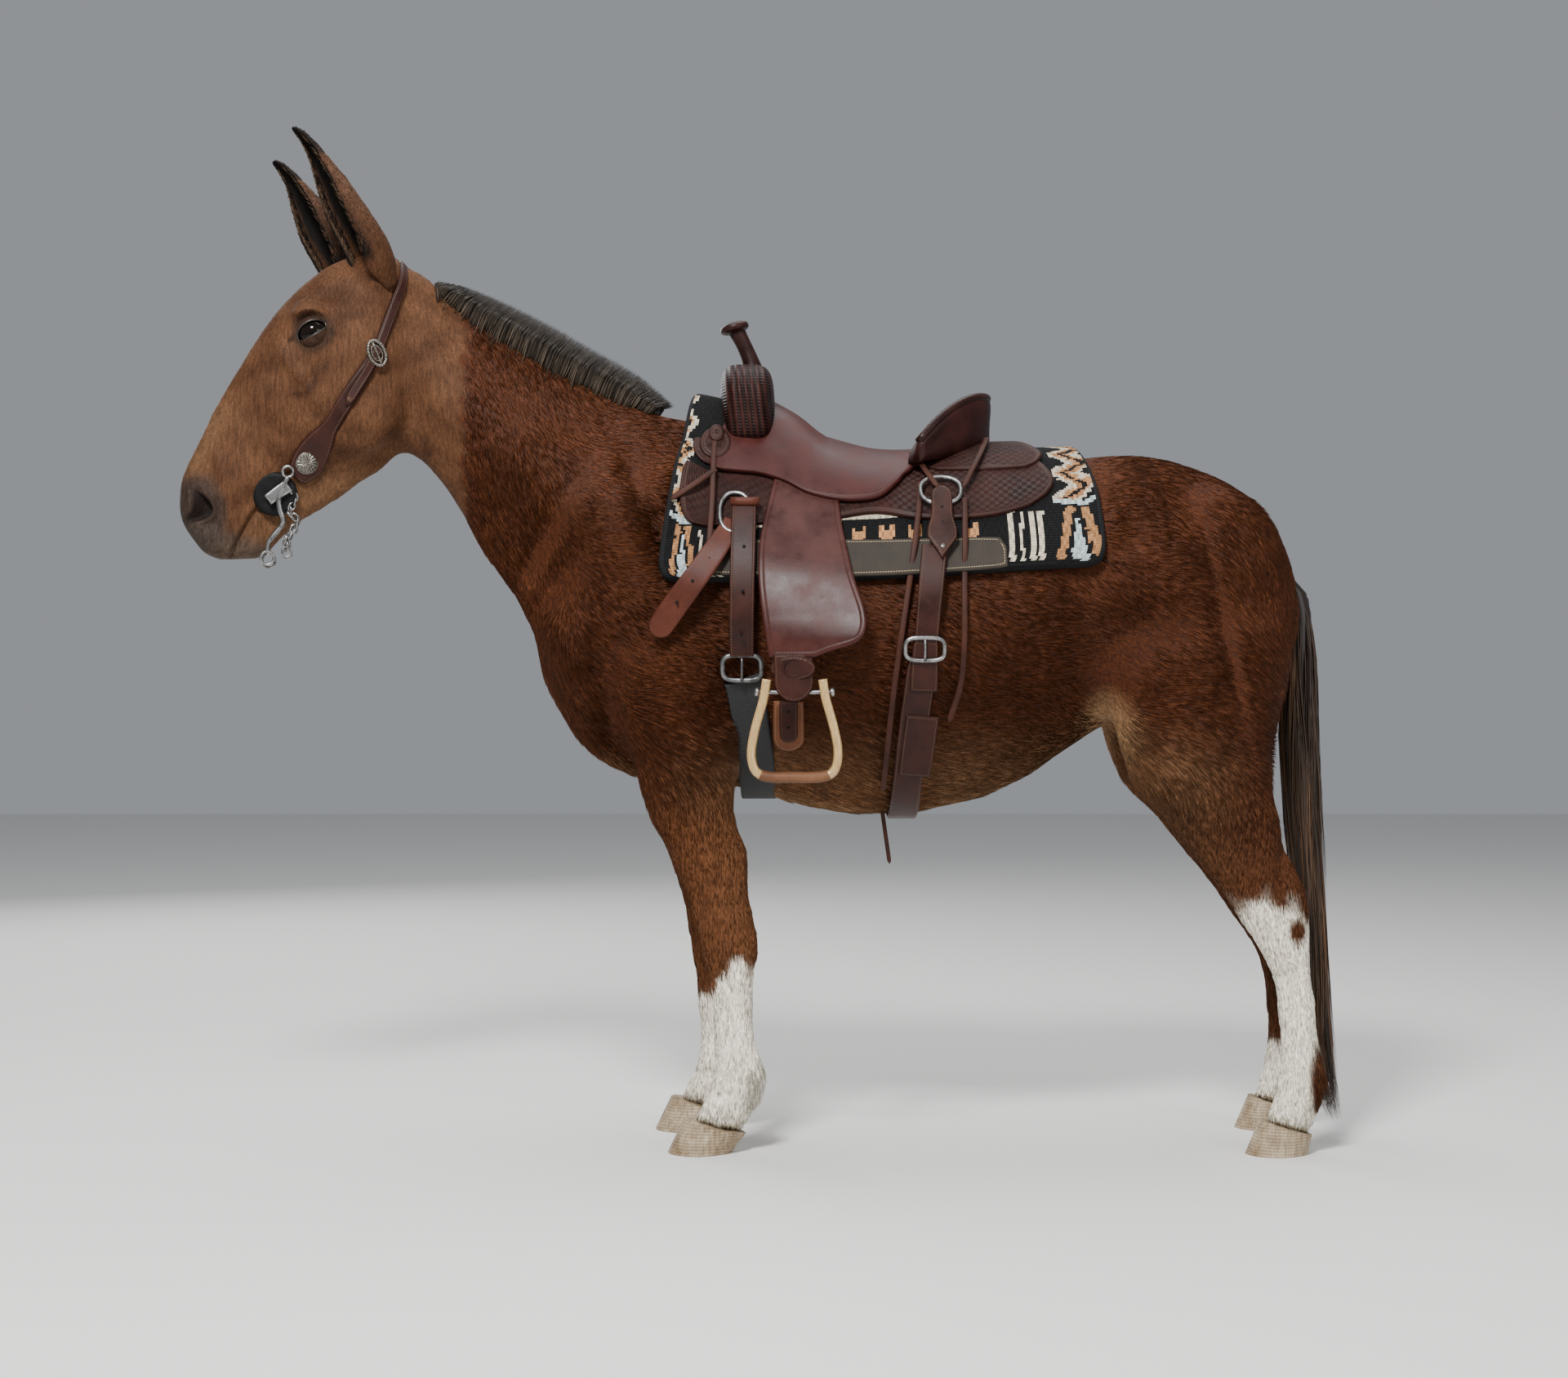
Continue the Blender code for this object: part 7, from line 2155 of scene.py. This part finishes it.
# Holes, drawn as near-black discs of painted shade, and rivets: name, places as x and z, distance off the
# trunk, finish, radius
STUDS = (
    ("latigo_hole", ((-0.036, 1.150), (-0.038, 1.066), (-0.040, 0.984)), 0.0474, "hole", 0.0030),
    ("billet_hole", ((-0.100, 1.128), (-0.131, 1.085), (-0.160, 1.045)), 0.0466, "hole", 0.0030),
    ("tab_hole", ((0.333, 1.225), (0.333, 1.196)), 0.0488, "hole", 0.0030),
    ("cover_hole", ((0.047, 0.842), (0.047, 0.812)), 0.0206, "hole", 0.0030),
    ("tab_dot", ((0.332, 1.150),), 0.0485, "silver", 0.0045),
    ("screw", ((-0.022, 1.335),), 0.0366, "silver", 0.0065),
)
# Rings and buckles: x, z, distance off the trunk, half sizes and half thickness
RINGS = (
    ("front_ring", (-0.054, 1.216, 0.0385, 0.028, 0.044, 0.0042)),
    ("rear_ring", (0.333, 1.258, 0.0395, 0.038, 0.034, 0.0042)),
)
BUCKLES = (
    ("cinch_buckle", (-0.040, 0.924, 0.018, 0.036, 0.024, 0.0050), "dark_steel"),
    ("rear_buckle", (0.298, 0.958, 0.018, 0.036, 0.021, 0.0042), "steel"),
)


def flank_place(barrel, x, z, side, distance):
    """A place off the flank and its outward direction."""
    angle = side * barrel.angle_at(np.array([x]), np.array([z]), distance)
    places, outs = barrel.points(np.array([x]), angle, distance)
    return Vector(places[0]), Vector(outs[0])


def studs(barrel, side, word):
    """Small round holes, as dark discs of painted shade, and rivets along the straps."""
    for name, places, distance, finish, radius in STUDS:
        for index, (x, z) in enumerate(places):
            centre, out = flank_place(barrel, x, z, side, distance)
            name_here = f"{name}_{word}_{index}"
            placed(dial(name_here, centre, out, radius, low_dome, MATERIALS[finish], 3, 14), "dark_leather")


def low_dome(part, angle):
    """The rise of a stud, the same all round."""
    return 0.0007 * (1 - part * part)


def add_bar(name, points, radii, normal, sides, closed, finish, slot="steel", *replaced):
    """A round bar as a piece of its own."""
    made = add_object(name, bar(points, radii, normal, sides, closed), MATERIALS[finish])
    return placed(made, slot, *replaced)


def side_tack(barrel, side, word):
    """Fender, stirrup, straps, strings, rings and buckles of one side."""
    fender(barrel, side, word)
    for name, kind, rows, thickness, finish, slot, head, tip in STRAPS:
        made = strap(f"{name}_{word}", barrel, rows, side, thickness, MATERIALS[finish], head=head, tip=tip)
        placed(made, slot, *([f"{kind}_{word}"] if kind else []))
    for index, rows in enumerate(STRINGS):
        rows = [(x, z, STRING_WIDTH, distance) for x, z, distance in rows]
        made = strap(f"string_{index}_{word}", barrel, rows, side, 0.0028, MATERIALS["string"], tip="point")
        placed(made, "dark_leather")
    studs(barrel, side, word)
    for kind, (x, z, lift, half_x, half_z, wire) in RINGS:
        centre, out = flank_place(barrel, x, z, side, lift)
        places = loop_points(centre, out, half_x, half_z, 56, 0.85)
        add_bar(f"{kind}_steel_{word}", places, wire, out, 12, True, "steel", "steel", f"{kind}_{word}")
    for kind, (x, z, lift, half_x, half_z, wire), finish in BUCKLES:
        centre, out = flank_place(barrel, x, z, side, lift)
        places = loop_points(centre, out, half_x, half_z, 56, 0.55)
        add_bar(f"{kind}_frame_{word}", places, wire, out, 12, True, finish, "steel", f"{kind}_{word}")
        lifts = ((-1.1, 0.002), (-0.4, 0.004), (0.4, 0.004), (1.1, 0.002))
        tongue = [centre + Vector((0, 0, half_z * k)) + out * rise for k, rise in lifts]
        add_bar(f"{kind}_tongue_{word}", tongue, 0.0026, (1, 0, 0), 10, False, finish)
    ends = [flank_place(barrel, x, 1.236, side, 0.050)[0] for x in (-0.062, -0.044, -0.026, -0.008)]
    add_bar(f"roller_{word}", ends, 0.0085, (0, 0, 1), 18, False, "billet", "red_leather")
    stirrup(word)


# How far the fender hangs off the trunk by height, lowest first, and the middle of the hobble
FENDER_HEIGHTS = (0.94, 0.98, 1.02, 1.10, 1.19, 1.29)
FENDER_LIFTS = (0.066, 0.060, 0.052, 0.043, 0.034, 0.0300)
HOBBLE_MIDDLE = (0.0545, 0.9235)
STIRRUP_LEATHER = (
    (0.055, 0.950, 0.072, 0.0680), (0.056, 0.920, 0.072, 0.0715),
    (0.057, 0.885, 0.072, 0.0780), (0.058, 0.862, 0.072, 0.0820),
)


def fender(barrel, side, word):
    """The wide stirrup leather with its hobble strap."""
    rows = resample(FENDER_EDGES, 60)
    down = spread(0.34, 0.007)
    across = spread(0.18, 0.007)
    where = np.linspace(0, 1, 60)
    z, left, right = (np.interp(down, where, rows[:, k]) for k in range(3))
    x = left[:, None] + (right - left)[:, None] * across[None]
    height = np.tile(z[:, None], (1, len(across)))
    base = np.interp(height, FENDER_HEIGHTS, FENDER_LIFTS)
    angle = side * barrel.angle_at(x, height, base)
    points, outs = barrel.points(x, angle, base)
    flats = np.stack([x, height], -1)
    made = sheet(f"fender_leather_{word}", points, outs, flats, 0.0050, MATERIALS["fender"])
    placed(made, "red_leather", f"fender_{word}")
    leather = MATERIALS["strap"]
    place = (barrel, HOBBLE_MIDDLE, (0.0415, 0.0225), side, 0.0735)
    placed(oval(f"hobble_strap_{word}", *place, 0.0050, leather), "dark_leather")
    centre, out = flank_place(barrel, *HOBBLE_MIDDLE, side, 0.0785)
    ring = loop_points(centre, out, 0.017, 0.0165, 40)
    add_bar(f"hobble_ring_{word}", ring, 0.0016, out, 8, True, "strap", "dark_leather")
    made = strap(f"stirrup_leather_{word}", barrel, STIRRUP_LEATHER, side, 0.0050, leather, tip="round")
    placed(made, "dark_leather", f"hobble_{word}")


def oval(name, barrel, middle, half, side, distance, thickness, finish, step=0.004):
    """A rounded plate on one flank about a middle x and z."""
    across = 2 * spread(2 * half[0], step) - 1
    down = 2 * spread(2 * half[1], step) - 1
    v, u = np.meshgrid(down, across, indexing="ij")
    x = middle[0] + half[0] * u * np.sqrt(1 - v * v / 2)
    z = middle[1] - half[1] * v * np.sqrt(1 - u * u / 2)
    points, outs = barrel.points(x, side * barrel.angle_at(x, z, distance), distance)
    return sheet(name, points, outs, np.stack([x, z], -1), thickness, finish)


# The stirrup's wood: middle and half thickness off its line, depth at the tread and at the top
WOOD_MIDDLE = 0.0035
WOOD_HALF = 0.0085
TREAD_DEPTH = 0.052
TOP_DEPTH = 0.030
BOLT_Z = 0.879


def stirrup(word):
    """A bent wood stirrup with a leather tread and a steel bolt."""
    low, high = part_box(f"stirrup_{word}")
    y = (low.y + high.y) / 2
    rows = resample(STIRRUP, 110)
    tree_rings, tread_rings, flats = [], [], []
    for index, (x, z) in enumerate(rows):
        before, after = rows[max(index - 1, 0)], rows[min(index + 1, len(rows) - 1)]
        along = Vector((after[0] - before[0], 0, after[1] - before[1])).normalized()
        out = Vector((along.z, 0, -along.x))
        depth = TREAD_DEPTH + (TOP_DEPTH - TREAD_DEPTH) * min(1, (z - 0.726) / 0.15)
        ring = []
        place = Vector((x, y, z))
        for k in range(16):
            angle = 2 * math.pi * k / 16
            c, s = math.cos(angle), math.sin(angle)
            u, v = math.copysign(abs(c) ** 0.45, c), math.copysign(abs(s) ** 0.45, s)
            ring.append(place + out * (WOOD_MIDDLE + WOOD_HALF * u) + Vector((0, depth / 2 * v, 0)))
            flats.append((WOOD_HALF * u, index * 0.006, 0))
        tree_rings.append(ring)
        if z < 0.7305:
            middle = place + out * WOOD_MIDDLE
            arms = [point - middle for point in ring]
            tread_rings.append([middle + arm * 1.06 + arm.normalized() * 0.0012 for arm in arms])
    wood = add_object(f"stirrup_wood_{word}", open_loft(tree_rings), MATERIALS["wood"])
    store(wood.data, "flat", flats)
    placed(wood, "pale_wood", f"stirrup_{word}")
    tread = add_object(f"stirrup_tread_{word}", open_loft(tread_rings), MATERIALS["tan_tread"])
    placed(tread, "red_leather")
    bolt = [Vector((x, y, BOLT_Z)) for x in np.linspace(-0.012, 0.128, 12)]
    add_bar(f"stirrup_bolt_{word}", bolt, 0.0042, (0, 0, 1), 12, False, "steel")
    for end, x in (("front", -0.011), ("back", 0.127)):
        nut = [Vector((x - 0.004, y, BOLT_Z)), Vector((x + 0.004, y, BOLT_Z))]
        add_bar(f"stirrup_nut_{end}_{word}", nut, 0.0085, (0, 0, 1), 14, False, "steel")


# Girths: name, top and lowest x, top z, width, thickness, finish and slot
CINCHES = (
    ("front_cinch", -0.040, -0.010, 0.905, 0.070, 0.0085, "webbing", "black_webbing"),
    ("rear_cinch", 0.297, 0.268, 0.940, 0.056, 0.0065, "strap", "dark_leather"),
)
KEEPER = ((0.296, 0.835, 0.062, 0.009), (0.290, 0.780, 0.062, 0.009), (0.284, 0.722, 0.060, 0.010))
REAR_LEAD = ((0.300, 0.975, 0.046, 0.012), (0.298, 0.930, 0.050, 0.012), (0.297, 0.880, 0.052, 0.009))


def cinches(barrel):
    """Both girths, each one long band from buckle to buckle under the belly."""
    for name, x_top, x_low, z_top, width, thickness, finish, slot in CINCHES:
        start = float(barrel.angle_at(np.array([x_top]), np.array([z_top]), 0.008)[0])
        turn = np.linspace(start, 2 * math.pi - start, 150)
        signed = np.where(turn <= math.pi, -turn, 2 * math.pi - turn)
        share = np.clip(np.sin((turn - start) / (2 * math.pi - 2 * start) * math.pi), 0, 1) ** 0.8
        x = x_top + (x_low - x_top) * share
        distance = np.interp(share, (0, 0.2, 1), (0.010, 0.003, 0.003))
        centres, outs = barrel.points(x, signed, distance)
        band = ribbon(name + "_band", centres, outs, np.full(len(x), width), thickness, MATERIALS[finish])
        placed(band, slot, *(f"{name}_{word}" for word in ("left", "right", "lower")))
    leather = MATERIALS["strap"]
    for side, word in SIDES:
        placed(strap(f"keeper_{word}", barrel, KEEPER, side, 0.0045, leather), "red_leather")
        placed(strap(f"rear_lead_{word}", barrel, REAR_LEAD, side, 0.0040, leather), "dark_leather")
    parts = np.linspace(0, 1, 16)
    tie = [Vector((0.226 + 0.018 * t, -0.045 + 0.010 * t, 0.668 - 0.125 * t)) for t in parts]
    outs = [Vector((0.1, -1, 0))] * 16
    made = ribbon("tie_string", tie, outs, [0.008] * 16, 0.0026, MATERIALS["string"], tip="point", step=0.004)
    placed(made, "dark_leather")


# The headstall on the straight head: x, z, width
CROWN_SIDE = ((-0.762, 1.527), (-0.743, 1.575), (-0.727, 1.630), (-0.716, 1.670))
CROWN_MIDDLE = (-0.712, 0, 1.60)
CROWN_LIFT = 0.0045
CHEEK = (
    (-0.757, 1.540, 0.022), (-0.766, 1.520, 0.024), (-0.791, 1.477, 0.030), (-0.822, 1.429, 0.031),
    (-0.845, 1.387, 0.031), (-0.870, 1.357, 0.054), (-0.892, 1.322, 0.066), (-0.897, 1.300, 0.060),
    (-0.899, 1.282, 0.040),
)
OVERLAY = ((-0.757, 1.540, 0.019), (-0.776, 1.500, 0.019), (-0.796, 1.462, 0.019), (-0.817, 1.424, 0.019))
# The bit: x and z of the chain, of the shank and of the plate at its top; the shank's thin end
CHAIN = ((-0.926, 1.276), (-0.914, 1.248), (-0.926, 1.225), (-0.911, 1.208), (-0.929, 1.176), (-0.931, 1.160))
CHAIN_LINKS = 14
SHANK = (
    (-0.928, 1.292), (-0.937, 1.272), (-0.945, 1.250), (-0.943, 1.228),
    (-0.937, 1.204), (-0.950, 1.184), (-0.964, 1.166), (-0.968, 1.146),
)
SHANK_PLATE = ((-0.926, 1.275), (-0.948, 1.262), (-0.966, 1.246))
SHANK_RADIUS = 0.0052
SHANK_TAPER = (0.0050, 0.0048, 0.0045, 0.0042, 0.0040, 0.0038, 0.0036, 0.0034)


def cheek_place(tree, x, z, side, distance):
    """A place off the cheek in line with x and z on the straight head, and its direction."""
    start, goal = turned((x, side * 0.4, z)), turned((x, 0.0, z))
    point, normal, _, _ = tree.ray_cast(start, (goal - start).normalized())
    return point + normal * distance, normal


def cheek_strap(name, tree, rows, side, distance, thickness, finish, **options):
    """A strap down the cheek along rows of x, z and width."""
    rows = resample(rows, 44)
    places = [cheek_place(tree, x, z, side, distance) for x, z, _ in rows]
    centres = evened([place for place, _ in places], 14)
    outs = evened([out for _, out in places], 14)
    return ribbon(name, centres, outs, rows[:, 2], thickness, finish, step=0.005, **options)


def headstall(tree):
    """Crown, cheek straps, buckles, conchos, bit guards and shanks."""
    path = []
    for side in (-1, 1):
        half = [cheek_place(tree, x, z, side, CROWN_LIFT) for x, z in resample(CROWN_SIDE, 12)]
        path = path + half if side < 0 else path + half[::-1]
        if side < 0:
            for angle in np.radians(np.linspace(-48, 48, 17)):
                way = Vector((0, math.sin(angle), math.cos(angle)))
                start, goal = turned(Vector(CROWN_MIDDLE) + way * 0.5), turned(CROWN_MIDDLE)
                point, normal, _, _ = tree.ray_cast(start, (goal - start).normalized())
                path.append((point + normal * CROWN_LIFT, normal))
    centres = evened([place for place, _ in path], 12)
    outs = evened([out for _, out in path], 12)
    leather = MATERIALS["strap"]
    crown = ribbon("crown_strap", centres, outs, [0.021] * len(path), 0.0065, leather, step=0.005)
    placed(crown, "dark_leather", "headstall_crown")
    for side, word in SIDES:
        name = f"cheek_blade_{word}"
        cheek = cheek_strap(name, tree, CHEEK, side, 0.0035, 0.0055, leather, head="round", tip="round")
        placed(cheek, "dark_leather", f"headstall_cheek_{word}")
        over = cheek_strap(f"cheek_overlay_{word}", tree, OVERLAY, side, 0.0095, 0.0035, leather, tip="point")
        placed(over, "dark_leather")
        oval_buckle(tree, side, word)
        centre, out = cheek_place(tree, -0.894, 1.321, side, 0.0095)
        placed(dial(f"concho_{word}", centre, out, 0.0200, petals, MATERIALS["silver"], 10, 96), "steel")
        ring = loop_points(centre, out, 0.0205, 0.0205, 48)
        add_bar(f"concho_rim_{word}", ring, 0.0016, out, 8, True, "silver")
        bit(tree, side, word)


def petals(part, angle):
    """The rise of the concho's flower."""
    return 0.0060 * (1 - part * part) + 0.0030 * part * abs(math.sin(9 * angle + 1.2 * part))


def oval_buckle(tree, side, word):
    """A silver buckle with a beaded rim on the cheek strap."""
    centre, out = cheek_place(tree, -0.762, 1.527, side, 0.0125)
    turn = Matrix.Rotation(-math.radians(24) * side, 3, out)
    count = 72
    places = [centre + turn @ place for place in loop_points((0, 0, 0), out, 0.0155, 0.0250, count)]
    beads = [0.0034 * (1 + 0.22 * math.cos(24 * 2 * math.pi * k / count)) for k in range(count)]
    add_bar(f"oval_buckle_{word}", places, beads, out, 10, True, "silver")
    inner = [centre + (place - centre) * 0.62 for place in places]
    add_bar(f"oval_inner_{word}", inner, 0.0016, out, 8, True, "silver")
    tongue = [centre + turn @ Vector((0, 0, k)) + out * 0.0015 for k in np.linspace(-0.022, 0.022, 6)]
    add_bar(f"oval_tongue_{word}", tongue, 0.0026, (1, 0, 0), 10, False, "silver")


def guard_rise(part, angle):
    """The rise of the rubber guard, flat with a rounded rim."""
    return 0.010 - 0.004 * smooth(0.86, 1, part)


def bit(tree, side, word):
    """Rubber guard, steel shank with its rings and the curb chain."""
    centre, out = cheek_place(tree, -0.953, 1.260, side, 0.003)
    out = (out + Vector((0, 2 * side, 0))).normalized()
    guard = dial(f"guard_{word}", centre, out, 0.0425, guard_rise, MATERIALS["rubber"], 12, 72)
    placed(guard, "rubber", f"bit_guard_{word}")
    aside = turned_way((0, side, 0))
    reach = (centre - turned((-0.957, 0, 1.259))).dot(aside) + 0.0185
    count = 34
    spots = [turned((x, 0, z)) + aside * reach for x, z in resample(SHANK, count)]
    radii = [SHANK_RADIUS] * (count - len(SHANK_TAPER)) + list(SHANK_TAPER)
    add_bar(f"shank_{word}", spots, radii, aside, 12, False, "steel", "steel", f"bit_shank_{word}")
    top = loop_points(spots[0] + Vector((0, 0, 0.009)), aside, 0.010, 0.0105, 32)
    add_bar(f"shank_ring_{word}", top, 0.0030, aside, 10, True, "steel")
    foot = loop_points(spots[-1] + Vector((0.001, 0, -0.011)), aside, 0.0125, 0.0125, 36)
    add_bar(f"rein_ring_{word}", foot, 0.0026, aside, 10, True, "steel")
    rows = [turned((x, 0, z)) + aside * reach for x, z in SHANK_PLATE]
    widths = [0.026, 0.024, 0.022]
    made = ribbon(f"shank_plate_{word}", rows, [aside] * 3, widths, 0.004, MATERIALS["steel"], step=0.004)
    placed(made, "steel")
    chain(tree, side, word)


def chain(tree, side, word):
    """Twisted curb chain that hangs from the shank's top behind the mouth."""
    centre, _ = cheek_place(tree, -0.926, 1.270, side, 0.012)
    aside = turned_way((0, side, 0))
    reach = (centre - turned((-0.926, 0, 1.270))).dot(aside)
    places = [turned((x, 0, z)) + aside * reach for x, z in resample(CHAIN, CHAIN_LINKS)]
    for index, place in enumerate(places):
        way = (places[min(index + 1, CHAIN_LINKS - 1)] - places[max(index - 1, 0)]).normalized()
        flat = Matrix.Rotation(math.radians(70 * index), 3, way) @ way.orthogonal().normalized()
        other = way.cross(flat)
        turns = np.linspace(0, 2 * math.pi, 21)[:-1]
        link = [place + way * (0.0085 * math.cos(a)) + other * (0.0056 * math.sin(a)) for a in turns]
        add_bar(f"chain_{word}_{index}", link, 0.0021, flat, 7, True, "steel")
    ring = loop_points(places[-1] + Vector((0, 0, -0.012)), aside, 0.009, 0.009, 28)
    add_bar(f"chain_ring_{word}", ring, 0.0016, aside, 8, True, "steel")


# The stage: name, place, size and power of each lamp, and what they look at
LAMPS = (
    ("key", (-1.2, -4.2, 4.8), 1.2, 560.0),
    ("fill", (3.4, -3.6, 2.4), 3.0, 90.0),
    ("top", (0.2, 1.0, 5.0), 3.5, 160.0),
    ("back", (-2.5, 4.5, 3.0), 3.0, 120.0),
)
LAMP_GOAL = (0.0, 0.0, 0.9)
FLOOR_HALF = 12.0
FLOOR_COLOUR = (0.72, 0.71, 0.69, 1.0)
SKY_COLOUR = (0.86, 0.90, 0.96, 1.0)
SKY_POWER = 0.34


def stage():
    """A plain pale floor, a pale wall of light and the photograph's camera."""
    bm = bmesh.new()
    bmesh.ops.create_grid(bm, x_segments=1, y_segments=1, size=FLOOR_HALF)
    finish, _, shader = new_material("floor")
    shader.inputs["Base Color"].default_value = FLOOR_COLOUR
    shader.inputs["Roughness"].default_value = 0.9
    floor = add_object("floor", bm, finish)
    world = bpy.data.worlds.new("studio")
    bpy.context.scene.world = world
    world.use_nodes = True
    back = world.node_tree.nodes["Background"]
    back.inputs["Color"].default_value = SKY_COLOUR
    back.inputs["Strength"].default_value = SKY_POWER
    for name, place, size, power in LAMPS:
        lamp = bpy.data.lights.new(name, "AREA")
        lamp.energy = power
        lamp.size = size
        obj = bpy.data.objects.new(name, lamp)
        obj.location = place
        obj.rotation_euler = (Vector(LAMP_GOAL) - Vector(place)).to_track_quat("-Z", "Y").to_euler()
        bpy.context.scene.collection.objects.link(obj)
    camera = bpy.data.cameras.new("camera")
    camera.sensor_width = 36.0
    camera.lens = CAMERA_LENS
    obj = bpy.data.objects.new("camera", camera)
    obj.location = CAMERA_PLACE
    obj.rotation_euler = (math.pi / 2 - CAMERA_DROP, 0.0, 0.0)
    bpy.context.scene.collection.objects.link(obj)
    bpy.context.scene.camera = obj


def tree_of(*objects):
    """A search tree over the faces of objects."""
    points, faces = [], []
    for obj in objects:
        first = len(points)
        points += [vert.co.copy() for vert in obj.data.vertices]
        faces += [tuple(first + k for k in polygon.vertices) for polygon in obj.data.polygons]
    return BVHTree.FromPolygons(points, faces)


def main():
    """Dress the model."""
    make_materials()
    stage()
    body = skin()
    tree = tree_of(body)
    eyes_and_lids()
    ears()
    coat(body)
    mane(tree)
    tail()
    hooves()
    barrel = Barrel(tree_of(NODES["torso"], NODES["neck"]))
    saddle(barrel)
    for side, word in SIDES:
        side_tack(barrel, side, word)
    cinches(barrel)
    headstall(tree)


main()
